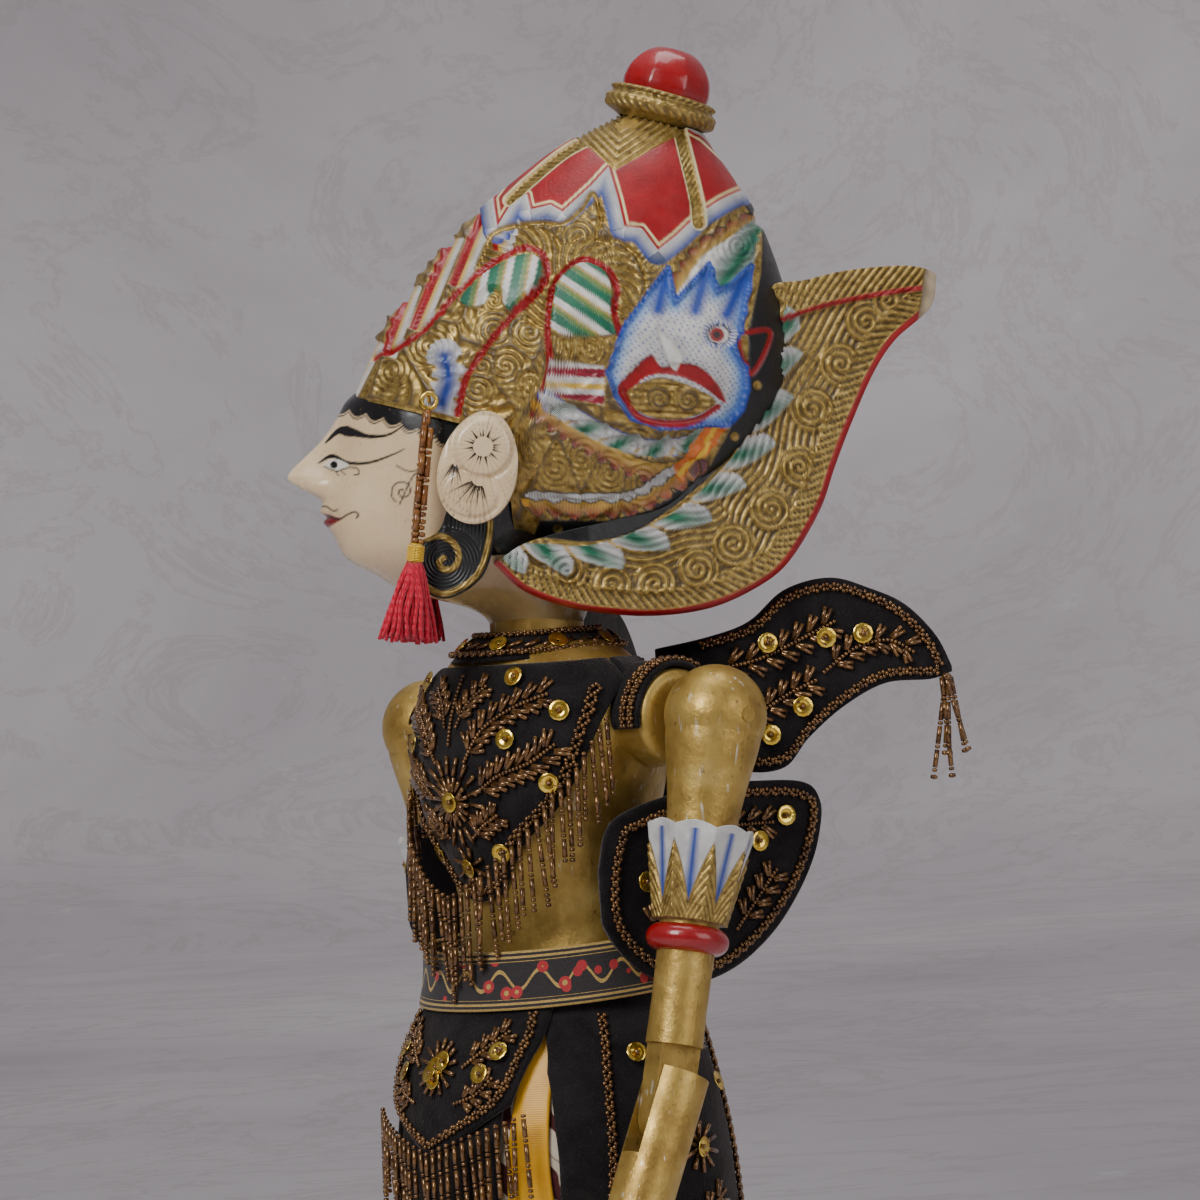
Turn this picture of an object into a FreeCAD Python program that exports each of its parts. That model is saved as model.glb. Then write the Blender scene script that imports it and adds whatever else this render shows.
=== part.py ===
"""Rod puppet with a carved head, string-jointed arms and a velvet costume.

The puppet stands upright on its central rod. +Z is up, the chest faces -Y and the
puppet's left side is +X. The origin is the centre of the rod's foot. Lengths are mm.
The head is built in its own upright frame, whose origin is the neck on the rod's
axis, and is then turned towards the puppet's right and lifted into place.
"""

import FreeCAD
import Part

import math
import os

V = FreeCAD.Vector
X_AXIS, Y_AXIS, Z_AXIS = V(1, 0, 0), V(0, 1, 0), V(0, 0, 1)

# ---- overall heights ------------------------------------------------------------
NECK_Z = 607.0  # the neck's reference level above the rod's foot
HEM_Z = 150.0  # the sarong's hem
HEAD_TURN = -38.0  # the head's turn at rest, in degrees about the rod

# ---- central rod ----------------------------------------------------------------
FOOT_R, FOOT_LENGTH = 7.0, 110.0
GRIP_R = 9.0
SPINDLE_R = 7.0
SPINDLE_TOP = 40.0  # above the neck level, inside the head
BORE_R = SPINDLE_R + 0.9
STOP_R, STOP_HEIGHT, STOP_GAP = 14.0, 14.0, 0.5
PEG_R, PEG_LEVEL, PEG_SHORT = 1.5, -6.0, 0.3

# ---- neck and its socket --------------------------------------------------------
NECK_R = 16.5
NECK_DEPTH = 15.0  # how far the neck reaches below the neck level
SOCKET_R = NECK_R + 1.4
SOCKET_DEPTH = NECK_DEPTH + 2.5

# ---- torso: level, forward offset, half depth, half width -----------------------
TORSO_BOTTOM, TORSO_TOP = -150.0, -4.0
TORSO = [
    (TORSO_BOTTOM, 0.0, 31.0, 42.0),
    (-117.0, 0.0, 31.5, 41.5),
    (-88.0, 0.0, 31.0, 40.0),
    (-55.0, -1.0, 38.0, 48.0),
    (-30.0, 0.0, 37.0, 50.0),
    (-14.0, 0.0, 30.0, 42.0),
    (TORSO_TOP, 0.0, 23.0, 24.0),
]

# ---- arms -----------------------------------------------------------------------
ARM_X = 82.0  # the plane that an arm swings in
SHOULDER_Y, SHOULDER_LEVEL = 11.0, -33.0
STUB_R = 17.0
CAP_R = 17.5
ARM_GAP = 0.6  # between the shoulder stub and the arm's flat face
UPPER_ARM = 138.0  # shoulder pivot to elbow pivot
ARM_R = 9.6
FOREARM_R, WRIST_R = 10.9, 8.2
WRIST_AT = 96.0  # below the elbow pivot
TONGUE_HALF_WIDTH, TONGUE_THICK = 8.4, 8.0
TONGUE_TOP = 25.0  # above the elbow pivot
FORK_TOP, FORK_FLOOR = 16.0, 15.0  # above and below the elbow pivot
FORK_CLEARANCE = 0.35
ELBOW_PIN_R, PIN_CLEARANCE = 1.6, 0.08
CORD_R, CORD_CLEARANCE = 1.1, 0.1
PLUG_R, PLUG_DEPTH = 2.6, 4.5
KNOT_R = 2.1
CUP_TOP, CUP_BOTTOM = 38.0, 71.0  # below the shoulder pivot
CUP_TOP_R, CUP_BOTTOM_R = 19.0, 12.6
CUP_WALL = 2.4
ARMLET_RING_AT, ARMLET_RING_R, ARMLET_RING_THICK = 77.0, 9.6, 4.6
LEFT_REST = (14.3, 25.6)  # forward angle of the upper arm, and of the forearm
RIGHT_REST = (-6.0, 8.0)
PALM_AT = 30.0  # the cord's hole, below the wrist
PALM_HALF = 5.2
ROD_R, ROD_LENGTH, ROD_HEAD = 3.5, 265.0, 6.0
ROD_GAP = 1.0  # between the palm and the arm rod beside it
ROD_X = PALM_HALF + ROD_GAP + ROD_R  # outwards from the arm's plane
HAND_CORD_R, HAND_KNOT_R = 0.9, 1.7
EYE_CLEARANCE, PALM_CLEARANCE = 0.08, 0.15

# ---- cloth ----------------------------------------------------------------------
CLOTH_GAP = 0.4
VELVET = 2.2
SATIN = 1.6
LAYER_GAP = 0.5
BELT_HEIGHT, BELT_THICK, BELT_LEVEL, BELT_TILT = 20.0, 1.8, -117.0, 5.0
CLOTH_UNDER_COLLAR = -10.5
SHOULDER_EASE = 0.5  # between the velvet and the shoulder stubs
SARONG_TOP = -110.0
HIPS = [  # the sarong's outer surface: level, forward offset, half depth, half width
    (-84.0, 0.0, 34.6, 44.2),
    (-106.0, 0.0, 34.2, 44.0),
    (-126.0, -1.0, 35.5, 45.5),
    (-146.0, -4.0, 43.0, 53.0),
    (-172.0, -5.0, 49.0, 58.5),
    (-220.0, -3.0, 51.0, 61.0),
    (-320.0, 0.0, 57.0, 66.0),
    (-400.0, 0.0, 63.0, 71.0),
    (HEM_Z - NECK_Z, 0.0, 67.5, 74.0),
]
WING_SPREAD = 38.0  # degrees between a wing and straight back

# ---- crown ----------------------------------------------------------------------
CROWN_LEAN = 19.0  # degrees, backwards
CROWN_AT = V(0, 15.0, 60.0)  # the middle of the crown's rim, in the head's frame
CROWN = [  # along the crown's own axis: level, offset back, half depth, half width
    (0.0, -11.0, 68.5, 47.0),
    (20.0, -5.5, 71.0, 51.5),
    (43.0, 0.5, 69.5, 52.5),
    (63.0, 2.5, 62.5, 49.0),
    (80.0, 3.0, 52.5, 43.0),
    (93.0, 3.0, 43.3, 36.5),
    (105.0, 2.6, 33.4, 29.0),
    (115.0, 2.0, 22.5, 20.5),
    (121.0, 1.5, 15.5, 15.0),
]
NAPE = [
    (-30.0, 10.0, 12.0, 14.0),
    (-24.0, 13.0, 26.0, 26.0),
    (-12.0, 16.0, 38.0, 37.0),
    (6.0, 18.0, 42.0, 44.0),
]
FINIAL_AT = 121.0
FINIAL_RING = [(13.5, 0.0), (18.0, 2.0), (19.0, 5.0), (18.0, 8.0), (16.5, 9.5)]
FINIAL_BUD = [(15.5, 9.5), (16.0, 13.0), (14.8, 18.0), (11.0, 23.0), (6.5, 25.5)]
FINIAL_HEIGHT = 26.2

# ---- head: level, forward offset, half depth, half width ------------------------
HEAD = [
    (-3.0, 0.0, NECK_R - 2.5, NECK_R - 2.5),
    (8.0, -1.0, 20.0, 18.0),
    (18.0, -14.0, 34.0, 24.0),
    (28.0, -19.0, 44.5, 30.5),
    (42.0, -19.5, 49.5, 34.0),
    (60.0, -18.0, 48.5, 35.5),
    (82.0, -14.0, 47.5, 35.0),
    (104.0, -2.0, 40.0, 30.0),
]
NOSE = [(-50.0, 84.0), (-66.5, 76.0), (-83.0, 60.5), (-81.8, 57.4), (-71.0, 51.5),
        (-50.0, 46.0)]
NOSE_PLAN = [(11.0, -50.0), (2.6, -84.0)]
EAR_AT, EAR_TILT = V(0, -15.5, 57.0), 16.0
EAR_HALF = (13.5, 19.5)
EAR_FROM, EAR_OUT = 38.0, 53.5
CURL_AT, CURL_R = V(0, -29.0, 25.5), 12.5
CURL_FROM, CURL_OUT = 20.0, 37.4
GLUE = 0.05  # the glue line between a lock of hair and the head

# the crest's outline seen from the side: backwards and upwards from the neck
CREST = [
    (-13.0, 24.0), (-4.0, 14.5), (8.0, 8.5), (21.0, 4.8), (40.0, 2.2), (60.0, 3.4),
    (76.6, 9.2), (89.0, 17.6), (101.0, 34.5), (107.5, 49.5), (114.5, 64.5),
    (123.5, 81.5), (132.0, 92.5), (145.0, 103.0), (147.5, 114.0), (143.5, 116.6),
    (134.5, 118.0), (117.0, 117.5), (102.5, 115.0), (89.0, 111.0), (60.0, 96.0),
    (10.0, 60.0),
]
CREST_PLAN = [(40.0, -20.0), (40.0, 20.0), (22.0, 78.0), (8.0, 122.0), (4.5, 150.0)]

HOOK_AT = V(44.0, -31.0, 81.0)
HOOK_R, HOOK_WIRE = 2.6, 0.7
STRAND_LENGTH, STRAND_R = 52.0, 3.2
TASSEL_LEAN = 9.0  # degrees forward at rest
YARN_LENGTH, YARN_TOP_R, YARN_END_R = 27.5, 3.4, 12.0
KNOT_HEIGHT, KNOT_BEAD_R = 5.0, 3.0


# ---- helpers --------------------------------------------------------------------
def oval(level, offset, half_depth, half_width, points=16):
    """A closed oval wire at a level."""
    ring = [
        V(half_width * math.sin(t), offset - half_depth * math.cos(t), level)
        for t in (2 * math.pi * i / points for i in range(points))
    ]
    curve = Part.BSplineCurve()
    curve.interpolate(Points=ring, PeriodicFlag=True)
    return Part.Wire([curve.toShape()])


def skin(levels, grow=0.0):
    """A closed solid through ovals, each grown by the same amount."""
    rings = [oval(z, y, b + grow, a + grow) for z, y, b, a in levels]
    return Part.makeLoft(rings, True, False)


def slice_between(shape, low, high):
    """The part of a shape between two levels."""
    size = 2 * (NECK_Z - HEM_Z)
    return shape.common(Part.makeBox(size, size, high - low, V(-size / 2, -size / 2, low)))


def patch(levels, inside, thick, cutter):
    """Cloth of one thickness that lies on a skin, inside a cutter."""
    return largest(skin(levels, inside + thick).common(cutter).cut(skin(levels, inside)))


def smooth_face(points, plane):
    """A face inside a closed smooth curve. plane turns (u, v) into a point."""
    curve = Part.BSplineCurve()
    curve.interpolate(Points=[plane(u, v) for u, v in points], PeriodicFlag=True)
    return Part.Face(Part.Wire([curve.toShape()]))


def front_prism(points, near, far):
    """A smooth outline of (x, level) points, pushed along Y from near to far."""
    return smooth_face(points, lambda u, v: V(u, near, v)).extrude(V(0, far - near, 0))


def side_prism(points, half):
    """A smooth outline of (y, level) points, pushed along X both ways."""
    face = smooth_face(points, lambda u, v: V(-half, u, v))
    return face.extrude(V(2 * half, 0, 0))


def polygon_prism(points, low, high):
    """A straight-sided outline of (x, y) points, pushed up from low to high."""
    corners = [V(x, y, low) for x, y in points]
    face = Part.Face(Part.makePolygon([*corners, corners[0]]))
    return face.extrude(V(0, 0, high - low))


def lathe(points, base=V(0, 0, 0)):
    """A smooth-sided solid turned about Z from (radius, level) points."""
    side = Part.BSplineCurve()
    side.interpolate(Points=[V(r, 0, z) for r, z in points])
    (_, low), (_, high) = points[0], points[-1]
    ends = [V(0, 0, high), V(0, 0, low)]
    edges = [side.toShape()]
    if points[-1][0] > 0:
        edges.append(Part.makeLine(V(points[-1][0], 0, high), ends[0]))
    edges.append(Part.makeLine(*ends))
    if points[0][0] > 0:
        edges.append(Part.makeLine(ends[1], V(points[0][0], 0, low)))
    solid = Part.Face(Part.Wire(edges)).revolve(V(0, 0, 0), Z_AXIS, 360)
    solid.translate(base)
    return solid


def fin(points, plan):
    """A straight-sided outline of (y, level) points, narrowed to a plan (x, y).

    The plan gives half widths, and the fin is the same on both sides.
    """
    half = max(x for x, _ in plan) + 1.0
    corners = [V(-half, y, z) for y, z in points]
    slab = Part.Face(Part.makePolygon([*corners, corners[0]])).extrude(V(2 * half, 0, 0))
    both = plan + [(-x, y) for x, y in reversed(plan)]
    levels = [z for _, z in points]
    return slab.common(polygon_prism(both, min(levels) - 1.0, max(levels) + 1.0))


def x_rod(radius, start, end, y=0.0, z=0.0):
    """A round bar along X."""
    return Part.makeCylinder(radius, end - start, V(start, y, z), X_AXIS)


def capsule(start, end, start_r, end_r):
    """A tapered bar with round ends."""
    along = end - start
    bar = Part.makeCone(start_r, end_r, along.Length, start, along)
    balls = [Part.makeSphere(start_r, start), Part.makeSphere(end_r, end)]
    return bar.multiFuse(balls)


def mirrored(shape):
    """The same piece on the puppet's other side."""
    return shape.mirror(V(0, 0, 0), X_AXIS)


def joined(shapes):
    """One shape from several, with its seams removed."""
    return shapes[0].multiFuse(shapes[1:]).removeSplitter()


def lifted(shape):
    """A piece built about the neck level, moved up to its place on the rod."""
    moved = shape.copy()
    moved.translate(V(0, 0, NECK_Z))
    return moved


def on_head(shape):
    """A piece built in the head's frame, turned with the head and lifted."""
    moved = shape.copy()
    moved.rotate(V(0, 0, 0), Z_AXIS, HEAD_TURN)
    return lifted(moved)


def on_crown(shape):
    """A piece built along the crown's axis, leaned back onto the head."""
    moved = shape.copy()
    moved.rotate(V(0, 0, 0), X_AXIS, -CROWN_LEAN)
    moved.translate(CROWN_AT)
    return moved


# ---- central rod and its stop ---------------------------------------------------
def control_rod():
    """The foot, the grip below the torso and the thin spindle through it."""
    grip_top = NECK_Z + TORSO_BOTTOM - STOP_GAP - STOP_HEIGHT
    foot = Part.makeCylinder(FOOT_R, FOOT_LENGTH)
    grip = Part.makeCylinder(GRIP_R, grip_top - FOOT_LENGTH, V(0, 0, FOOT_LENGTH))
    spindle = Part.makeCylinder(
        SPINDLE_R, NECK_Z + SPINDLE_TOP - grip_top, V(0, 0, grip_top)
    )
    return joined([foot, grip, spindle])


def torso_stop():
    """The collar on the rod that the torso rests and turns on."""
    top = NECK_Z + TORSO_BOTTOM - STOP_GAP
    profile = [
        (STOP_R - 2.5, top - STOP_HEIGHT),
        (STOP_R, top - STOP_HEIGHT / 2),
        (STOP_R - 2.0, top),
    ]
    return lathe(profile).cut(
        Part.makeCylinder(SPINDLE_R, STOP_HEIGHT, V(0, 0, top - STOP_HEIGHT))
    )


def head_peg():
    """The cross peg that locks the head on the spindle."""
    return x_rod(PEG_R, PEG_SHORT - NECK_R, NECK_R - PEG_SHORT, 0.0, PEG_LEVEL)


# ---- head -----------------------------------------------------------------------
def head_block():
    """The carved face and neck, with a straight round neck for the socket."""
    neck = Part.makeCylinder(NECK_R, NECK_DEPTH + 6.0, V(0, 0, -NECK_DEPTH))
    face = skin(HEAD).fuse(fin(NOSE, NOSE_PLAN))
    block = face.fuse(neck)
    spindle = Part.makeCylinder(
        SPINDLE_R, SPINDLE_TOP + NECK_DEPTH + 1, V(0, 0, -NECK_DEPTH - 1)
    )
    return block.cut(spindle).cut(head_peg())


def crown(head):
    """The carved crown and the hair at the nape, fitted over the head."""
    cap = joined([on_crown(skin(CROWN)), on_crown(skin(NAPE))])
    return largest(cap.cut(head))


def crest(head, crown_solid, beside):
    """The tall carved fin behind the crown: wide at the ears and thin at its tip."""
    outline = side_prism(CREST, 45.0)
    plan = CREST_PLAN + [(-x, y) for x, y in reversed(CREST_PLAN)]
    wedge = outline.common(polygon_prism(plan, -10.0, 140.0))
    for piece in beside:
        wedge = wedge.cut(piece).cut(mirrored(piece))
    return largest(wedge.cut(crown_solid).cut(head))


def largest(shape):
    """The biggest solid of a cut, without crumbs."""
    return max(shape.Solids, key=lambda solid: solid.Volume)


def ear(head, crown_solid):
    """The left ear and its ornament, one thick rounded plate."""
    a, b = EAR_HALF
    rings = []
    for x, grow in ((EAR_FROM, 0.0), (EAR_OUT - 3.5, 0.0), (EAR_OUT, -2.8)):
        wire = oval(0.0, 0.0, a + grow, b + grow)
        wire.rotate(V(0, 0, 0), Y_AXIS, 90)
        wire.translate(V(x, 0, 0))
        rings.append(wire)
    plate = Part.makeLoft(rings, True, False)
    plate.rotate(V(0, 0, 0), X_AXIS, -EAR_TILT)
    plate.translate(EAR_AT)
    return largest(plate.cut(crown_solid).cut(head))


def hair_curl(crown_solid, ear_solid):
    """The left lock of hair: a round curl and the strand that holds it to the nape."""
    depth = CURL_OUT - CURL_FROM
    disc = Part.makeCylinder(CURL_R, depth, V(CURL_FROM, CURL_AT.y, CURL_AT.z), X_AXIS)
    strand = side_prism(
        [(-22.0, 44.0), (-10.0, 42.0), (-11.0, 28.0), (-17.0, 17.0), (-28.0, 14.0),
         (-27.0, 30.0)],
        CURL_OUT - 1.0,
    )
    strand = strand.common(Part.makeBox(CURL_OUT, 60, 60, V(CURL_FROM, -45, 0)))
    lock = joined([disc, strand])
    return largest(lock.cut(crown_solid).cut(skin(HEAD, GLUE)).cut(ear_solid))


def tassel_hook(crown_solid):
    """A brass eye: a short pin into the crown's rim and a ring across it."""
    eye = Part.makeTorus(HOOK_R, HOOK_WIRE, HOOK_AT, X_AXIS)
    pin = x_rod(HOOK_WIRE, 30.0, HOOK_AT.x, HOOK_AT.y, HOOK_AT.z + HOOK_R)
    return largest(joined([eye, pin]).cut(crown_solid))


def hung(shape):
    """A piece of an ear tassel, built straight down from the hook, leaned forward."""
    moved = shape.copy()
    moved.rotate(V(0, 0, 0), X_AXIS, -TASSEL_LEAN)
    moved.translate(HOOK_AT)
    return moved


def tassel_beads():
    """The bead strand's outer shape, with the loop that goes through the hook."""
    top = -HOOK_R - 2.9
    loop_at = V(0, 0, -HOOK_R - HOOK_WIRE)
    loop = Part.makeTorus(2.2, 0.6, loop_at, Y_AXIS)
    strand = lathe(
        [(2.0, -STRAND_LENGTH), (2.6, -STRAND_LENGTH * 0.8),
         (STRAND_R, -STRAND_LENGTH * 0.5), (1.3, top)]
    )
    return hung(joined([strand, loop]))


def tassel_knot():
    """The yellow wrapping between the beads and the yarn."""
    low, high = -STRAND_LENGTH - KNOT_HEIGHT, -STRAND_LENGTH
    middle = (low + high) / 2
    return hung(lathe([(2.4, low), (KNOT_BEAD_R, middle), (2.0, high)]))


def tassel_yarn():
    """The spreading yarn."""
    high = -STRAND_LENGTH - KNOT_HEIGHT
    low = high - YARN_LENGTH
    return hung(
        lathe(
            [(YARN_END_R - 2.5, low), (YARN_END_R, low + 4.0),
             ((YARN_END_R + YARN_TOP_R) / 2 + 1.0, low + YARN_LENGTH * 0.6),
             (YARN_TOP_R, high)]
        )
    )


# ---- torso ----------------------------------------------------------------------
def stub_clearance(grow):
    """Round space about both shoulders, along X."""
    reach = ARM_X
    return x_rod(STUB_R + grow, -reach, reach, SHOULDER_Y, SHOULDER_LEVEL)


def torso_block():
    """The carved trunk with shoulder stubs, neck socket, rod bore and cord hole."""
    stub_end = ARM_X - CAP_R - ARM_GAP
    stubs = x_rod(STUB_R, -stub_end, stub_end, SHOULDER_Y, SHOULDER_LEVEL)
    rounded = stubs.makeFillet(4.0, [e for e in stubs.Edges if e.Curve.TypeId.endswith("Circle")])
    trunk = joined([skin(TORSO), rounded])
    bore = Part.makeCylinder(BORE_R, 200.0, V(0, 0, TORSO_BOTTOM - 10))
    socket = Part.makeCylinder(SOCKET_R, 60.0, V(0, 0, -SOCKET_DEPTH))
    cord_hole = x_rod(CORD_R + 0.3, -100, 100, SHOULDER_Y, SHOULDER_LEVEL)
    return trunk.cut(bore).cut(socket).cut(cord_hole)


def shoulder_cord():
    """The cord through both shoulders, with a knot at each end."""
    end = ARM_X + CAP_R - PLUG_DEPTH - KNOT_R - 0.4
    cord = x_rod(CORD_R, -end, end, SHOULDER_Y, SHOULDER_LEVEL)
    knots = [
        Part.makeSphere(KNOT_R, V(side * end, SHOULDER_Y, SHOULDER_LEVEL))
        for side in (-1, 1)
    ]
    return joined([cord, *knots])


def collar():
    """The stand-up neck band. The neck turns inside it."""
    inner = SOCKET_R + 0.4
    profile = [(inner + 13.0, -9.5), (inner + 7.0, -4.6), (inner + 2.6, -1.2)]
    hole = Part.makeCylinder(inner, 40.0, V(0, 0, -30.0))
    return lathe(profile).cut(hole).cut(skin(TORSO, CLOTH_GAP))


BIB = [
    (0.0, -93.0), (11.0, -90.0), (18.0, -81.0), (24.0, -74.0), (38.0, -62.0),
    (47.0, -48.0), (53.0, -33.0), (56.0, -14.0), (30.0, 2.0), (0.0, 4.0),
]


def both_sides(points):
    """An outline completed by its mirror image. It starts and ends on the middle line."""
    return points + [(-x, z) for x, z in reversed(points[1:-1])]


def velvet_on_torso(outline, near, far):
    """Velvet that lies on the trunk inside an outline, clear of arms and collar."""
    cutter = slice_between(front_prism(outline, near, far), TORSO_BOTTOM, CLOTH_UNDER_COLLAR)
    return patch(TORSO, CLOTH_GAP, VELVET, cutter.cut(stub_clearance(SHOULDER_EASE)))


def bib():
    """The beaded chest piece."""
    return velvet_on_torso(both_sides(BIB), -80.0, -2.0)


def cape():
    """The back piece that the wings are sewn to."""
    outline = [(0.0, -72.0), (20.0, -66.0), (38.0, -52.0), (52.0, -30.0),
               (54.0, -10.0), (30.0, 2.0), (0.0, 4.0)]
    return velvet_on_torso(both_sides(outline), 0.5, 80.0)


def fringe(edge_points, lengths, half_thick):
    """Bead strands hanging from points (x, y, level): one thin bar each."""
    strands = [
        Part.makeCylinder(half_thick, length, V(x, y, z - length))
        for (x, y, z), length in zip(edge_points, lengths)
    ]
    return Part.makeCompound(strands)


def bib_fringe():
    """Strands along the bib's lower edge, hanging clear of the trunk."""
    count, points, lengths = 17, [], []
    for i in range(count):
        t = -1 + 2 * i / (count - 1)
        angle = math.radians(75.0 * t)
        level = -90.0 + 58.0 * abs(t) ** 1.4
        points.append((54.5 * math.sin(angle), -1.0 - 46.0 * math.cos(angle), level))
        lengths.append(35.0 - 8.0 * abs(t))
    return fringe(points, lengths, 1.1)


# a wing lies along a bent line in plan and has a smooth outline on it
WING_PLAN = [(14.0, 42.5), (34.0, 41.5), (50.0, 50.5), (61.5, 72.0), (88.0, 116.0)]
LOBE_PLAN = [(55.4, -16.0), (57.0, 0.0), (57.6, 20.0), (58.8, 40.0), (63.0, 74.0)]
WING = [
    (40.0, -10.0), (60.0, -6.5), (74.0, -2.0), (87.0, 8.0), (103.0, 11.2),
    (117.0, 6.5), (129.0, 0.0), (139.0, -11.5), (144.5, -23.0), (136.0, -26.7),
    (120.0, -27.0), (105.0, -34.0), (92.0, -44.0), (82.0, -54.0), (66.0, -53.0),
    (50.0, -40.0),
]
LOBE = [
    (22.0, -66.0), (50.0, -58.0), (76.0, -57.5), (90.0, -60.0), (94.5, -68.0),
    (90.5, -84.0), (84.0, -97.0), (74.0, -110.0), (61.0, -120.0), (47.0, -124.5),
    (34.0, -122.5), (23.0, -114.0), (15.5, -101.0), (15.0, -85.0),
]


def hanging_cloth(plan, outline, thick):
    """Stiff cloth standing on a bent line in plan, cut to an outline.

    The outline's first value runs along the wing's direction in plan.
    """
    spread = math.radians(WING_SPREAD)
    along = V(math.sin(spread), math.cos(spread), 0)
    out = V(math.cos(spread), -math.sin(spread), 0)
    line = Part.BSplineCurve()
    line.interpolate(Points=[V(x, y, -140.0) for x, y in plan])
    ribbon = line.toShape().extrude(V(0, 0, 170.0))
    wall = ribbon.makeOffsetShape(thick, 0.01, fill=True)
    face = smooth_face(outline, lambda u, v: along * u + V(0, 0, v) - out * 120.0)
    return largest(wall.common(face.extrude(out * 260.0)))


def wing():
    """The left upper wing."""
    cloth = hanging_cloth(WING_PLAN, WING, VELVET)
    return largest(cloth.cut(skin(TORSO, CLOTH_GAP + VELVET + LAYER_GAP)))


def lobe():
    """The left lower lobe, beside the waist."""
    cloth = hanging_cloth(LOBE_PLAN, LOBE, VELVET)
    return largest(cloth.cut(skin(TORSO, CLOTH_GAP + VELVET + LAYER_GAP)))


WING_TIP = (141.5, -24.5)
WING_TASSEL = 36.0


def wing_tip_at():
    """Where the bead tassel hangs from the left wing, about the neck level."""
    spread = math.radians(WING_SPREAD)
    return V(
        math.sin(spread) * WING_TIP[0] + 1.0,
        math.cos(spread) * WING_TIP[0] + 1.0,
        WING_TIP[1] - 4.2,
    )


def wing_tassel():
    """Five bead strands from the wing's tip."""
    top = wing_tip_at()
    knot = Part.makeSphere(1.6, top)
    strands = []
    for i, lean in enumerate((-16.0, -6.0, 0.0, 6.0, 12.0)):
        strand = Part.makeCylinder(1.1, WING_TASSEL - 2.0 * (i % 2), top, V(0, 0, -1))
        strand.rotate(top, V(0.79, -0.61, 0.0), lean)
        strands.append(strand)
    return joined([knot, *strands])


SASH = [(32.5, -108.0), (33.5, -220.0), (33.5, -388.0), (57.0, -388.0), (49.5, -300.0),
        (44.5, -220.0), (39.0, -130.0)]


HIPS_UP = list(reversed(HIPS))
SASH_IN = LAYER_GAP
PANEL_IN = SASH_IN + SATIN + LAYER_GAP
APRON_IN = PANEL_IN + VELVET + LAYER_GAP
BELT_IN = APRON_IN + VELVET + LAYER_GAP
CLOTH_TOP = -112.0
PANEL_SPLIT = 31.0  # a side panel starts this far from the middle, in front
PANEL_BACK = 4.0  # and this far from it, behind


def under_belt(cutter):
    """A cutter for hip cloth, ended at the top edge of the cloth and at the hem."""
    return slice_between(cutter, HEM_Z - NECK_Z, CLOTH_TOP)


def on_hips(outline, inside, thick):
    """Cloth over the front of the sarong, inside an outline."""
    return patch(HIPS_UP, inside, thick, under_belt(front_prism(outline, -90.0, -5.0)))


def sarong():
    """The long batik skirt, a thin open tube."""
    size = 2 * (NECK_Z - HEM_Z)
    low = HEM_Z - NECK_Z
    box = Part.makeBox(size, size, SARONG_TOP - low, V(-size / 2, -size / 2, low))
    return patch(HIPS_UP, -SATIN, SATIN, box)


def lower_apron():
    """The long front panel."""
    outline = both_sides([(0.0, -366.0), (18.0, -346.0), (25.0, -300.0), (27.0, -220.0),
                          (28.0, -150.0), (26.0, -108.0), (0.0, -100.0)])
    return on_hips(outline, PANEL_IN, VELVET)


def upper_apron():
    """The short front shield over the long panel."""
    outline = both_sides([(0.0, -178.0), (16.0, -170.0), (33.0, -160.0), (38.0, -140.0),
                          (34.0, -108.0), (0.0, -98.0)])
    return on_hips(outline, APRON_IN, VELVET)


def apron_fringe():
    """Strands from the short shield's lower edge."""
    points, lengths = [], []
    for i in range(11):
        t = -1 + 2 * i / 10
        angle = math.radians(38.0 * t)
        points.append((66.0 * math.sin(angle), -6.5 - 57.0 * math.cos(angle),
                       -177.0 + 13.0 * abs(t)))
        lengths.append(30.0)
    return fringe(points, lengths, 1.1)


def hip_panel():
    """The left side panel, from beside the sash round to the back."""
    outline = [(-46.0, -104.0), (-44.0, -150.0), (-38.0, -220.0), (-30.0, -280.0),
               (-8.0, -318.0), (14.0, -290.0), (36.0, -230.0), (54.0, -180.0),
               (58.0, -140.0), (48.0, -104.0), (0.0, -96.0)]
    shape = under_belt(side_prism(outline, 120.0))
    back = Part.makeBox(120, 120, 400, V(PANEL_BACK, 0, -400))
    front = Part.makeBox(120, 120, 400, V(PANEL_SPLIT, -120, -400))
    return patch(HIPS_UP, PANEL_IN, VELVET, shape.common(joined([back, front])))


def sash():
    """The left satin strip, between the long panel and the side panel."""
    corners = [V(x, -90.0, z) for x, z in SASH]
    strip = Part.Face(Part.makePolygon([*corners, corners[0]])).extrude(V(0, 84.0, 0))
    return patch(HIPS_UP, SASH_IN, SATIN, under_belt(strip))


def belt():
    """The woven band round the waist, lower in front."""
    band = Part.makeBox(200, 200, BELT_HEIGHT, V(-100, -100, -BELT_HEIGHT / 2))
    band.rotate(V(0, 0, 0), X_AXIS, BELT_TILT)
    band.translate(V(0, 0, BELT_LEVEL + 1.0))
    return patch(HIPS_UP, BELT_IN, BELT_THICK, band)


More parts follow.
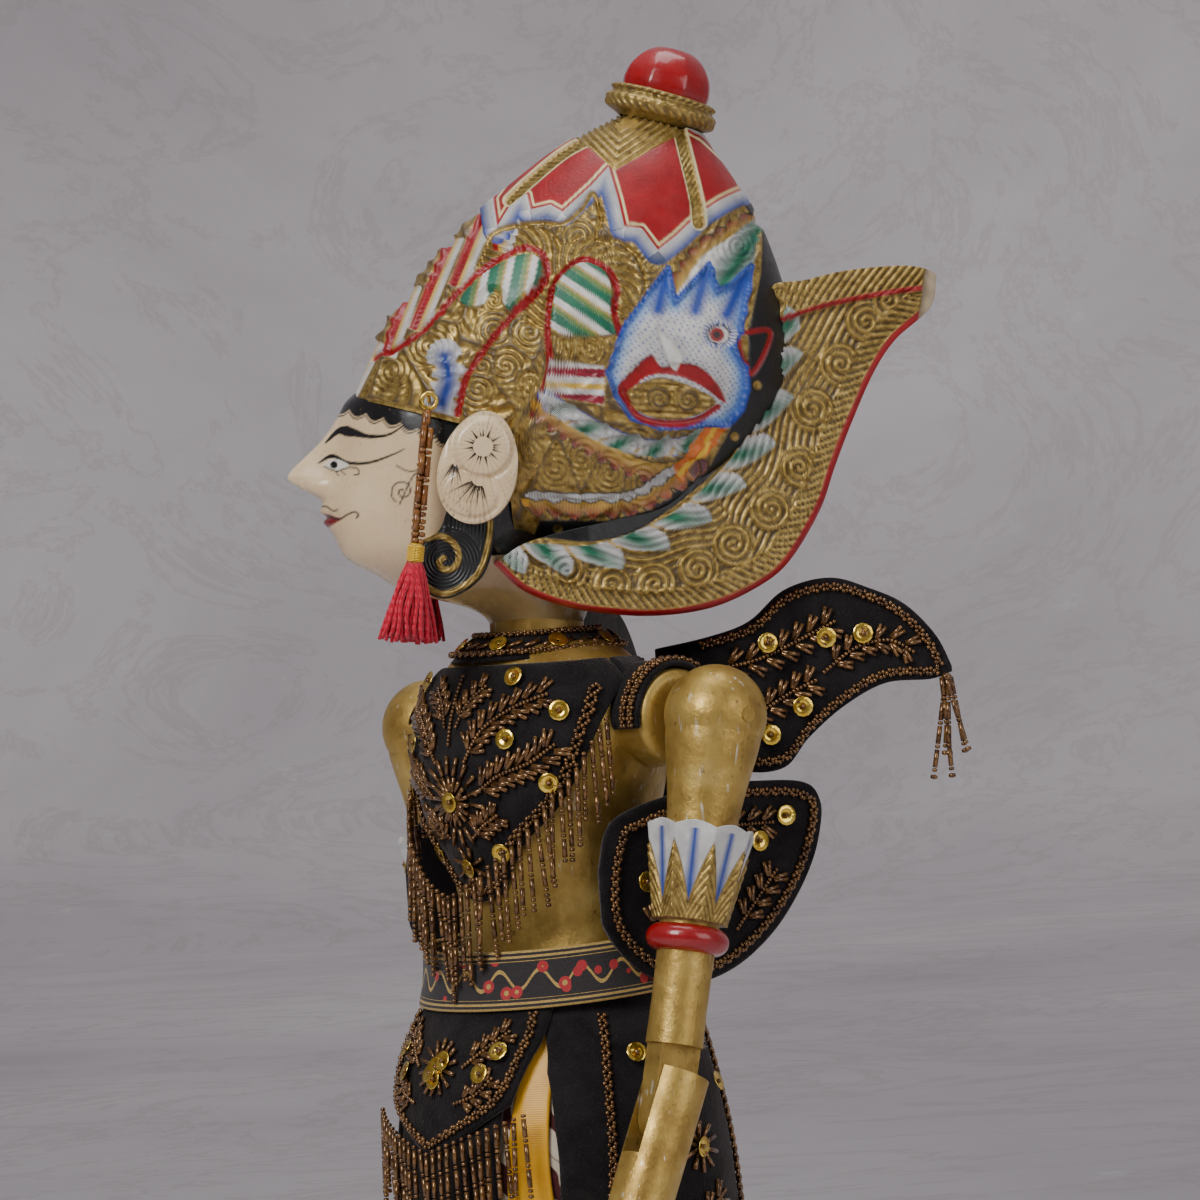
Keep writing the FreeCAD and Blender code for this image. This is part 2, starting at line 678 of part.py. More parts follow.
# ---- arms, built hanging straight down from a pivot at the frame's origin --------
def upper_arm():
    """Shoulder cap, arm and elbow tongue."""
    cap = Part.makeSphere(CAP_R)
    cap = cap.common(Part.makeBox(60, 60, 60, V(-CAP_R, -30, -30)))
    profile = [(ARM_R + 0.2, -UPPER_ARM + TONGUE_TOP), (ARM_R, -95.0),
               (ARM_R + 0.6, -72.0), (11.5, -45.0), (14.0, -22.0), (16.4, -6.0),
               (15.0, 7.0)]
    tongue_low = -UPPER_ARM
    tongue = Part.makeBox(
        TONGUE_THICK, 2 * TONGUE_HALF_WIDTH, TONGUE_TOP + 4.0,
        V(-TONGUE_THICK / 2, -TONGUE_HALF_WIDTH, tongue_low),
    )
    end = x_rod(TONGUE_HALF_WIDTH, -TONGUE_THICK / 2, TONGUE_THICK / 2, 0, tongue_low)
    arm = joined([cap, lathe(profile), tongue, end])
    arm = arm.common(Part.makeBox(80, 80, 260, V(-CAP_R, -40, -220)))
    cord_hole = x_rod(CORD_R + CORD_CLEARANCE, -40, 40)
    plug_hole = x_rod(PLUG_R, CAP_R - PLUG_DEPTH - 2 * KNOT_R - 1.0, 60)
    pin_hole = x_rod(ELBOW_PIN_R + PIN_CLEARANCE, -40, 40, 0, tongue_low)
    return arm.cut(cord_hole).cut(plug_hole).cut(pin_hole)


def shoulder_plug():
    """The plug over the cord's knot, a little proud of the arm."""
    return x_rod(PLUG_R, CAP_R - PLUG_DEPTH, CAP_R + 0.3)


def armlet():
    """The flared, petalled cup round the upper arm."""
    sides = 8
    rings = []
    for level, radius in ((-CUP_TOP, CUP_TOP_R), (-CUP_TOP - 9.0, 17.2), (-CUP_BOTTOM, CUP_BOTTOM_R)):
        step = 2 * math.pi / sides
        corners = [
            V(radius * math.cos(step * (i + 0.5)), radius * math.sin(step * (i + 0.5)), level)
            for i in range(sides)
        ]
        rings.append(Part.makePolygon([*corners, corners[0]]))
    cup = Part.makeLoft(rings, True, True)
    hollow = Part.makeCone(ARM_R + 1.5, CUP_TOP_R - CUP_WALL, 14.0, V(0, 0, -CUP_TOP - 13.5))
    return cup.cut(hollow).cut(upper_arm()).cut(armlet_ring())


def armlet_ring():
    """The red ring below the cup."""
    ring = Part.makeTorus(ARMLET_RING_R, ARMLET_RING_THICK, V(0, 0, -ARMLET_RING_AT))
    return ring.cut(upper_arm())


def forearm():
    """Fork, forearm and hand, carved in one piece."""
    fork = Part.makeCylinder(FOREARM_R, FORK_TOP + 1.0, V(0, 0, -1.0))
    profile = [(WRIST_R, -WRIST_AT), (9.4, -70.0), (10.6, -35.0), (FOREARM_R, 0.0)]
    palm_rows = [(-WRIST_AT - 38.0, 0.0, 11.0, PALM_HALF - 0.6),
                 (-WRIST_AT - 22.0, 0.0, 12.5, PALM_HALF),
                 (-WRIST_AT - 8.0, 0.0, 9.0, 6.6), (-WRIST_AT + 2.0, 0.0, 7.6, 7.6)]
    fingers = []
    for i in range(4):
        y = -8.4 + 5.6 * i
        knuckle = V(0, y, -WRIST_AT - 36.0)
        middle = knuckle + V(-1.5, y * 0.05, -14.0 + abs(y) * 0.3)
        tip = middle + V(-3.5, 0, -10.0 + abs(y) * 0.35)
        fingers += [capsule(knuckle, middle, 3.0, 2.7), capsule(middle, tip, 2.7, 2.1)]
    thumb = [
        capsule(V(0, -9.0, -WRIST_AT - 14.0), V(-1.0, -15.5, -WRIST_AT - 27.0), 3.4, 2.9),
        capsule(V(-1.0, -15.5, -WRIST_AT - 27.0), V(-2.0, -17.5, -WRIST_AT - 37.0), 2.9, 2.2),
    ]
    limb = joined([fork, lathe(profile), skin(palm_rows), *fingers, *thumb])
    width = TONGUE_THICK + 2 * FORK_CLEARANCE
    slot = Part.makeBox(width, 60, FORK_TOP + FORK_FLOOR + 5.0, V(-width / 2, -30, -FORK_FLOOR))
    palm_hole = x_rod(HAND_CORD_R + PALM_CLEARANCE, -40, 40, 0, -WRIST_AT - PALM_AT)
    return limb.cut(slot).cut(x_rod(ELBOW_PIN_R, -40, 40)).cut(palm_hole)


def elbow_pin():
    """The pin across the fork."""
    return x_rod(ELBOW_PIN_R, -FOREARM_R + 0.2, FOREARM_R - 0.2)


def bracelet():
    """The turned cuff above the wrist."""
    profile = [(12.2, -WRIST_AT + 1.0), (10.4, -WRIST_AT + 6.0), (11.0, -WRIST_AT + 12.0),
               (10.0, -WRIST_AT + 16.0)]
    return lathe(profile).cut(forearm())


def hand_cord(at):
    """The short cord through the palm and the arm rod's eye, with a knot at each end."""
    low = at.x - PALM_HALF - HAND_KNOT_R
    high = at.x + ROD_X + ROD_R + HAND_KNOT_R
    cord = x_rod(HAND_CORD_R, low, high, at.y, at.z)
    knots = [Part.makeSphere(HAND_KNOT_R, V(x, at.y, at.z)) for x in (low, high)]
    return joined([cord, *knots])


def arm_rod(at):
    """The thin control rod, hanging plumb by its eye beside the palm."""
    low = ROD_HEAD - ROD_LENGTH
    profile = [(ROD_R - 0.9, low), (ROD_R, low * 0.85), (ROD_R, low * 0.3), (ROD_R, 0.0),
               (ROD_R - 0.8, ROD_HEAD)]
    eye = x_rod(HAND_CORD_R + EYE_CLEARANCE, -2 * ROD_R, 2 * ROD_R)
    rod = lathe(profile).cut(eye)
    rod.translate(at + V(ROD_X, 0, 0))
    return rod


class Arm:
    """One arm at its rest angles. side is 1 for the left and -1 for the right."""

    def __init__(self, side, rest):
        self.side = side
        self.upper, self.fore = rest
        self.shoulder = V(ARM_X, SHOULDER_Y, NECK_Z + SHOULDER_LEVEL)
        self.elbow = self.shoulder + self.reach(UPPER_ARM, self.upper)
        self.palm = self.elbow + self.reach(WRIST_AT + PALM_AT, self.fore)

    @staticmethod
    def reach(length, forward):
        """The vector down an arm that is leaned forward by an angle."""
        lean = math.radians(forward)
        return V(0, -length * math.sin(lean), -length * math.cos(lean))

    def placed(self, shape, pivot, forward):
        """A piece built hanging down, leaned forward and moved to its pivot."""
        moved = shape.copy()
        moved.rotate(V(0, 0, 0), X_AXIS, -forward)
        moved.translate(pivot)
        return moved if self.side > 0 else mirrored(moved)

    def pieces(self):
        """Every node of this arm, by name."""
        name = "left_" if self.side > 0 else "right_"
        upper = {
            "upper_arm": upper_arm(),
            "shoulder_plug": shoulder_plug(),
            "armlet": armlet(),
            "armlet_ring": armlet_ring(),
        }
        fore = {"forearm": forearm(), "elbow_pin": elbow_pin(), "bracelet": bracelet()}
        found = {
            name + k: self.placed(s, self.shoulder, self.upper) for k, s in upper.items()
        }
        found.update(
            {name + k: self.placed(s, self.elbow, self.fore) for k, s in fore.items()}
        )
        for key, shape in (("hand_cord", hand_cord(self.palm)), ("arm_rod", arm_rod(self.palm))):
            found[name + key] = shape if self.side > 0 else mirrored(shape)
        return found


# ---- the whole puppet -----------------------------------------------------------
def head_pieces():
    """The rod, the head and all that is fixed to them."""
    head = head_block()
    crown_solid = crown(head)
    ear_solid = ear(head, crown_solid)
    curl = hair_curl(crown_solid, ear_solid)
    hook = tassel_hook(crown_solid)
    ring = lathe([(r, z) for r, z in FINIAL_RING])
    bud = lathe([(r, z) for r, z in FINIAL_BUD] + [(0.0, FINIAL_HEIGHT)])
    local = {
        "head_block": head,
        "head_peg": head_peg(),
        "crown": crown_solid,
        "crest": crest(head, crown_solid, [ear_solid, curl]),
        "finial_ring": on_crown(moved_up(ring, FINIAL_AT)),
        "finial_bud": on_crown(moved_up(bud, FINIAL_AT)),
    }
    for key, shape in (
        ("ear", ear_solid), ("hair_curl", curl), ("tassel_hook", hook),
        ("tassel_beads", tassel_beads()), ("tassel_knot", tassel_knot()),
        ("tassel_yarn", tassel_yarn()),
    ):
        local["left_" + key] = shape
        local["right_" + key] = mirrored(shape)
    found = {name: on_head(shape) for name, shape in local.items()}
    found["control_rod"] = control_rod().cut(on_head(head_peg()))
    found["torso_stop"] = torso_stop()
    return found


def moved_up(shape, height):
    """A copy of a piece, raised."""
    moved = shape.copy()
    moved.translate(V(0, 0, height))
    return moved


def torso_pieces():
    """The trunk and the costume."""
    local = {
        "torso_block": torso_block(),
        "shoulder_cord": shoulder_cord(),
        "collar": collar(),
        "bib": bib(),
        "bib_fringe": bib_fringe(),
        "cape": cape(),
        "sarong": sarong(),
        "belt": belt(),
        "lower_apron": lower_apron(),
        "upper_apron": upper_apron(),
        "apron_fringe": apron_fringe(),
    }
    for key, shape in (
        ("wing", wing()), ("wing_lobe", lobe()), ("wing_tassel", wing_tassel()),
        ("hip_panel", hip_panel()), ("sash", sash()),
    ):
        local["left_" + key] = shape
        local["right_" + key] = mirrored(shape)
    return {name: lifted(shape) for name, shape in local.items()}


def main():
    """Builds every node and writes its STEP file."""
    os.makedirs("parts", exist_ok=True)
    found = {**head_pieces(), **torso_pieces()}
    for side, rest in ((1, LEFT_REST), (-1, RIGHT_REST)):
        found.update(Arm(side, rest).pieces())
    for name, shape in sorted(found.items()):
        solids = shape.Solids
        if not solids:
            raise ValueError(f"{name} has no solid")
        out = solids[0] if len(solids) == 1 else Part.makeCompound(solids)
        out.exportStep(f"parts/{name}.step")
        box = out.BoundBox
        print(f"{name}: {len(solids)} solid, valid {out.isValid()}, "
              f"{out.Volume / 1000:.2f} cm3, {box.XLength:.0f} x {box.YLength:.0f} x {box.ZLength:.0f}")


main()
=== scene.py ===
"""The looks of a carved rod puppet with a crowned head and a beaded velvet costume.

Shapes are worked out in millimetres, in the frame of the head or of the trunk, and
are put into the mesh in metres. A shape is a grid of two parameters. Carving is a
height added along the grid's normals, and paint is a colour held by each vertex.
"""

import logging
import math
from dataclasses import dataclass
from enum import Enum
from typing import Callable, Sequence

import bpy
import numpy as np
from mathutils import Matrix, Vector


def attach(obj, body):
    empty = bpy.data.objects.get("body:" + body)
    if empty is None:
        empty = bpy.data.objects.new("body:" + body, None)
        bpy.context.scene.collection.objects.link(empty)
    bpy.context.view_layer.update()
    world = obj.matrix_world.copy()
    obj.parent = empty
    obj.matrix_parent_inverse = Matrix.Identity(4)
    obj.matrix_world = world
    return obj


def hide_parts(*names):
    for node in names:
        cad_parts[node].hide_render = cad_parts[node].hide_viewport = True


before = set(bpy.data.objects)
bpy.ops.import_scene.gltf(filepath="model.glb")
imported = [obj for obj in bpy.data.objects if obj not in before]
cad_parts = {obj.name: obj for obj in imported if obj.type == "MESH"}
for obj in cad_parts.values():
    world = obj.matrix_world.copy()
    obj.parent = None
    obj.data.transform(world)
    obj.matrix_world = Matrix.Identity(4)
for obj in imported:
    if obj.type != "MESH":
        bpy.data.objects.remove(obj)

Array = np.ndarray
Curve = Sequence[tuple[float, float]]
Colour = tuple[float, float, float]
Piece = bpy.types.Object
Material = bpy.types.Material
Socket = bpy.types.NodeSocket

LOG = logging.getLogger("puppet")
MM = 0.001
NECK_Z = 607.0
HEAD_TURN = math.radians(-38.0)
SHOULDER_AT = (82.0, 11.0, -33.0)
GOLDEN_ANGLE = 2.399963
FAR = 1e3
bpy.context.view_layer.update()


# ---- plane geometry -------------------------------------------------------------
def smooth(points: Curve, steps: int = 8, closed: bool = False) -> Array:
    """Carries a smooth line through points, as Catmull-Rom cubics.

    Args:
        points: the points that the line goes through.
        steps: the pieces between one point and the next.
        closed: whether the line comes back to its start.

    Returns:
        The line's points, one row each.
    """
    knots = np.asarray(points, float)
    if closed:
        knots = np.vstack([knots[-1:], knots, knots[:2]])
    else:
        knots = np.vstack([2 * knots[0] - knots[1], knots, 2 * knots[-1] - knots[-2]])
    p0, p1, p2, p3 = knots[:-3], knots[1:-2], knots[2:-1], knots[3:]
    t = (np.arange(steps) / steps)[None, :, None]
    cubic = (2 * p1[:, None] + (p2 - p0)[:, None] * t + (2 * p0 - 5 * p1 + 4 * p2 - p3)[:, None] * t**2
        + (3 * p1 - p0 - 3 * p2 + p3)[:, None] * t**3) / 2
    return np.vstack([cubic.reshape(-1, knots.shape[1]), p2[-1:]])


def along(line: Array, count: int) -> Array:
    """Spaces points evenly along a line, from its start to its end."""
    runs = np.concatenate([[0.0], np.cumsum(np.linalg.norm(np.diff(line, axis=0), axis=1))])
    at = np.linspace(0, runs[-1], count)
    return np.stack([np.interp(at, runs, line[:, k]) for k in range(line.shape[1])], 1)


def length(line: Array) -> float:
    """Gives a line's length."""
    return float(np.linalg.norm(np.diff(line, axis=0), axis=1).sum())


@dataclass
class Near:
    """Where points lie beside a line: how far, on which side and how far along."""

    gap: Array
    side: Array
    run: Array


def near(points: Array, line: Array, reach: float = 30.0) -> Near:
    """Measures points against a line, leaving those beyond its reach far away.

    Args:
        points: rows of plane coordinates.
        line: the line's points.
        reach: how far from the line's box a point is still measured.

    Returns:
        The gap, the side (positive on the left of the line) and the run of each point.
    """
    result = Near(np.full(len(points), FAR), np.ones(len(points)), np.zeros(len(points)))
    low, high = line.min(0) - reach, line.max(0) + reach
    chosen = np.flatnonzero(((points > low) & (points < high)).all(1))
    if not len(chosen):
        return result
    inside = points[chosen]
    gap, side, run = np.full(len(chosen), FAR), np.ones(len(chosen)), np.zeros(len(chosen))
    start = 0.0
    for first, last in zip(line[:-1], line[1:]):
        step = last - first
        size = float(np.hypot(*step))
        if size < 1e-9:
            continue
        offset = inside - first
        share = np.clip(offset @ step / size**2, 0, 1)
        away = offset - share[:, None] * step
        distance = np.hypot(away[:, 0], away[:, 1])
        closer = distance < gap
        gap[closer] = distance[closer]
        turn = step[0] * offset[:, 1] - step[1] * offset[:, 0]
        side[closer] = np.sign(turn[closer])
        run[closer] = start + share[closer] * size
        start += size
    result.gap[chosen], result.side[chosen], result.run[chosen] = gap, side, run
    return result


def depth(points: Array, outline: Array) -> Array:
    """Gives how deep points lie inside a closed outline. It is negative outside."""
    ring = np.vstack([outline, outline[:1]])
    found = near(points, ring)
    x, y = points[:, 0], points[:, 1]
    inside = np.zeros(len(points), bool)
    for (x0, y0), (x1, y1) in zip(ring[:-1], ring[1:]):
        crosses = (y0 > y) != (y1 > y)
        if y1 != y0:
            inside ^= crosses & (x < (x1 - x0) * (y - y0) / (y1 - y0) + x0)
    return np.where(inside, found.gap, -found.gap)


def step(value: Array, width: float = 0.5) -> Array:
    """Goes smoothly from 0 to 1 as a value rises through zero within a width."""
    share = np.clip(value / width + 0.5, 0, 1)
    return share * share * (3 - 2 * share)


def wave(value: Array) -> Array:
    """A cosine wave between 0 and 1, whose crests stand at whole numbers."""
    return 0.5 + 0.5 * np.cos(2 * math.pi * value)


def hermite(knots: Array, values: Array, at: Array) -> Array:
    """Reads a table smoothly, with cubics whose slopes are the table's own."""
    slopes = np.gradient(values, knots)
    place = np.clip(np.searchsorted(knots, at) - 1, 0, len(knots) - 2)
    gap = knots[place + 1] - knots[place]
    t = np.clip((at - knots[place]) / gap, 0, 1)
    low, high = values[place], values[place + 1]
    rise, fall = slopes[place] * gap, slopes[place + 1] * gap
    return ((2 * t**3 - 3 * t**2 + 1) * low + (t**3 - 2 * t**2 + t) * rise + (3 * t**2 - 2 * t**3) * high
        + (t**3 - t**2) * fall)


# ---- solids as grids ------------------------------------------------------------
@dataclass(frozen=True)
class Ovals:
    """A stack of ovals: level, backward offset, half depth and half width."""

    rows: tuple[tuple[float, float, float, float], ...]

    def at(self, turn: Array, level: Array, grow: float | Array = 0.0) -> Array:
        """Gives points of the stack's side.

        The oval at a level is (half width * sin, offset - half depth * cos) of the turn,
        and the turn is 0 in front and a quarter circle on the left.

        Args:
            turn: angles about the stack's axis.
            level: heights.
            grow: how far the ovals are widened.

        Returns:
            Points, with x, y and z in the last axis.
        """
        table = np.array(sorted(self.rows))
        offset, deep, wide = (hermite(table[:, 0], table[:, k], level) for k in (1, 2, 3))
        x = (wide + grow) * np.sin(turn)
        y = offset - (deep + grow) * np.cos(turn)
        return np.stack([x, y, level + np.zeros_like(x)], -1)


def round_axis(radius: Array | float, angle: Array, level: Array | float) -> Array:
    """Gives points round an upright axis: radius * cos, radius * sin and the level."""
    x = radius * np.cos(angle)
    return np.stack([x, radius * np.sin(angle), level + np.zeros_like(x)], -1)


def normals(points: Array) -> Array:
    """Gives a grid's unit normals: the turn direction crossed with the rise."""
    across = np.gradient(points, axis=0)
    up = np.gradient(points, axis=1)
    normal = np.cross(across, up)
    return normal / np.maximum(np.linalg.norm(normal, axis=-1, keepdims=True), 1e-9)


def blurred(field: Array, reach: int) -> Array:
    """Averages a grid's values over a square of neighbours."""
    size = 2 * reach + 1
    for axis in (0, 1):
        padded = np.pad(field, [(reach, reach) if k == axis else (0, 0) for k in (0, 1)], "edge")
        total = np.cumsum(np.insert(padded, 0, 0, axis), axis)
        upper = np.take(total, range(size, total.shape[axis]), axis)
        lower = np.take(total, range(total.shape[axis] - size), axis)
        field = (upper - lower) / size
    return field


def in_head(points: Array) -> Array:
    """Moves points from the head's frame, turned and lifted, into the puppet's, in metres."""
    c, s = math.cos(HEAD_TURN), math.sin(HEAD_TURN)
    x, y, z = points[..., 0], points[..., 1], points[..., 2]
    return np.stack([c * x - s * y, s * x + c * y, z + NECK_Z], -1) * MM


def in_trunk(points: Array) -> Array:
    """Moves points from the trunk's frame into the puppet's, in metres."""
    return (points + np.array([0, 0, NECK_Z])) * MM


def quads(columns: int, rows: int, wrap: bool = False) -> Array:
    """Gives the corner numbers of a grid's faces. wrap joins the last column to the first."""
    u = np.arange(columns if wrap else columns - 1)
    v = np.arange(rows - 1)
    u, v = np.meshgrid(u, v, indexing="ij")
    after = (u + 1) % columns
    corners = [u * rows + v, after * rows + v, after * rows + v + 1, u * rows + v + 1]
    return np.stack(corners, -1).reshape(-1, 4)


def make_mesh(name: str, points: Array, faces: Array, smooth_faces: bool = True) -> Piece:
    """Puts points in metres and faces into a new object at the origin.

    Args:
        name: the piece's name.
        points: rows of coordinates.
        faces: rows of corner numbers, all with the same count of corners.
        smooth_faces: whether light runs smoothly over the faces.

    Returns:
        The object, linked to the scene.
    """
    mesh = bpy.data.meshes.new(name)
    corners = faces.shape[1]
    mesh.vertices.add(len(points))
    mesh.vertices.foreach_set("co", np.ascontiguousarray(points, np.float32).ravel())
    mesh.loops.add(faces.size)
    mesh.loops.foreach_set("vertex_index", faces.astype(np.int32).ravel())
    mesh.polygons.add(len(faces))
    mesh.polygons.foreach_set("loop_start", np.arange(0, faces.size, corners, dtype=np.int32))
    mesh.polygons.foreach_set("use_smooth", np.full(len(faces), smooth_faces))
    mesh.update(calc_edges=True)
    mesh.validate()
    piece = bpy.data.objects.new(name, mesh)
    bpy.context.scene.collection.objects.link(piece)
    return piece


def give(piece: Piece, name: str, values: Array) -> None:
    """Gives a piece a number or a colour for each vertex."""
    if values.ndim == 1:
        layer = piece.data.attributes.new(name, "FLOAT", "POINT")
        layer.data.foreach_set("value", values.astype(np.float32))
        return
    layer = piece.data.color_attributes.new(name, "FLOAT_COLOR", "POINT")
    full = np.hstack([values, np.ones((len(values), 1))])
    layer.data.foreach_set("color", full.astype(np.float32).ravel())


def finish(piece: Piece, body: str, material: Material, slot: str, *nodes: str) -> Piece:
    """Dresses a piece, hangs it on its body and lets it stand for CAD nodes.

    Args:
        piece: the object.
        body: the body that it moves with.
        material: its finish.
        slot: its material slot's name; it is not used.
        *nodes: CAD nodes that it stands for.

    Returns:
        The same piece.
    """
    piece.data.materials.append(material)
    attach(piece, body)
    if nodes:
        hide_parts(*nodes)
    LOG.info("%s: %d faces", piece.name, len(piece.data.polygons))
    return piece


# ---- carving --------------------------------------------------------------------
class Tone(Enum):
    """The painter's colours."""

    GOLD = (0.30, 0.20, 0.050)
    BLACK = (0.006, 0.006, 0.007)
    WHITE = (0.80, 0.78, 0.72)
    BLUE = (0.008, 0.055, 0.40)
    SKY = (0.22, 0.45, 0.80)
    GREEN = (0.006, 0.22, 0.06)
    LEAF = (0.22, 0.36, 0.03)
    YELLOW = (0.80, 0.50, 0.04)
    PALE = (0.80, 0.70, 0.36)
    ORANGE = (0.70, 0.17, 0.02)
    RED = (0.33, 0.003, 0.006)
    CREAM = (0.77, 0.60, 0.38)


class Carving:
    """Relief and paint worked out over a grid, in the side view's plane."""

    def __init__(self, plane: Array, base: Tone = Tone.GOLD) -> None:
        """Starts with bare gold.

        Args:
            plane: the grid's side-view coordinates: backwards and upwards.
            base: the first colour.
        """
        self.shape = plane.shape[:2]
        self.plane = plane.reshape(-1, 2)
        count = len(self.plane)
        self.height = np.zeros(count)
        self.paint = np.tile(np.array(base.value), (count, 1))
        self.gold = np.full(count, float(base is Tone.GOLD))
        self.hatch = np.zeros(count)
        self.run = np.zeros(count)

    def fill(self, inside: Array, tone: Tone, width: float = 0.5) -> Array:
        """Paints where a depth is positive, and gives the paint's share."""
        share = step(inside, width)
        self.paint += share[:, None] * (np.array(tone.value) - self.paint)
        self.gold += share * (float(tone is Tone.GOLD) - self.gold)
        self.hatch *= 1 - share
        return share

    def lay(self, share: Array, height: Array | float) -> None:
        """Brings the relief to a height, as far as the share goes."""
        self.height = self.height * (1 - share) + share * height

    def tint(self, share: Array, tone: Tone) -> None:
        """Washes a colour over what is painted, as strong as the share."""
        share = np.clip(share, 0, 1)
        self.paint += share[:, None] * (np.array(tone.value) - self.paint)

    def strokes(self, share: Array, run: Array) -> None:
        """Adds fine dark brush strokes across a run, as strong as the share."""
        self.run = np.where(share > self.hatch, run, self.run)
        self.hatch = np.maximum(self.hatch, share)

    def line(self, points: Curve, half: float, tone: Tone, lift: float = 0.0, closed: bool = False) -> Near:
        """Paints a line and lifts it as a round bead.

        Args:
            points: the points that it goes through.
            half: half its width.
            tone: its colour.
            lift: how far it stands out.
            closed: whether it is a ring.

        Returns:
            Where the grid lies beside it.
        """
        found = near(self.plane, smooth(points, closed=closed), half + 4.0)
        self.fill(half - found.gap, tone)
        self.height += lift * np.sqrt(np.clip(1 - (found.gap / (half * 1.15)) ** 2, 0, 1))
        return found

    def area(self, points: Curve, tone: Tone, lift: float = 0.0, soft: float = 1.2,
            sharp: bool = False) -> Array:
        """Paints an area and lifts it, with a soft shoulder.

        Args:
            points: its outline.
            tone: its colour.
            lift: how far it stands out.
            soft: the shoulder's width.
            sharp: whether the outline keeps its corners.

        Returns:
            How deep the grid lies in it.
        """
        ring = np.asarray(points, float) if sharp else smooth(points, closed=True)
        inside = depth(self.plane, ring)
        self.fill(inside, tone)
        self.height += lift * step(inside, soft)
        return inside

    def spiral(self, centre: tuple[float, float], radius: float, hand: int = 1, pitch: float = 2.6,
            lift: float = 1.0, turn: float = 0.0) -> None:
        """Carves a volute: the ridge's phase grows with the radius and with the angle.

        Args:
            centre: the volute's eye.
            radius: its size.
            hand: 1 or -1, the way that it winds.
            pitch: from one turn to the next.
            lift: the ridge's height.
            turn: the angle that it starts at.
        """
        away = self.plane - np.asarray(centre)
        reach = np.hypot(away[:, 0], away[:, 1])
        angle = np.arctan2(away[:, 1], away[:, 0]) + turn
        ridge = wave(reach / pitch - hand * angle / (2 * math.pi)) ** 0.8
        inside = step(radius - reach, 1.6)
        dome = np.sqrt(np.clip(1 - (reach / radius) ** 2, 0, 1))
        carved = lift * (ridge + 0.7 * dome)
        self.lay(inside, carved + 0.2)

    def scrolls(self, centres: Curve, pitch: float = 2.4, lift: float = 1.0) -> None:
        """Covers the gold with curling leaves that run round a set of eyes.

        Each place takes the nearest eye. Ridges run round it as an opening spiral, and a
        deep cut parts one eye's leaves from the next.

        Args:
            centres: the eyes.
            pitch: from one ridge to the next.
            lift: the ridges' height.
        """
        best = np.full(len(self.plane), FAR)
        second = np.full(len(self.plane), FAR)
        phase = np.zeros(len(self.plane))
        for index, centre in enumerate(centres):
            away = self.plane - np.asarray(centre)
            reach = np.hypot(away[:, 0], away[:, 1])
            angle = np.arctan2(away[:, 1], away[:, 0])
            hand = 1 if index % 2 else -1
            closer = reach < best
            second = np.where(closer, best, np.minimum(second, reach))
            best = np.where(closer, reach, best)
            fan = np.clip(reach / 7.0 - 0.6, 0, 1)
            curl = reach / pitch - hand * angle / (2 * math.pi)
            leaf = 9 * angle / (2 * math.pi) + hand * reach / 6.5
            value = (1 - fan) * wave(curl) + fan * wave(leaf) ** 0.7
            phase = np.where(closer, value, phase)
        cut = step(second - best - 0.8, 1.6)
        self.height += self.gold * lift * (phase * (0.45 + 0.55 * cut) + 0.5 * cut - 0.6)

    def feathers(self, found: Near, start: float, end: float, pitch: float, slant: float, lift: float,
            mask: Array | float = 1.0) -> None:
        """Carves slanting plump feathers along a line, between two gaps from it."""
        ridge = np.abs(np.cos(math.pi * (found.run + slant * found.gap) / pitch)) ** 0.6
        share = step(found.gap - start) * step(end - found.gap, 1.0) * mask
        self.lay(share, lift * ridge)

    def scallops(self, points: Curve, pitch: float, deep: float, edge: Tone, body: Tone, rim: Tone,
            side: int = 1) -> None:
        """Paints a row of small scallops that hang from a line, shaded towards their rims.

        Args:
            points: the line.
            pitch: one scallop's width.
            deep: how far they hang.
            edge: the thin outline's colour.
            body: their colour at the line.
            rim: their colour at the rim.
            side: 1 or -1, the side of the line that they hang on.
        """
        found = near(self.plane, smooth(points), deep + 6)
        offset = found.gap * found.side * side
        bow = deep * (0.55 + 0.45 * np.abs(np.sin(math.pi * found.run / pitch)))
        inside = np.minimum(bow - offset, offset + 0.6)
        self.fill(inside + 0.7, edge)
        share = self.fill(inside, body)
        self.tint(share * np.clip(offset / deep, 0, 1) ** 1.3, rim)
        self.strokes(share * 0.8, found.run)
        self.height += 0.9 * step(inside, 1.5)

    def leaves(self, points: Curve, pitch: float, deep: float, side: int = 1) -> None:
        """Paints white leaves with green hearts that lean along a line.

        A leaf's edge is a sawtooth of the run, bent so that its tip curls forward.

        Args:
            points: the line that they grow from.
            pitch: one leaf's length along the line.
            deep: how far the tips stand from the line.
            side: 1 or -1, the side that they grow on.
        """
        found = near(self.plane, smooth(points), deep + 6)
        offset = found.gap * found.side * side
        share = ((found.run - 0.9 * offset) / pitch) % 1.0
        edge = deep * (0.22 + 0.78 * np.clip(1 - np.abs(2 * share - 1.1), 0, 1) ** 0.65)
        inside = np.minimum(edge - offset, offset + 0.5)
        paint = self.fill(inside, Tone.WHITE)
        heart = paint * np.clip(1.25 - np.abs(share - 0.5) * 3.6, 0, 1) * np.clip(1.25 - offset / deep, 0, 1)
        self.tint(heart, Tone.GREEN)
        self.tint(paint * np.clip(np.abs(share - 0.05) < 0.06, 0, 1) * 0.8, Tone.YELLOW)
        self.tint(paint * step(0.8 - inside, 0.8) * 0.15, Tone.BLACK)
        self.strokes(paint * 0.75, found.run * 0.8 + offset * 0.9)
        self.height += step(inside, 1.4) * (0.8 + 0.5 * share)

    def grid(self, values: Array) -> Array:
        """Gives values in the grid's own shape."""
        return values.reshape(self.shape)

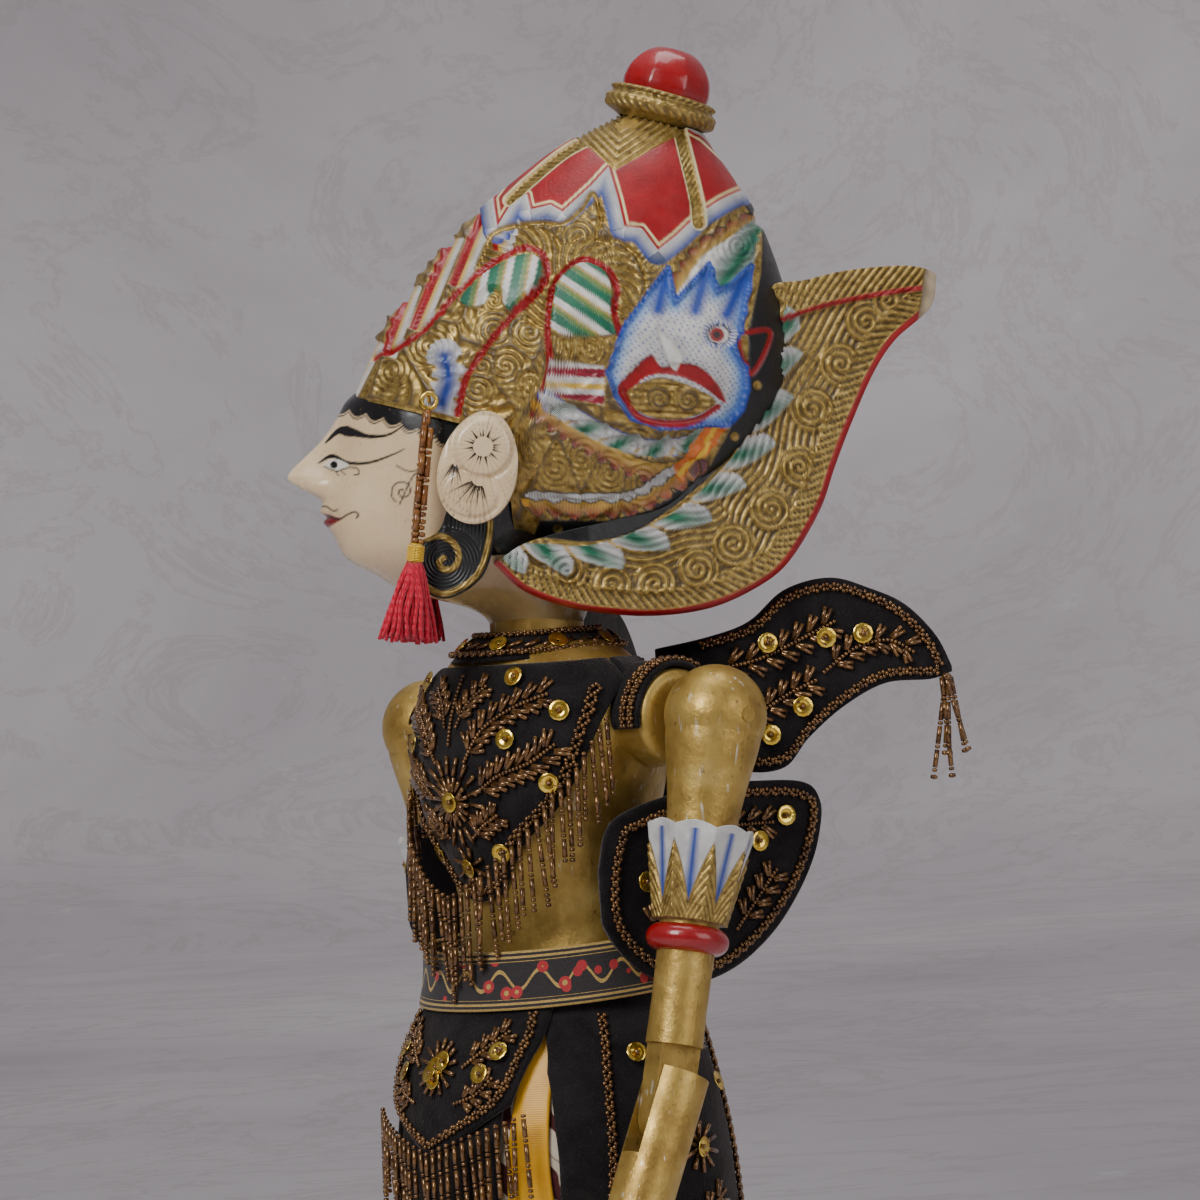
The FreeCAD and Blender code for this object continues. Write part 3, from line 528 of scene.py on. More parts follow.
    def dress(self, piece: Piece, reach: int = 6) -> None:
        """Gives a piece the paint, and painted shade that darkens the carving where it is low."""
        height = self.grid(self.height)
        # Painted shade: the share is high where the relief lies below its blurred surroundings, and it
        # darkens the colour there.
        low = np.clip((blurred(height, reach) - height) / 0.7, 0, 1).ravel()
        give(piece, "paint", self.paint)
        give(piece, "gold", self.gold)
        give(piece, "painted_shade", low)
        give(piece, "hatch", self.hatch)
        give(piece, "run", self.run)


# ---- materials ------------------------------------------------------------------
class Shader:
    """A material under construction, with its node tree and its one surface shader."""

    def __init__(self, name: str, **values: object) -> None:
        """Starts a material.

        Args:
            name: the material's name.
            **values: values for the surface shader's sockets.
        """
        self.material = bpy.data.materials.new(name)
        self.material.use_nodes = True
        self.tree = self.material.node_tree
        self.surface = self.tree.nodes["Principled BSDF"]
        for key, value in values.items():
            self.set(self.surface, key.replace("_", " "), value)

    @staticmethod
    def set(node: bpy.types.Node, socket: str, value: object) -> None:
        """Sets a socket's value. A colour gets its alpha."""
        target = node.inputs[socket]
        if isinstance(value, tuple) and len(value) == 3 and target.type == "RGBA":
            value = (*value, 1.0)
        target.default_value = value

    def link(self, source: Socket, node: bpy.types.Node, socket: str | int) -> None:
        """Joins an output to a node's input."""
        self.tree.links.new(source, node.inputs[socket])

    def object_at(self, scale: tuple[float, float, float] = (1, 1, 1)) -> Socket:
        """Gives object coordinates, scaled."""
        at = self.tree.nodes.new("ShaderNodeTexCoord").outputs["Object"]
        mapping = self.tree.nodes.new("ShaderNodeMapping")
        mapping.inputs["Scale"].default_value = scale
        self.link(at, mapping, "Vector")
        return mapping.outputs["Vector"]

    def attribute(self, name: str, colour: bool = False) -> Socket:
        """Gives an attribute of the mesh."""
        node = self.tree.nodes.new("ShaderNodeAttribute")
        node.attribute_name = name
        return node.outputs["Color" if colour else "Fac"]

    def noise(self, scale: float, detail: float = 4.0, vector: Socket | None = None, roughness: float = 0.6,
            distortion: float = 0.0) -> Socket:
        """Gives cloud noise."""
        node = self.tree.nodes.new("ShaderNodeTexNoise")
        node.inputs["Scale"].default_value = scale
        node.inputs["Detail"].default_value = detail
        node.inputs["Roughness"].default_value = roughness
        node.inputs["Distortion"].default_value = distortion
        self.link(vector or self.object_at(), node, "Vector")
        return node.outputs["Fac"]

    def cells(self, scale: float, vector: Socket | None = None, feature: str = "F1") -> Socket:
        """Gives the distance to the nearest of scattered points."""
        node = self.tree.nodes.new("ShaderNodeTexVoronoi")
        node.feature = feature
        node.inputs["Scale"].default_value = scale
        self.link(vector or self.object_at(), node, "Vector")
        return node.outputs["Distance"]

    def bands(self, scale: float, direction: str, vector: Socket | None = None, distortion: float = 0.0,
            detail: float = 2.0) -> Socket:
        """Gives waves that run along an axis."""
        node = self.tree.nodes.new("ShaderNodeTexWave")
        node.bands_direction = direction
        node.inputs["Scale"].default_value = scale
        node.inputs["Distortion"].default_value = distortion
        node.inputs["Detail"].default_value = detail
        self.link(vector or self.object_at(), node, "Vector")
        return node.outputs["Fac"]

    def ramp(self, factor: Socket, *stops: tuple[float, object]) -> Socket:
        """Turns a factor into colours or, where the stops are numbers, into greys."""
        node = self.tree.nodes.new("ShaderNodeValToRGB")
        elements = node.color_ramp.elements
        while len(elements) < len(stops):
            elements.new(1.0)
        for element, (place, value) in zip(elements, stops):
            element.position = place
            colour = value if isinstance(value, tuple) else (value, value, value)
            element.color = (*colour, 1.0)
        self.link(factor, node, "Fac")
        return node.outputs["Color"]

    def math(self, operation: str, *values: object) -> Socket:
        """Works out a number from sockets and numbers."""
        node = self.tree.nodes.new("ShaderNodeMath")
        node.operation = operation
        for index, value in enumerate(values):
            if isinstance(value, (int, float)):
                node.inputs[index].default_value = value
            else:
                self.link(value, node, index)
        return node.outputs[0]

    def mix(self, factor: object, first: object, second: object, blend: str = "MIX") -> Socket:
        """Mixes two colours, which are sockets or triples."""
        node = self.tree.nodes.new("ShaderNodeMix")
        node.data_type = "RGBA"
        node.blend_type = blend
        for index, value in ((0, factor), (6, first), (7, second)):
            if isinstance(value, (int, float)):
                node.inputs[index].default_value = value
            elif isinstance(value, tuple):
                node.inputs[index].default_value = (*value, 1.0)
            else:
                self.link(value, node, index)
        return node.outputs[2]

    def along_run(self) -> Socket:
        """Gives the run attribute as a vector along X."""
        vector = self.tree.nodes.new("ShaderNodeCombineXYZ")
        self.link(self.attribute("run"), vector, "X")
        return vector.outputs["Vector"]

    def colour(self, source: Socket) -> None:
        """Feeds the base colour."""
        self.link(source, self.surface, "Base Color")

    def rough(self, source: Socket) -> None:
        """Feeds the roughness."""
        self.link(source, self.surface, "Roughness")

    def bump(self, source: Socket, strength: float, distance: float) -> None:
        """Raises fine relief, whose height is the source times the distance in metres."""
        node = self.tree.nodes.new("ShaderNodeBump")
        node.inputs["Strength"].default_value = strength
        node.inputs["Distance"].default_value = distance
        self.link(source, node, "Height")
        if self.surface.inputs["Normal"].is_linked:
            earlier = self.surface.inputs["Normal"].links[0].from_socket
            self.link(earlier, node, "Normal")
        self.link(node.outputs["Normal"], self.surface, "Normal")


def carved_paint() -> Material:
    """Paint and bronze-gold on carved wood, with painted shade darkening the cuts."""
    shader = Shader("carved_paint", Specular_IOR_Level=0.45, Coat_Roughness=0.25, Coat_Weight=0.12)
    paint = shader.attribute("paint", colour=True)
    gold, painted_shade = shader.attribute("gold"), shader.attribute("painted_shade")
    strokes = shader.bands(0.62, "X", shader.along_run())
    hatch = shader.attribute("hatch")
    lines = shader.math("MULTIPLY", hatch, shader.ramp(strokes, (0.35, 0.0), (0.62, 0.85)))
    blotch = shader.ramp(shader.noise(120), (0.3, 0.72), (0.7, 1.12))
    toned = shader.mix(1.0, paint, blotch, "MULTIPLY")
    inked = shader.mix(lines, toned, (0.01, 0.03, 0.10))
    worn = shader.ramp(shader.noise(420, 3), (0.30, (0.17, 0.10, 0.025)), (0.48, (0.36, 0.24, 0.060)),
        (0.75, (0.56, 0.40, 0.13)))
    golden = shader.mix(gold, inked, worn)
    # Painted shade in the cuts: the colour goes towards near-black on paint and dark brown on gold, more
    # strongly on gold, and the gold is less metallic there.
    dark = shader.mix(gold, (0.012, 0.011, 0.014), (0.070, 0.042, 0.016))
    shade_strength = shader.math("MULTIPLY", painted_shade, shader.math("ADD", 0.22, shader.math("MULTIPLY", gold, 0.68)))
    shader.colour(shader.mix(shade_strength, golden, dark))
    bright = shader.math("SUBTRACT", 1.0, painted_shade)
    metal = shader.math("MULTIPLY", gold, shader.math("MULTIPLY", bright, 0.72))
    shader.link(metal, shader.surface, "Metallic")
    grain = shader.ramp(shader.noise(260), (0.3, 0.30), (0.7, 0.50))
    shader.rough(grain)
    shader.bump(shader.noise(900, 3), 0.35, 0.0004)
    return shader.material


def lacquer(name: str) -> Material:
    """Cream lacquer with painted marks held by the mesh, slightly mottled and scuffed."""
    shader = Shader(name, Specular_IOR_Level=0.5, Coat_Weight=0.45, Coat_Roughness=0.12,
        Subsurface_Weight=0.06)
    paint = shader.attribute("paint", colour=True)
    mottle = shader.ramp(shader.noise(35, 5), (0.3, (0.90, 0.84, 0.76)), (0.7, (1.04, 1.02, 1.0)))
    toned = shader.mix(1.0, paint, mottle, "MULTIPLY")
    specks = shader.ramp(shader.noise(700, 2), (0.66, 0.0), (0.74, 0.45))
    shader.colour(shader.mix(specks, toned, (0.30, 0.20, 0.11)))
    shader.rough(shader.ramp(shader.noise(90), (0.3, 0.20), (0.7, 0.36)))
    shader.bump(shader.noise(60, 3), 0.25, 0.0012)
    return shader.material


def worn_gold() -> Material:
    """Gold paint on turned wood, rubbed and scratched down to pale ground."""
    shader = Shader("worn_gold", Metallic=0.62, Specular_IOR_Level=0.5)
    body = shader.ramp(shader.noise(55, 6), (0.30, (0.26, 0.15, 0.030)), (0.52, (0.47, 0.31, 0.075)),
        (0.75, (0.60, 0.43, 0.14)))
    long = shader.object_at((1.0, 1.0, 0.16))
    scratch = shader.ramp(shader.noise(520, 2, long, 0.5), (0.665, 0.0), (0.70, 0.75))
    patches = shader.ramp(shader.noise(26, 3), (0.42, 0.0), (0.60, 1.0))
    marks = shader.math("MULTIPLY", scratch, patches)
    pale = shader.mix(marks, body, (0.80, 0.76, 0.66))
    dark = shader.ramp(shader.noise(300, 4), (0.26, 0.75), (0.38, 0.0))
    shader.colour(shader.mix(dark, pale, (0.10, 0.05, 0.02)))
    shader.rough(shader.ramp(shader.noise(140), (0.3, 0.30), (0.7, 0.52)))
    shader.bump(shader.noise(380, 4), 0.4, 0.0006)
    return shader.material


def gloss(name: str, low: Colour, high: Colour, roughness: float = 0.25, coat: float = 0.5) -> Material:
    """Gloss paint brushed on wood, with a slightly uneven film."""
    shader = Shader(name, Specular_IOR_Level=0.5, Coat_Weight=coat, Coat_Roughness=0.1)
    shader.colour(shader.ramp(shader.noise(90, 5), (0.3, low), (0.7, high)))
    shader.rough(shader.ramp(shader.noise(160), (0.3, roughness * 0.8), (0.7, roughness * 1.4)))
    shader.bump(shader.noise(220, 3), 0.3, 0.0005)
    return shader.material


def wood(name: str, dark: Colour, light: Colour) -> Material:
    """Bare handled wood, whose grain runs upwards."""
    shader = Shader(name, Specular_IOR_Level=0.35)
    grain = shader.noise(70, 6, shader.object_at((1, 1, 0.07)), 0.6, 0.8)
    fine = shader.noise(600, 3, shader.object_at((1, 1, 0.04)))
    base = shader.ramp(grain, (0.32, dark), (0.68, light))
    shader.colour(shader.mix(shader.ramp(fine, (0.35, 0.5), (0.6, 0.0)), base, dark))
    shader.rough(shader.ramp(fine, (0.3, 0.45), (0.7, 0.65)))
    shader.bump(fine, 0.35, 0.0006)
    return shader.material


def velvet() -> Material:
    """Black velvet: a dark pile with a faint sheen and brushed patches."""
    shader = Shader("velvet", Roughness=0.9, Specular_IOR_Level=0.15, Sheen_Weight=0.35,
        Sheen_Roughness=0.35, Sheen_Tint=(0.55, 0.48, 0.46))
    patches = shader.noise(38, 4, None, 0.6, 1.5)
    fuzz = shader.noise(1500, 2)
    base = shader.ramp(patches, (0.30, (0.0055, 0.0045, 0.005)), (0.70, (0.020, 0.017, 0.018)))
    shader.colour(shader.mix(shader.ramp(fuzz, (0.55, 0.0), (0.72, 0.4)), base, (0.05, 0.042, 0.04)))
    shader.bump(fuzz, 0.5, 0.0012)
    shader.bump(shader.noise(70, 3), 0.3, 0.004)
    return shader.material


def satin() -> Material:
    """Yellow satin with a fine weave and soft creases."""
    shader = Shader("satin", Roughness=0.34, Specular_IOR_Level=0.5, Sheen_Weight=0.3, Anisotropic=0.5,
        Sheen_Tint=(1.0, 0.8, 0.35))
    weave = shader.bands(420, "Z")
    base = shader.ramp(shader.noise(30, 4), (0.3, (0.66, 0.30, 0.004)), (0.7, (0.90, 0.50, 0.012)))
    shader.colour(shader.mix(shader.ramp(weave, (0.3, 0.22), (0.7, 0.0)), base, (0.55, 0.22, 0.0)))
    shader.bump(weave, 0.15, 0.0003)
    shader.bump(shader.noise(24, 3, shader.object_at((1, 1, 0.4))), 0.5, 0.006)
    return shader.material


def brocade() -> Material:
    """Black brocade with gold lines and red and gold flowers, on run and rise attributes."""
    shader = Shader("brocade", Specular_IOR_Level=0.4, Sheen_Weight=0.15)
    run, rise = shader.attribute("run"), shader.attribute("rise")
    vector = shader.tree.nodes.new("ShaderNodeCombineXYZ")
    shader.link(run, vector, "X")
    shader.link(rise, vector, "Y")
    plane = vector.outputs["Vector"]
    off = shader.math("ABSOLUTE", shader.math("SUBTRACT", rise, 10.0))
    border = shader.math("GREATER_THAN", off, 6.3)
    stripes = shader.math("GREATER_THAN", shader.math("SINE", shader.math("MULTIPLY", rise, 3.6)), 0.1)
    gold_lines = shader.math("MULTIPLY", border, stripes)
    stem = shader.math("SINE", shader.math("MULTIPLY", run, 0.42))
    swing = shader.math("SUBTRACT", shader.math("SUBTRACT", rise, 10.0), shader.math("MULTIPLY", stem, 3.2))
    vine = shader.math("LESS_THAN", shader.math("ABSOLUTE", swing), 0.7)
    flower = shader.math("LESS_THAN", shader.cells(0.135, plane), 0.30)
    heart = shader.math("LESS_THAN", shader.cells(0.135, plane), 0.13)
    middle = shader.math("SUBTRACT", 1.0, border)
    threads = shader.ramp(shader.noise(2.6, 2, plane), (0.4, (0.30, 0.17, 0.03)), (0.65, (0.72, 0.50, 0.16)))
    ground = shader.ramp(shader.noise(1.2, 3, plane), (0.35, (0.006, 0.005, 0.006)),
        (0.7, (0.03, 0.02, 0.02)))
    reds = shader.ramp(shader.noise(2.0, 2, plane), (0.3, (0.30, 0.01, 0.02)), (0.7, (0.55, 0.03, 0.03)))
    with_vine = shader.mix(shader.math("MULTIPLY", vine, middle), ground, threads)
    with_bloom = shader.mix(shader.math("MULTIPLY", flower, middle), with_vine, reds)
    with_heart = shader.mix(shader.math("MULTIPLY", heart, middle), with_bloom, threads)
    shader.colour(shader.mix(gold_lines, with_heart, threads))
    shader.rough(shader.ramp(shader.noise(3.0, 2, plane), (0.3, 0.35), (0.7, 0.7)))
    shader.bump(shader.noise(3.5, 2, plane), 0.5, 0.0008)
    return shader.material


def batik() -> Material:
    """Cream cotton printed with dark wavy slanting stripes, dots between them and age spots."""
    shader = Shader("batik", Roughness=0.82, Specular_IOR_Level=0.2, Sheen_Weight=0.2)
    run, rise = shader.attribute("run"), shader.attribute("rise")
    slant = shader.math("ADD", run, shader.math("MULTIPLY", rise, 0.75))
    sway = shader.math("MULTIPLY", shader.math("SINE", shader.math("MULTIPLY", rise, 0.5)), 1.5)
    phase = shader.math("MULTIPLY", shader.math("ADD", slant, sway), 0.36)
    stripe = shader.math("SINE", phase)
    fine = shader.math("SINE", shader.math("MULTIPLY", phase, 3.0))
    wide = shader.ramp(stripe, (0.30, 0.0), (0.42, 1.0))
    thin = shader.math("MULTIPLY", shader.ramp(fine, (0.70, 0.0), (0.85, 1.0)), 0.55)
    weave = shader.noise(900, 2)
    cream = shader.ramp(shader.noise(60, 4), (0.3, (0.50, 0.41, 0.29)), (0.7, (0.74, 0.66, 0.52)))
    dark = shader.ramp(shader.noise(200, 3), (0.3, (0.035, 0.008, 0.010)), (0.7, (0.10, 0.020, 0.022)))
    base = shader.mix(thin, cream, (0.16, 0.06, 0.04))
    shader.colour(shader.mix(wide, base, dark))
    shader.bump(weave, 0.3, 0.0004)
    shader.bump(shader.noise(28, 3, shader.object_at((1, 1, 0.35))), 0.5, 0.006)
    return shader.material


def beads(name: str, low: Colour, high: Colour, metallic: float = 0.3, clear: float = 0.0) -> Material:
    """Small lustrous beads, each a little lighter or darker than its neighbour."""
    shader = Shader(name, Metallic=metallic, Roughness=0.16, Specular_IOR_Level=0.6,
        Transmission_Weight=clear, Coat_Weight=0.4, Coat_Roughness=0.06)
    shader.colour(shader.ramp(shader.noise(330, 2), (0.34, low), (0.66, high)))
    shader.bump(shader.noise(500, 2), 0.2, 0.0004)
    return shader.material


def yarn(name: str, low: Colour, high: Colour) -> Material:
    """Twisted yarn: slanting plies with a soft fuzz, on the strand's own run and turn."""
    shader = Shader(name, Roughness=0.88, Specular_IOR_Level=0.2, Sheen_Weight=0.5, Sheen_Tint=(1.0, 0.6,
        0.6))
    run, turn = shader.attribute("run"), shader.attribute("turn")
    plies = shader.math("SINE", shader.math("ADD", shader.math("MULTIPLY", run, 2.2),
        shader.math("MULTIPLY", turn, 3.0)))
    fuzz = shader.noise(1400, 2)
    shade = shader.math("ADD", shader.math("MULTIPLY", plies, 0.25), fuzz)
    shader.colour(shader.ramp(shade, (0.25, low), (0.75, high)))
    shader.bump(shade, 0.6, 0.0008)
    return shader.material


def plain_metal(name: str, low: Colour, high: Colour) -> Material:
    """Bent wire or sheet with slight tarnish."""
    shader = Shader(name, Metallic=1.0)
    shader.colour(shader.ramp(shader.noise(200, 4), (0.3, low), (0.7, high)))
    shader.rough(shader.ramp(shader.noise(300), (0.3, 0.18), (0.7, 0.4)))
    return shader.material


@dataclass(frozen=True)
class Finishes:
    """Every material of the puppet, each made once."""

    carving: Material
    lacquer: Material
    worn_gold: Material
    red_gloss: Material
    brass: Material
    amber: Material
    bronze: Material
    sequin: Material
    yellow_thread: Material
    red_yarn: Material
    cord: Material
    velvet: Material
    brocade: Material
    batik: Material
    satin: Material
    plain_wood: Material
    dark_wood: Material


def make_finishes() -> Finishes:
    """Makes the materials."""
    return Finishes(carving=carved_paint(), lacquer=lacquer("lacquer"), worn_gold=worn_gold(),
        red_gloss=gloss("red_gloss", (0.25, 0.002, 0.004), (0.36, 0.004, 0.007)), brass=plain_metal("brass",
        (0.60, 0.38, 0.05), (0.85, 0.62, 0.16)), amber=beads("amber", (0.20, 0.065, 0.012),
        (0.42, 0.17, 0.035), 0.1, 0.35), bronze=beads("bronze_beads", (0.085, 0.036, 0.010),
        (0.27, 0.135, 0.042), 0.55), sequin=beads("sequin", (0.70, 0.42, 0.03), (0.95, 0.70, 0.12), 0.9),
        yellow_thread=yarn("yellow_thread", (0.55, 0.30, 0.01), (0.85, 0.58, 0.05)),
        red_yarn=yarn("red_yarn", (0.42, 0.003, 0.018), (0.78, 0.02, 0.06)), cord=yarn("cord",
        (0.28, 0.21, 0.13), (0.60, 0.50, 0.36)), velvet=velvet(), brocade=brocade(), batik=batik(),
        satin=satin(), plain_wood=wood("plain_wood", (0.30, 0.17, 0.075), (0.56, 0.38, 0.20)),
        dark_wood=wood("dark_wood", (0.05, 0.022, 0.010), (0.14, 0.07, 0.035)))


# ---- the head -------------------------------------------------------------------
CROWN_AT = (15.0, 60.0)
CROWN_LEAN = math.radians(19.0)
DOME_TOP = 121.0


def on_lean(points: Array) -> Array:
    """Leans points of the crown's own upright frame back and seats them on the head."""
    c, s = math.cos(CROWN_LEAN), math.sin(CROWN_LEAN)
    x, v, w = points[..., 0], points[..., 1], points[..., 2]
    return np.stack([x, CROWN_AT[0] + c * v + s * w, CROWN_AT[1] - s * v + c * w], -1)


@dataclass
class Headdress:
    """The carved crown: a leaning dome with a bird on each side and a plain black nape.

    Attributes:
        dome: ovals in the crown's own frame.
        nape: ovals below the rim, behind the ears.
        columns: grid steps round one half.
        rows: grid steps from the lower edge to the top.
    """

    dome: Ovals = Ovals(((0, -11, 68.5, 47), (20, -5.5, 71, 51.5), (43, 0.5, 69.5, 52.5), (63, 2.5, 62.5,
        49), (80, 3, 52.5, 43), (93, 3, 43.3, 36.5), (105, 2.6, 33.4, 29), (115, 2, 22.5, 20.5),
        (121, 1.5, 15.5, 15)))
    nape: Ovals = Ovals(((-30, -11, 33, 31), (-24, -11, 50, 36), (-12, -11, 65, 43), (0, -11, 68.5, 47)))
    columns: int = 250
    rows: int = 290

    def half(self) -> Array:
        """Works out the left half's points, in the crown's frame."""
        turn = np.linspace(0, math.pi, self.columns)
        share = np.linspace(0, 1, self.rows)
        behind = np.clip((np.degrees(turn) - 78) / 13, 0, 1)
        lowest = -30.0 * behind * behind * (3 - 2 * behind)
        level = lowest[:, None] + (DOME_TOP - lowest[:, None]) * share[None]
        spread = turn[:, None] + np.zeros_like(level)
        upper = self.dome.at(spread, np.maximum(level, 0))
        lower = self.nape.at(spread, np.minimum(level, 0))
        points = np.where(level[..., None] < 0, lower, upper)
        points[..., 2] = level
        return points

    def carve(self, plane: Array) -> Carving:
        """Carves and paints the dome, in the side view's plane.

        Args:
            plane: backward and upward coordinates of the grid.

        Returns:
            The relief and the paint.
        """
        work = Carving(plane)
        work.scrolls([(-30, 100), (-44, 93), (-12, 92), (5, 102), (-4, 91), (-7, 104), (15, 95), (25, 94),
            (11, 55), (29, 52), (40, 48), (48, 79), (59, 74), (2, 60), (-26, 118), (-6, 136), (10, 143),
            (24, 134), (36, 146), (48, 122), (62, 138), (80, 128), (20, 58), (56, 62), (-14, 84), (-52, 96),
            (38, 60)], 2.1, 1.15)
        self.back(work)
        self.ridges(work)
        self.panels(work)
        self.petals(work)
        self.bands(work)
        self.bird(work)
        return work

    @staticmethod
    def back(work: Carving) -> None:
        """Paints the glossy black back and band, with the band's gold studs."""
        black = [(96, 128), (90, 142), (84, 150), (74, 156), (88, 133), (86, 118), (80, 98), (79, 86),
            (78, 76), (73, 67), (64, 53), (53, 46), (43, 39), (28, 36), (4, 38), (0, 30), (0, 0), (60, -20),
            (140, 40), (140, 128)]
        inside = depth(work.plane, np.array(black, float))
        share = work.fill(inside, Tone.BLACK)
        work.lay(share, -0.2)
        for place in ((82, 79), (73, 62), (61, 46), (44, 37.5), (28, 33), (10, 34.5)):
            gap = np.hypot(*(work.plane - np.array(place)).T)
            dot = work.fill(1.4 - gap, Tone.GOLD)
            work.height += 0.8 * dot
        work.line([(77, 97), (88, 97), (80, 83), (77, 97)], 0.9, Tone.RED, 0.7)

    @staticmethod
    def ridges(work: Carving) -> None:
        """Carves the saw-tooth blades that climb the front, each with a red edge."""
        edges = (((-64, 86), (-51, 107)), ((-48, 99), (-37, 125)), ((-37, 107), (-21, 141)),
            ((-22, 121), (-7, 154)), ((-6, 132), (6, 163)))
        for low, high in edges:
            blade = near(work.plane, np.array([low, high], float), 14)
            offset = blade.gap * -blade.side
            span = length(np.array([low, high], float))
            held = step(blade.run - 0.6, 1.2) * step(span - 0.6 - blade.run, 1.2)
            body = step(offset, 0.6) * step(7.5 - offset, 1.0) * held
            work.lay(body, 2.6 - 0.30 * offset)
            share = work.fill(np.where(held > 0.5, np.minimum(offset - 1.0, 6.0 - offset), -1.0),
                Tone.YELLOW)
            work.tint(share * np.clip(offset / 3.0 - 0.6, 0, 1), Tone.WHITE)
            work.strokes(share * 0.5, blade.run)
            work.fill(np.where(held > 0.5, 1.1 - blade.gap, -1.0), Tone.RED)
            work.height += 1.1 * step(1.1 - blade.gap, 0.8) * held

    @staticmethod
    def panels(work: Carving) -> None:
        """Paints the red panels under the bud, with the blue and white border below them."""
        border = [(-4, 140), (2, 149), (7, 151), (8, 145), (15, 146), (19, 143), (30, 152), (36, 158),
            (38.5, 146), (40, 136), (46, 135), (51, 127), (58, 132), (66, 139), (74, 144), (84, 149),
            (80, 158), (70, 168), (54, 176), (38, 180), (20, 176), (5, 166), (-5, 152)]
        plane = work.plane
        red = np.array(border, float)
        inside = depth(plane, red)
        band = work.fill(inside + 5.2, Tone.WHITE)
        work.lay(band, 0.1)
        work.tint(band * np.clip((-inside - 1.6) / 3.4, 0, 1) ** 0.8, Tone.BLUE)
        rim = near(plane, np.vstack([red, red[:1]]), 8)
        work.strokes(band * 0.9 * step(-inside, 0.6), rim.run * 1.3)
        work.fill(inside, Tone.RED)
        work.height += 0.5 * step(inside, 1.0)
        work.fill(0.40 - np.abs(inside - 1.5), Tone.PALE, 0.4)
        for strip in ([(1, 150), (8, 156), (22, 166), (37, 172)], [(62, 171), (64, 158), (66, 144),
                (66, 136)], [(-2, 158), (9, 166), (24, 174)]):
            found = near(plane, smooth(strip), 6)
            gilt = work.fill(2.0 - found.gap, Tone.GOLD)
            work.height += gilt * (0.7 + 0.7 * np.abs(np.cos(math.pi * (found.run + found.gap * found.side)
                / 2.2)))
            work.fill(0.35 - np.abs(found.gap - 2.4), Tone.PALE, 0.4)
        triangle = np.array([(24, 172), (31, 165), (38, 157), (50, 163), (64, 170), (60, 184), (28, 184)],
            float)
        leaf = depth(plane, triangle)
        gilt = work.fill(leaf, Tone.GOLD)
        fan = near(plane, np.array([(38, 157), (43, 182)], float), 40)
        work.lay(gilt, 0.8 + 1.1 * np.abs(np.cos(math.pi * (fan.run - 0.9 * fan.gap) / 3.0)) ** 0.7)
        eye = 1 - np.hypot((plane[:, 0] - 43.5) / 4.2, (plane[:, 1] - 174.5) / 2.2)
        work.fill(eye * 3, Tone.YELLOW)
        work.strokes(step(eye * 3), plane[:, 0] * 1.4)

    @staticmethod
    def petals(work: Carving) -> None:
        """Paints the striped petals inside their red arches, with fluted gold round them."""
        plane = work.plane
        arch_a = [(-51, 99), (-38, 103), (-27, 111), (-19, 119), (-10, 126), (0, 131), (6, 132), (11, 129),
            (12, 122), (8, 116), (0, 109), (-9, 100), (-18, 88), (-22, 76)]
        arch_b = [(36, 99), (34.5, 107), (36, 115), (33, 122), (26, 126), (20, 124), (14, 118), (12, 110),
            (11, 100), (11, 90), (8, 81), (4, 73)]
        above = [(-12, 128), (-7, 137), (1, 140), (12, 140), (19, 139), (26, 144), (30, 149), (32, 140),
            (30, 133), (38, 131), (44, 125), (46, 116), (44, 109), (38, 100)]
        for arch, top in ((arch_a[1:10], 7.6), (arch_b[:9], 8.2)):
            found = near(plane, smooth(arch), 12)
            limit = depth(plane, smooth(above + [(20, 100), (-14, 112)], closed=True))
            work.feathers(found, 1.4, top, 3.1, 0.8, 2.0, step(limit))
            work.fill(np.where(limit > 0, 0.45 - np.abs(found.gap - top - 0.5), -1.0), Tone.GOLD)
        work.line(above, 0.7, Tone.GOLD, 1.6)
        first = [(-18, 115), (-10, 123), (0, 128), (7, 129), (11, 125.5), (9, 119), (1, 109.5), (-3, 112),
            (-6, 118), (-12, 112)]
        second = [(13, 101), (14, 113), (17, 121), (24, 124.5), (31, 122.5), (34, 116), (34, 107), (34.5, 99)]
        for ring in (first, second):
            inside = depth(plane, smooth(ring, closed=True))
            share = work.fill(inside, Tone.WHITE)
            work.lay(share, -0.8)
            stripe = (plane[:, 0] * 0.62 + plane[:, 1] * 0.78) / 7.5
            if ring is first:
                stripe = (plane[:, 0] * 0.92 - plane[:, 1] * 0.25) / 7.5
            phase = stripe % 1.0
            work.tint(share * step(0.42 - phase, 0.06) * step(phase - 0.02, 0.04), Tone.GREEN)
            work.tint(share * step(phase - 0.42, 0.04) * step(0.62 - phase, 0.05), Tone.LEAF)
            work.tint(share * step(phase - 0.62, 0.04) * step(0.72 - phase, 0.03), Tone.YELLOW)
            work.strokes(share * 0.8 * step(0.72 - phase, 0.1), plane[:, 0] * 0.9 - plane[:, 1] * 0.4)
        puff = near(plane, smooth([(-25, 96), (-24, 88), (-27, 80)]), 8)
        puffs = work.fill(5.0 + 1.4 * np.cos(2 * math.pi * puff.run / 5.5) - puff.gap, Tone.WHITE)
        work.tint(puffs * np.clip(1.1 - puff.gap / 4.0, 0, 1), Tone.BLUE)
        work.strokes(puffs * 0.8, puff.run + puff.gap)
        work.line(arch_a, 1.35, Tone.RED, 1.5)
        work.line(arch_b, 1.35, Tone.RED, 1.5)
        work.spiral((-7, 114.5), 4.2, 1, 2.3, 1.2)
        work.spiral((3.5, 84), 5.0, -1, 2.3, 1.2)

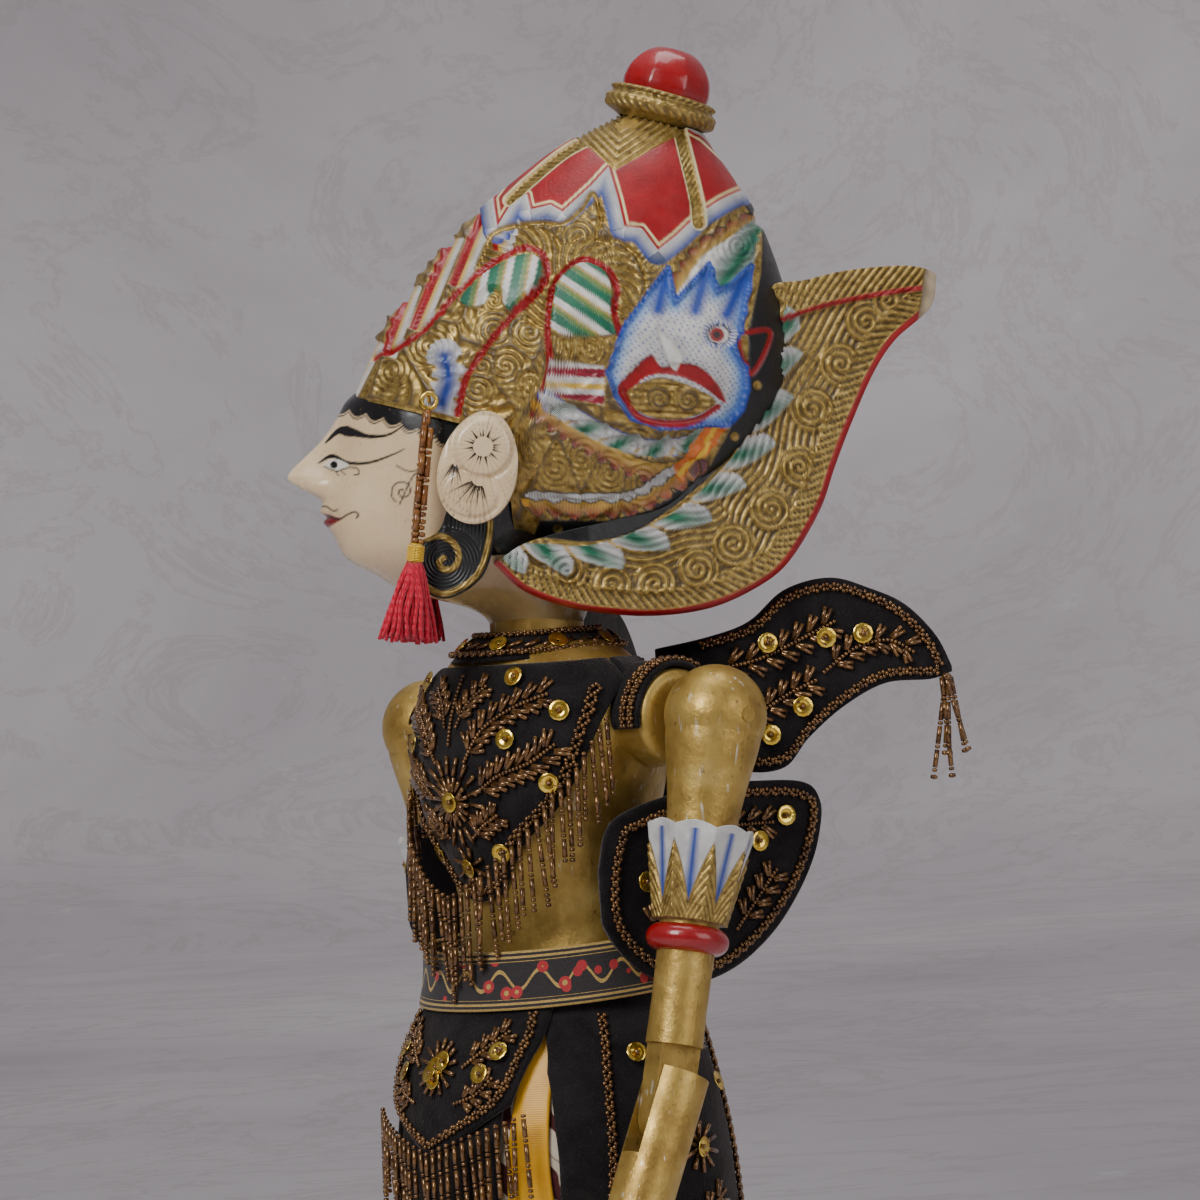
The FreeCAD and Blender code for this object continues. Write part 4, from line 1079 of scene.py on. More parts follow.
    @staticmethod
    def bands(work: Carving) -> None:
        """Paints the garland, the scallops, the band beside the bird and the rim."""
        plane = work.plane
        stripes = near(plane, np.array([(12, 79), (31, 84)], float), 14)
        strip = np.array([(11, 92), (30, 88.5), (29, 75), (8, 80)], float)
        inside = depth(plane, strip)
        work.fill(inside, Tone.WHITE)
        level = (plane[:, 1] - 82 + 0.12 * (plane[:, 0] - 20))
        for low, high, tone in ((3.4, 6.5, Tone.RED), (1.2, 2.6, Tone.WHITE), (-0.8, 1.2, Tone.YELLOW),
                (-2.6, -0.8, Tone.WHITE), (-5.5, -2.6, Tone.RED)):
            work.fill(np.minimum(inside, np.minimum(level - low, high - level)), tone, 0.3)
        work.strokes(step(inside) * 0.45, stripes.run)
        work.height += 0.5 * step(inside, 1.0)
        work.scallops([(7, 77), (22, 66), (36, 57), (46, 53.5), (57, 54)], 5.0, 6.2, Tone.BLACK,
            Tone.YELLOW, Tone.RED, -1)
        work.scallops([(9, 80), (20, 73), (33, 65), (46, 61), (60, 62)], 5.6, 4.6, Tone.BLUE, Tone.WHITE,
            Tone.WHITE, -1)
        work.leaves([(15, 70), (30, 61), (46, 56.5), (62, 59)], 13.0, 7.0, 1)
        work.scallops([(1, 45), (10, 43.5), (21, 42.5), (36, 42.5), (46, 47), (56, 52)], 6.2, 5.6,
            Tone.BLACK, Tone.YELLOW, Tone.RED, -1)
        work.scallops([(1, 47), (10, 45.5), (21, 44.5), (36, 44.5), (46, 49), (56, 54)], 6.2, 2.6,
            Tone.BLACK, Tone.WHITE, Tone.WHITE, -1)
        work.area([(54, 47), (60, 53), (67, 59), (71, 67), (66, 68), (60, 60), (53, 53)], Tone.ORANGE, 0.6)
        work.line([(54, 49), (62, 56), (68, 66)], 0.8, Tone.YELLOW, 0.3)
        rim = near(plane, smooth([(-66, 84.5), (-55, 82), (-45, 79.5), (-33, 75.5), (-22, 71.5)]), 8)
        gilt = work.fill(np.where(rim.gap < 3.0, 2.8 - rim.gap, -1.0), Tone.GOLD)
        work.lay(gilt, 1.4)

    @staticmethod
    def bird(work: Carving) -> None:
        """Paints the bird's head that looks forward over each ear."""
        plane = work.plane
        outline = np.array([(31, 86), (34, 93), (38, 102), (44, 109), (48, 114), (54, 121), (56, 109),
            (62, 115), (69, 122), (71, 112), (76, 114), (84, 121), (80, 106), (78, 98), (75, 92),
            (78.5, 85), (78.5, 78), (76, 71), (71, 66), (60, 66), (48, 66), (38, 70), (33, 78)], float)
        behind = [(56, 108), (60, 116), (67, 125), (77, 131), (88, 138), (86, 126), (82, 114), (76, 106)]
        work.scallops([(54, 109), (60, 117), (68, 126), (78, 132), (90, 138)], 5.4, 4.6, Tone.BLACK,
            Tone.YELLOW, Tone.RED, 1)
        inside = work.area(behind, Tone.WHITE, 0.8)
        leaf = near(plane, smooth([(68, 108), (76, 118), (88, 134)]), 12)
        share = step(inside) * step(6.5 - leaf.gap, 2)
        work.tint(share * np.clip(1.1 - leaf.gap / 6.0, 0, 1), Tone.GREEN)
        work.strokes(share * 0.9, leaf.run + leaf.gap)
        body = depth(plane, outline)
        work.fill(body + 1.1, Tone.BLUE)
        paint = work.fill(body, Tone.WHITE)
        work.lay(paint, 1.9 * step(body, 4.0))
        shade = np.clip(1.15 - body / 5.0, 0, 1)
        work.tint(paint * shade, Tone.SKY)
        work.tint(paint * np.clip(1.0 - body / 2.4, 0, 1), Tone.BLUE)
        scales = wave(plane[:, 0] / 1.9 + plane[:, 1] / 3.3) * wave(plane[:, 1] / 1.9 - plane[:, 0] / 3.3)
        work.tint(paint * step(scales - 0.62, 0.3) * 0.75, Tone.BLUE)
        work.strokes(paint * 0.35, plane[:, 1] * 1.1)
        for flame in ([(50, 107), (53, 117)], [(63, 106), (67.5, 118)], [(74, 104), (81.5, 117)]):
            found = near(plane, np.array(flame, float), 8)
            work.tint(paint * np.clip(1.2 - found.gap / 3.4, 0, 1), Tone.BLUE)
        lips = [(34, 80), (40, 86.5), (46.5, 91), (50, 86.5), (56, 87.5), (63, 86), (69, 80), (72, 72.5),
            (65, 78), (58, 82), (50, 84), (44, 83), (38, 78), (37, 74)]
        work.area(lips, Tone.RED, 1.2)
        mouth = work.area([(37, 78), (44, 82), (51, 82.5), (60, 79), (68, 73.5), (62, 69.5), (53, 68),
            (44, 70), (38, 74)], Tone.GOLD, 0.0)
        work.height += step(mouth) * 0.9 * wave(near(plane, smooth([(40, 76), (52, 75), (66, 73)]), 12).gap
            / 2.4)
        work.spiral((48, 76), 4.0, 1, 2.0, 1.1)
        work.spiral((58, 75), 4.0, -1, 2.0, 1.1)
        work.line([(36, 79), (40, 70.5), (50, 67), (61, 67.5), (69, 71.5)], 1.1, Tone.RED, 0.9)
        work.area([(49, 101), (50.5, 94), (53, 87), (55.5, 85), (57, 90), (54, 95), (51, 99)], Tone.WHITE,
            1.3)
        eye = plane - np.array([71.0, 97.0])
        away = np.hypot(eye[:, 0], eye[:, 1] * 1.25)
        work.fill(6.2 - away, Tone.BLUE)
        lashes = step(6.2 - away) * wave(np.arctan2(eye[:, 1], eye[:, 0]) * 26 / (2 * math.pi))
        work.tint(lashes * step(away - 4.2), Tone.WHITE)
        work.fill(4.3 - away, Tone.BLACK)
        work.fill(3.8 - away, Tone.WHITE)
        work.fill(2.6 - np.hypot(eye[:, 0] + 0.5, eye[:, 1]), Tone.RED)
        work.fill(1.2 - np.hypot(eye[:, 0] + 0.5, eye[:, 1]), Tone.BLACK)
        work.hatch *= 1 - step(6.4 - away)
        work.height += 0.9 * step(4.3 - away, 1.0)

    def build(self, finishes: "Finishes") -> None:
        """Makes the left and right halves, which meet on the middle line."""
        points = self.half()
        placed = on_lean(points)
        out = -normals(placed)
        out[0, :, 0] = 0.0
        out[-1, :, 0] = 0.0
        work = self.carve(placed[..., 1:])
        placed = placed + out * work.grid(work.height)[..., None]
        for side, name in ((1, "left_headdress"), (-1, "right_headdress")):
            shape = placed * np.array([side, 1, 1])
            faces = quads(self.columns, self.rows)[:, ::-side]
            piece = make_mesh(name, in_head(shape).reshape(-1, 3), faces)
            work.dress(piece)
            finish(piece, "rod_and_head", finishes.carving, "gold_carving", "crown")


@dataclass
class Crest:
    """The wide upswept crest behind the crown, thick at the neck and thin at its tip."""

    columns: int = 300
    rows: int = 64

    def build(self, finishes: "Finishes") -> None:
        """Makes the crest as a closed tube of cross-sections that run from neck to tip."""
        outer = along(smooth([(-13, 24), (-4, 14.5), (8, 8.5), (21, 4.8), (40, 2.2), (60, 3.4), (76.6, 9.2),
            (89, 17.6), (101, 34.5), (107.5, 49.5), (114.5, 64.5), (123.5, 81.5), (132, 92.5), (145, 103),
            (148, 114)]), self.columns)
        inner = along(smooth([(-11, 25), (-2, 30), (10, 33), (28, 36), (48, 40), (62, 52), (74, 66),
            (80, 84), (86, 111), (102.5, 115), (117, 117.5), (134.5, 118), (143.5, 116.6), (147.9, 114.3)]),
            self.columns)
        share = np.linspace(0, 1, self.rows)
        plane = outer[:, None] * (1 - share[None, :, None]) + inner[:, None] * share[None, :, None]
        half = np.interp(plane[..., 0], (20, 78, 122, 150), (40, 22, 8, 4.5))
        base = np.concatenate([half[..., None], plane], -1)
        work = self.carve(plane, outer)
        round_edge = 1 - 0.10 * np.clip(1 - work.grid(near(work.plane, outer, 12).gap) / 2.0, 0, 1) ** 2
        side = base.copy()
        side[..., 0] = base[..., 0] * round_edge + work.grid(work.height)
        middle = np.linspace(1, -1, 12)[1:-1]
        edge_out = np.stack([side[:, 0] * np.array([m, 1, 1]) for m in middle], 1)[:, ::-1]
        edge_in = np.stack([side[:, -1] * np.array([m, 1, 1]) for m in middle], 1)
        other = side[:, ::-1] * np.array([-1, 1, 1])
        ring = np.concatenate([side, edge_in, other, edge_out], 1)
        count = ring.shape[1]
        flat = np.arange(self.columns * count).reshape(self.columns, count)
        wrapped = np.hstack([flat, flat[:, :1]])
        first, last = wrapped[:-1], wrapped[1:]
        faces = np.stack([first[:, :-1], first[:, 1:], last[:, 1:], last[:, :-1]], -1).reshape(-1, 4)
        piece = make_mesh("crest_carving", in_head(ring).reshape(-1, 3), faces)

        def spread(values: Array, fill: float | None = None) -> Array:
            """Carries one side's values to the edges and to the other side."""
            grid = work.grid(values) if values.ndim == 1 else values.reshape(*work.shape, -1)
            if grid.ndim == 2:
                grid = grid[..., None]
            low = np.repeat(grid[:, :1], len(middle), 1)
            high = np.repeat(grid[:, -1:], len(middle), 1)
            if fill is not None:
                low, high = np.full_like(low, fill), np.full_like(high, fill)
            whole = np.concatenate([grid, high, grid[:, ::-1], low], 1)
            return whole.reshape(-1, whole.shape[-1]).squeeze()

        height = work.grid(work.height)
        # Painted shade where the carving is low; the edge strips get a flat 0.15 of it.
        painted_shade = np.clip((blurred(height, 4) - height) / 0.7, 0, 1).ravel()
        give(piece, "paint", spread(work.paint))
        give(piece, "gold", spread(work.gold))
        give(piece, "painted_shade", spread(painted_shade, 0.15))
        give(piece, "hatch", spread(work.hatch, 0.0))
        give(piece, "run", spread(work.run))
        finish(piece, "rod_and_head", finishes.carving, "gold_carving", "crest")

    @staticmethod
    def carve(plane: Array, outer: Array) -> Carving:
        """Carves the crest's side: leaves, flowing lines, volutes and a fluted edge.

        Args:
            plane: the grid in the side view's plane.
            outer: the outer edge's line.

        Returns:
            The relief and the paint.
        """
        work = Carving(plane)
        flat = work.plane
        edge = near(flat, outer, 60)
        flow = wave((edge.gap + 1.5 * np.sin(edge.run / 7.0)) / 2.6) ** 0.8
        work.height += flow * 1.3
        for index, centre in enumerate(((122, 99), (112, 85), (101, 70), (95, 50), (84, 36), (70, 25),
                (57, 17), (42, 13), (27, 14), (12, 20), (90, 88), (130, 106))):
            work.spiral(centre, 7.6 if index < 10 else 5.5, 1 if index % 2 else -1, 2.6, 1.7, index * 1.3)
        flutes = np.abs(np.cos(math.pi * (edge.run + 0.9 * edge.gap) / 3.1)) ** 0.6
        work.height = np.where(edge.gap < 11.0, work.height * step(edge.gap - 8.0, 3.0) + flutes * 2.1
            * step(9.0 - edge.gap, 3.0), work.height)
        top = near(flat, smooth([(84, 103), (92, 101.5), (107, 105.5), (127, 108.5), (146, 110)]), 14)
        above = step(top.gap * top.side, 0.8) * (flat[:, 1] > 98)
        plume = np.abs(np.cos(math.pi * (top.run - 1.1 * top.gap) / 3.2)) ** 0.6
        work.lay(above, plume * 2.0)
        work.leaves([(-4, 30), (6, 29), (20, 27.5), (36, 31), (52, 38), (66, 49), (77, 61), (84, 75),
            (88, 88), (92, 100)], 15.5, 10.5, -1)
        black = [(-12, 27), (2, 31.5), (20, 29), (36, 31.5), (50, 39), (64, 49), (74, 59), (80, 70),
            (84, 84), (86, 94), (92, 108), (80, 108), (60, 80), (20, 60), (-12, 40)]
        inside = depth(flat, smooth(black, 5, True))
        share = work.fill(inside, Tone.BLACK)
        work.lay(share, 0.0)
        work.line([(86, 100.5), (92, 101.5), (107, 105.5), (127, 108.5), (147, 110)], 1.1, Tone.RED, 1.2)
        work.fill(2.3 - edge.gap, Tone.RED)
        work.height = np.where(edge.gap < 2.6, 1.6, work.height)
        work.fill(0.4 - np.abs(edge.gap - 2.9), Tone.GOLD, 0.3)
        tip = flat[:, 0] - 141.5 - 0.2 * (flat[:, 1] - 104)
        bare = work.fill(tip, Tone.CREAM, 1.0)
        work.paint = work.paint * (1 - 0.45 * bare[:, None])
        work.height *= 1 - bare
        return work


# ---- small repeated shapes ------------------------------------------------------
class Trim(Enum):
    """The outlines of small turned shapes: radius and place along the axis."""

    SEED = ((0.02, -0.5), (0.9, -0.3), (0.9, 0.3), (0.02, 0.5))
    BUGLE = ((0.02, -0.5), (1.0, -0.49), (1.0, 0.49), (0.02, 0.5))
    CUP = ((1.0, 0.42), (0.98, 0.5), (0.52, 0.16), (0.2, 0.1), (0.12, 0.0), (0.5, 0.06), (1.0, 0.42))
    DOT = ((0.02, 0.5), (0.75, 0.3), (1.0, 0.0), (0.9, -0.5), (0.02, -0.5))


def unit(vectors: Array) -> Array:
    """Scales vectors to length one."""
    return vectors / np.maximum(np.linalg.norm(vectors, axis=-1, keepdims=True), 1e-9)


class Beads:
    """Many small turned shapes gathered in one piece."""

    def __init__(self, sides: int = 6) -> None:
        """Starts with none.

        Args:
            sides: flat sides round each shape.
        """
        self.sides = sides
        self.points: list[Array] = []
        self.faces: list[Array] = []
        self.count = 0

    def add(self, trim: Trim, centres: Array, axes: Array, radius: float | Array,
            size: float | Array) -> None:
        """Adds shapes.

        Args:
            trim: their outline.
            centres: their middles, in rows.
            axes: the directions of their axes.
            radius: their radius.
            size: their length along the axis.
        """
        centres = np.atleast_2d(np.asarray(centres, float))
        axes = unit(np.broadcast_to(np.asarray(axes, float), centres.shape))
        helper = np.where(np.abs(axes[:, 2:]) > 0.8, [[1.0, 0, 0]], [[0, 0, 1.0]])
        u = unit(np.cross(axes, helper))
        v = np.cross(axes, u)
        profile = np.array(trim.value)
        angle = 2 * math.pi * np.arange(self.sides) / self.sides
        radius = np.broadcast_to(np.asarray(radius, float), (len(centres),))[:, None, None, None]
        size = np.broadcast_to(np.asarray(size, float), (len(centres),))[:, None, None, None]
        ring = (np.cos(angle)[None, :, None, None] * u[:, None, None] + np.sin(angle)[None, :, None,
            None] * v[:, None, None])
        shape = (centres[:, None, None] + ring * profile[None, None, :, :1] * radius + axes[:, None,
            None] * profile[None, None, :, 1:] * size)
        each = self.sides * len(profile)
        faces = quads(self.sides, len(profile), True)
        start = self.count + each * np.arange(len(centres))
        self.points.append(shape.reshape(-1, 3))
        self.faces.append((faces[None] + start[:, None, None]).reshape(-1, 4))
        self.count += each * len(centres)

    def string(self, trim: Trim, line: Array, radius: float, size: float, gap: float) -> None:
        """Threads shapes along a line, each lying the way that the line runs.

        Args:
            trim: their outline.
            line: the thread's points.
            radius: their radius.
            size: their length.
            gap: from one to the next.
        """
        total = length(line)
        count = max(int(total / gap), 1)
        at = along(line, 2 * count + 1)
        self.add(trim, at[1::2], at[2::2] - at[:-1:2], radius, size)

    def build(self, name: str, place: Callable[[Array], Array]) -> Piece:
        """Makes the piece."""
        points = place(np.vstack(self.points))
        return make_mesh(name, points, np.vstack(self.faces))


def tube(line: Array, radius: Array | float, sides: int = 10) -> tuple[Array, Array]:
    """Makes a closed tube round a line.

    Args:
        line: its middle line's points.
        radius: its radius, one for each point or for all.
        sides: corners of its section.

    Returns:
        The grid of points, with sides first, and the faces of the flattened grid.
    """
    radius = np.broadcast_to(np.asarray(radius, float), (len(line),)).copy()
    line = np.vstack([line[:1], line, line[-1:]])
    radius = np.concatenate([[1e-4], radius, [1e-4]])
    tangent = unit(np.gradient(line, axis=0) + 1e-9)
    tangent[0], tangent[-1] = tangent[1], tangent[-2]
    normal = np.zeros_like(line)
    guess = np.array([0, 0, 1.0]) if abs(tangent[0, 2]) < 0.8 else np.array([1.0, 0, 0])
    for index, direction in enumerate(tangent):
        guess = guess - direction * (guess @ direction)
        guess = guess / np.linalg.norm(guess)
        normal[index] = guess
    other = np.cross(tangent, normal)
    angle = 2 * math.pi * np.arange(sides)[:, None, None] / sides
    grid = line + radius[:, None] * (np.cos(angle) * normal + np.sin(angle) * other)
    return grid, quads(sides, len(line), True)


def lathe(profile: Curve, sides: int = 48, axis: tuple[float, float] = (0.0, 0.0)) -> Array:
    """Turns an outline of radius and level about a vertical axis.

    Args:
        profile: radii and levels, from the bottom up.
        sides: corners round the axis.
        axis: the axis's x and y.

    Returns:
        The grid of points, with sides first.
    """
    outline = np.asarray(profile, float)
    angle = 2 * math.pi * np.arange(sides)[:, None] / sides
    x = axis[0] + outline[None, :, 0] * np.cos(angle)
    y = axis[1] + outline[None, :, 0] * np.sin(angle)
    return np.stack([x, y, np.broadcast_to(outline[None, :, 1], x.shape)], -1)


def swept(name: str, strands: Sequence[tuple[Array, Array | float]], place: Callable[[Array], Array],
        sides: int = 8) -> Piece:
    """Makes one piece out of several tubes, with the run and the turn of each held by its mesh."""
    points, faces, runs, turns, count = [], [], [], [], 0
    for line, radius in strands:
        grid, ring = tube(line, radius, sides)
        run = np.concatenate([[0, 0], np.cumsum(np.linalg.norm(np.diff(line, axis=0), axis=1)), [0]])
        run[-1] = run[-2]
        points.append(grid.reshape(-1, 3))
        faces.append(ring + count)
        runs.append(np.broadcast_to(run, grid.shape[:2]).ravel())
        angle = 2 * math.pi * np.arange(sides)[:, None] / sides
        turns.append(np.broadcast_to(angle, grid.shape[:2]).ravel())
        count += grid.shape[0] * grid.shape[1]
    piece = make_mesh(name, place(np.vstack(points)), np.vstack(faces))
    give(piece, "run", np.concatenate(runs))
    give(piece, "turn", np.concatenate(turns))
    return piece


def turned(name: str, profile: Curve, place: Callable[[Array], Array], sides: int = 48) -> Piece:
    """Makes a turned piece."""
    grid = lathe(profile, sides)
    return make_mesh(name, place(grid).reshape(-1, 3), quads(sides, len(profile), True))


@dataclass
class Face:
    """The lacquered head: a long pointed nose and features drawn with a fine brush.

    Attributes:
        skull: ovals of the head.
        columns: grid steps round the head.
        rows: grid steps from the neck up.
    """

    skull: Ovals = Ovals(((-3, 0, 14, 14), (8, -1, 20, 18), (18, -14, 34, 24), (28, -19, 44.5, 30.5),
        (42, -19.5, 49.5, 34), (60, -18, 48.5, 35.5), (82, -14, 47.5, 35), (104, -2, 40, 30)))
    columns: int = 420
    rows: int = 210

    def build(self, finishes: "Finishes") -> None:
        """Makes the head and its neck."""
        share = np.linspace(-1, 1, self.columns + 1)[:-1]
        turn = math.pi * np.sign(share) * (0.45 * np.abs(share) + 0.55 * np.abs(share) ** 2)
        level = np.linspace(-3, 100, self.rows)
        spread, height = np.meshgrid(turn, level, indexing="ij")
        grid = self.skull.at(spread, height)
        profile = np.array([(-3, -14), (8, -21), (18, -47.5), (21, -52), (24.3, -56.6), (27, -61.5),
            (29.8, -64.9), (34, -67.2), (38, -68.6), (40.5, -70.2), (42.8, -71.9), (44.4, -70.6),
            (46.3, -72.8), (48.2, -72.2), (51, -72.4), (53, -75.5), (56, -80.2), (59.2, -83.4), (62, -81.5),
            (66, -76.8), (70, -72.2), (74.9, -67.6), (80, -64.0), (84.3, -61.2), (92, -50), (100, -38)])
        front = hermite(profile[:, 0], profile[:, 1], level)
        bare = grid[0 if share[0] == 0 else self.columns // 2, :, 1]
        ahead = bare - front
        width = np.interp(level, (30, 40, 46, 52, 58, 66, 74, 84), (13, 11, 9, 7.5, 5.6, 6.2, 8.0, 14))
        mask = np.exp(-((grid[..., 0] / width[None]) ** 2))
        grid[..., 1] -= mask * ahead[None]
        x, y, z = np.abs(grid[..., 0]), grid[..., 1], grid[..., 2]
        cheek = np.exp(-(((x - 21) / 11) ** 2 + ((z - 44) / 14) ** 2)) * (y < -20)
        socket = np.exp(-(((x - 17) / 9) ** 2 + ((z - 70) / 7) ** 2)) * (y < -20)
        wing = np.exp(-(((x - 5.6) / 2.6) ** 2 + ((z - 55.5) / 3.2) ** 2)) * (y < -50)
        out = normals(grid)
        grid = grid + out * (1.3 * cheek - 1.0 * socket + 1.6 * wing)[..., None]
        work = self.draw(grid)
        closed = np.concatenate([grid, grid[:1]])[:-1]
        faces = quads(self.columns, self.rows, True)
        piece = make_mesh("painted_head", in_head(closed).reshape(-1, 3), faces)
        give(piece, "paint", work.paint)
        finish(piece, "rod_and_head", finishes.lacquer, "cream_lacquer", "head_block")
        neck = turned("gilded_neck", [(0.1, -6), (16.5, -6), (16.5, -2), (16.4, 6), (16.6, 14), (17.4, 22),
            (17, 24), (0.1, 24)], in_head)
        finish(neck, "rod_and_head", finishes.worn_gold, "gold_paint", "head_block", "head_peg")

    @staticmethod
    def draw(grid: Array) -> Carving:
        """Draws the hairline, brows, eyes, lips and whiskers.

        Args:
            grid: the head's points.

        Returns:
            The paint.
        """
        plane = np.stack([grid[..., 1], grid[..., 2]], -1)
        work = Carving(plane, Tone.CREAM)
        ink = lambda points, half: work.line(points, half, Tone.BLACK)
        under = np.clip((26 - plane[..., 1].ravel()) / 12, 0, 1)
        work.tint(under * 0.8, Tone.GOLD)
        hair = near(work.plane, smooth([(-66, 82.5), (-58, 80.5), (-45, 76), (-34, 71.5), (-24, 66),
            (-14, 60)]), 300)
        bow = 1.9 * np.abs(np.sin(math.pi * hair.run / 6.4))
        above = hair.gap * hair.side
        work.fill(above + bow, Tone.BLACK)
        work.fill(0.28 - np.abs(above + bow + 0.75), Tone.BLACK, 0.3)
        side_hair = near(work.plane, smooth([(-22, 70), (-18, 58), (-20, 44), (-22, 30)]), 300)
        behind = (work.plane[:, 0] > -30) & (work.plane[:, 1] > 27)
        work.fill(np.where(behind, side_hair.gap * side_hair.side, -1.0), Tone.BLACK)
        brow = near(work.plane, smooth([(-69, 70.5), (-64, 74), (-59, 73), (-53, 71), (-46, 71),
            (-40, 74)]), 6)
        thick = np.interp(brow.run, (0, 5, 9, 16, 26, 33), (0.35, 0.9, 1.9, 0.8, 0.4, 0.2))
        work.fill(thick - brow.gap, Tone.BLACK, 0.5)
        lid = near(work.plane, smooth([(-72, 63.5), (-67, 65.5), (-61, 62.5), (-53, 62), (-45, 64),
            (-41, 65.5)]), 6)
        work.fill(np.interp(lid.run, (0, 6, 12, 25, 33), (0.3, 0.8, 0.6, 0.4, 0.2)) - lid.gap, Tone.BLACK,
            0.5)
        white = depth(work.plane, smooth([(-70, 63), (-66, 64.5), (-61, 61.8), (-64, 60.5), (-68, 61)],
            closed=True))
        work.fill(white, Tone.WHITE, 0.4)
        ball = np.hypot(work.plane[:, 0] + 66.5, work.plane[:, 1] - 62.4)
        work.fill(np.minimum(1.35 - ball, white + 0.3), Tone.BLACK, 0.4)
        ink([(-70, 62.2), (-66, 60.2), (-61, 60.9), (-58, 60.2), (-57.5, 58.4), (-59.2, 58.2)], 0.24)
        ink([(-66, 60), (-65, 58.5)], 0.2)
        ink([(-64, 60), (-62.5, 58.6)], 0.2)
        lips = [(-76, 43.9), (-71, 45.6), (-67, 44.2), (-64.5, 43.4), (-67, 42.2), (-71, 40.6), (-76, 41)]
        mouth = depth(work.plane, smooth(lips, closed=True))
        work.fill(mouth, Tone.RED, 0.6)
        work.tint(step(mouth) * 0.35, Tone.BLACK)
        ink([(-76, 44.4), (-70, 44.6), (-66, 43.3), (-62.5, 44.6), (-60, 45.3), (-58.6, 44.2),
            (-59.4, 43.2)], 0.3)
        ink([(-74, 48), (-70.5, 48.2), (-68, 46.5), (-66, 46.6)], 0.28)
        turns = np.linspace(0.6, 3.4 * math.pi, 60)
        curl = [(-42.5 + 0.42 * t * math.cos(t), 51.0 + 0.42 * t * math.sin(t)) for t in turns]
        ink(curl[::3], 0.26)
        ink([curl[-1], (-38, 56.5), (-34, 55.0)], 0.26)
        ink([(-44, 60), (-40, 57.8), (-35, 58.2)], 0.24)
        return work


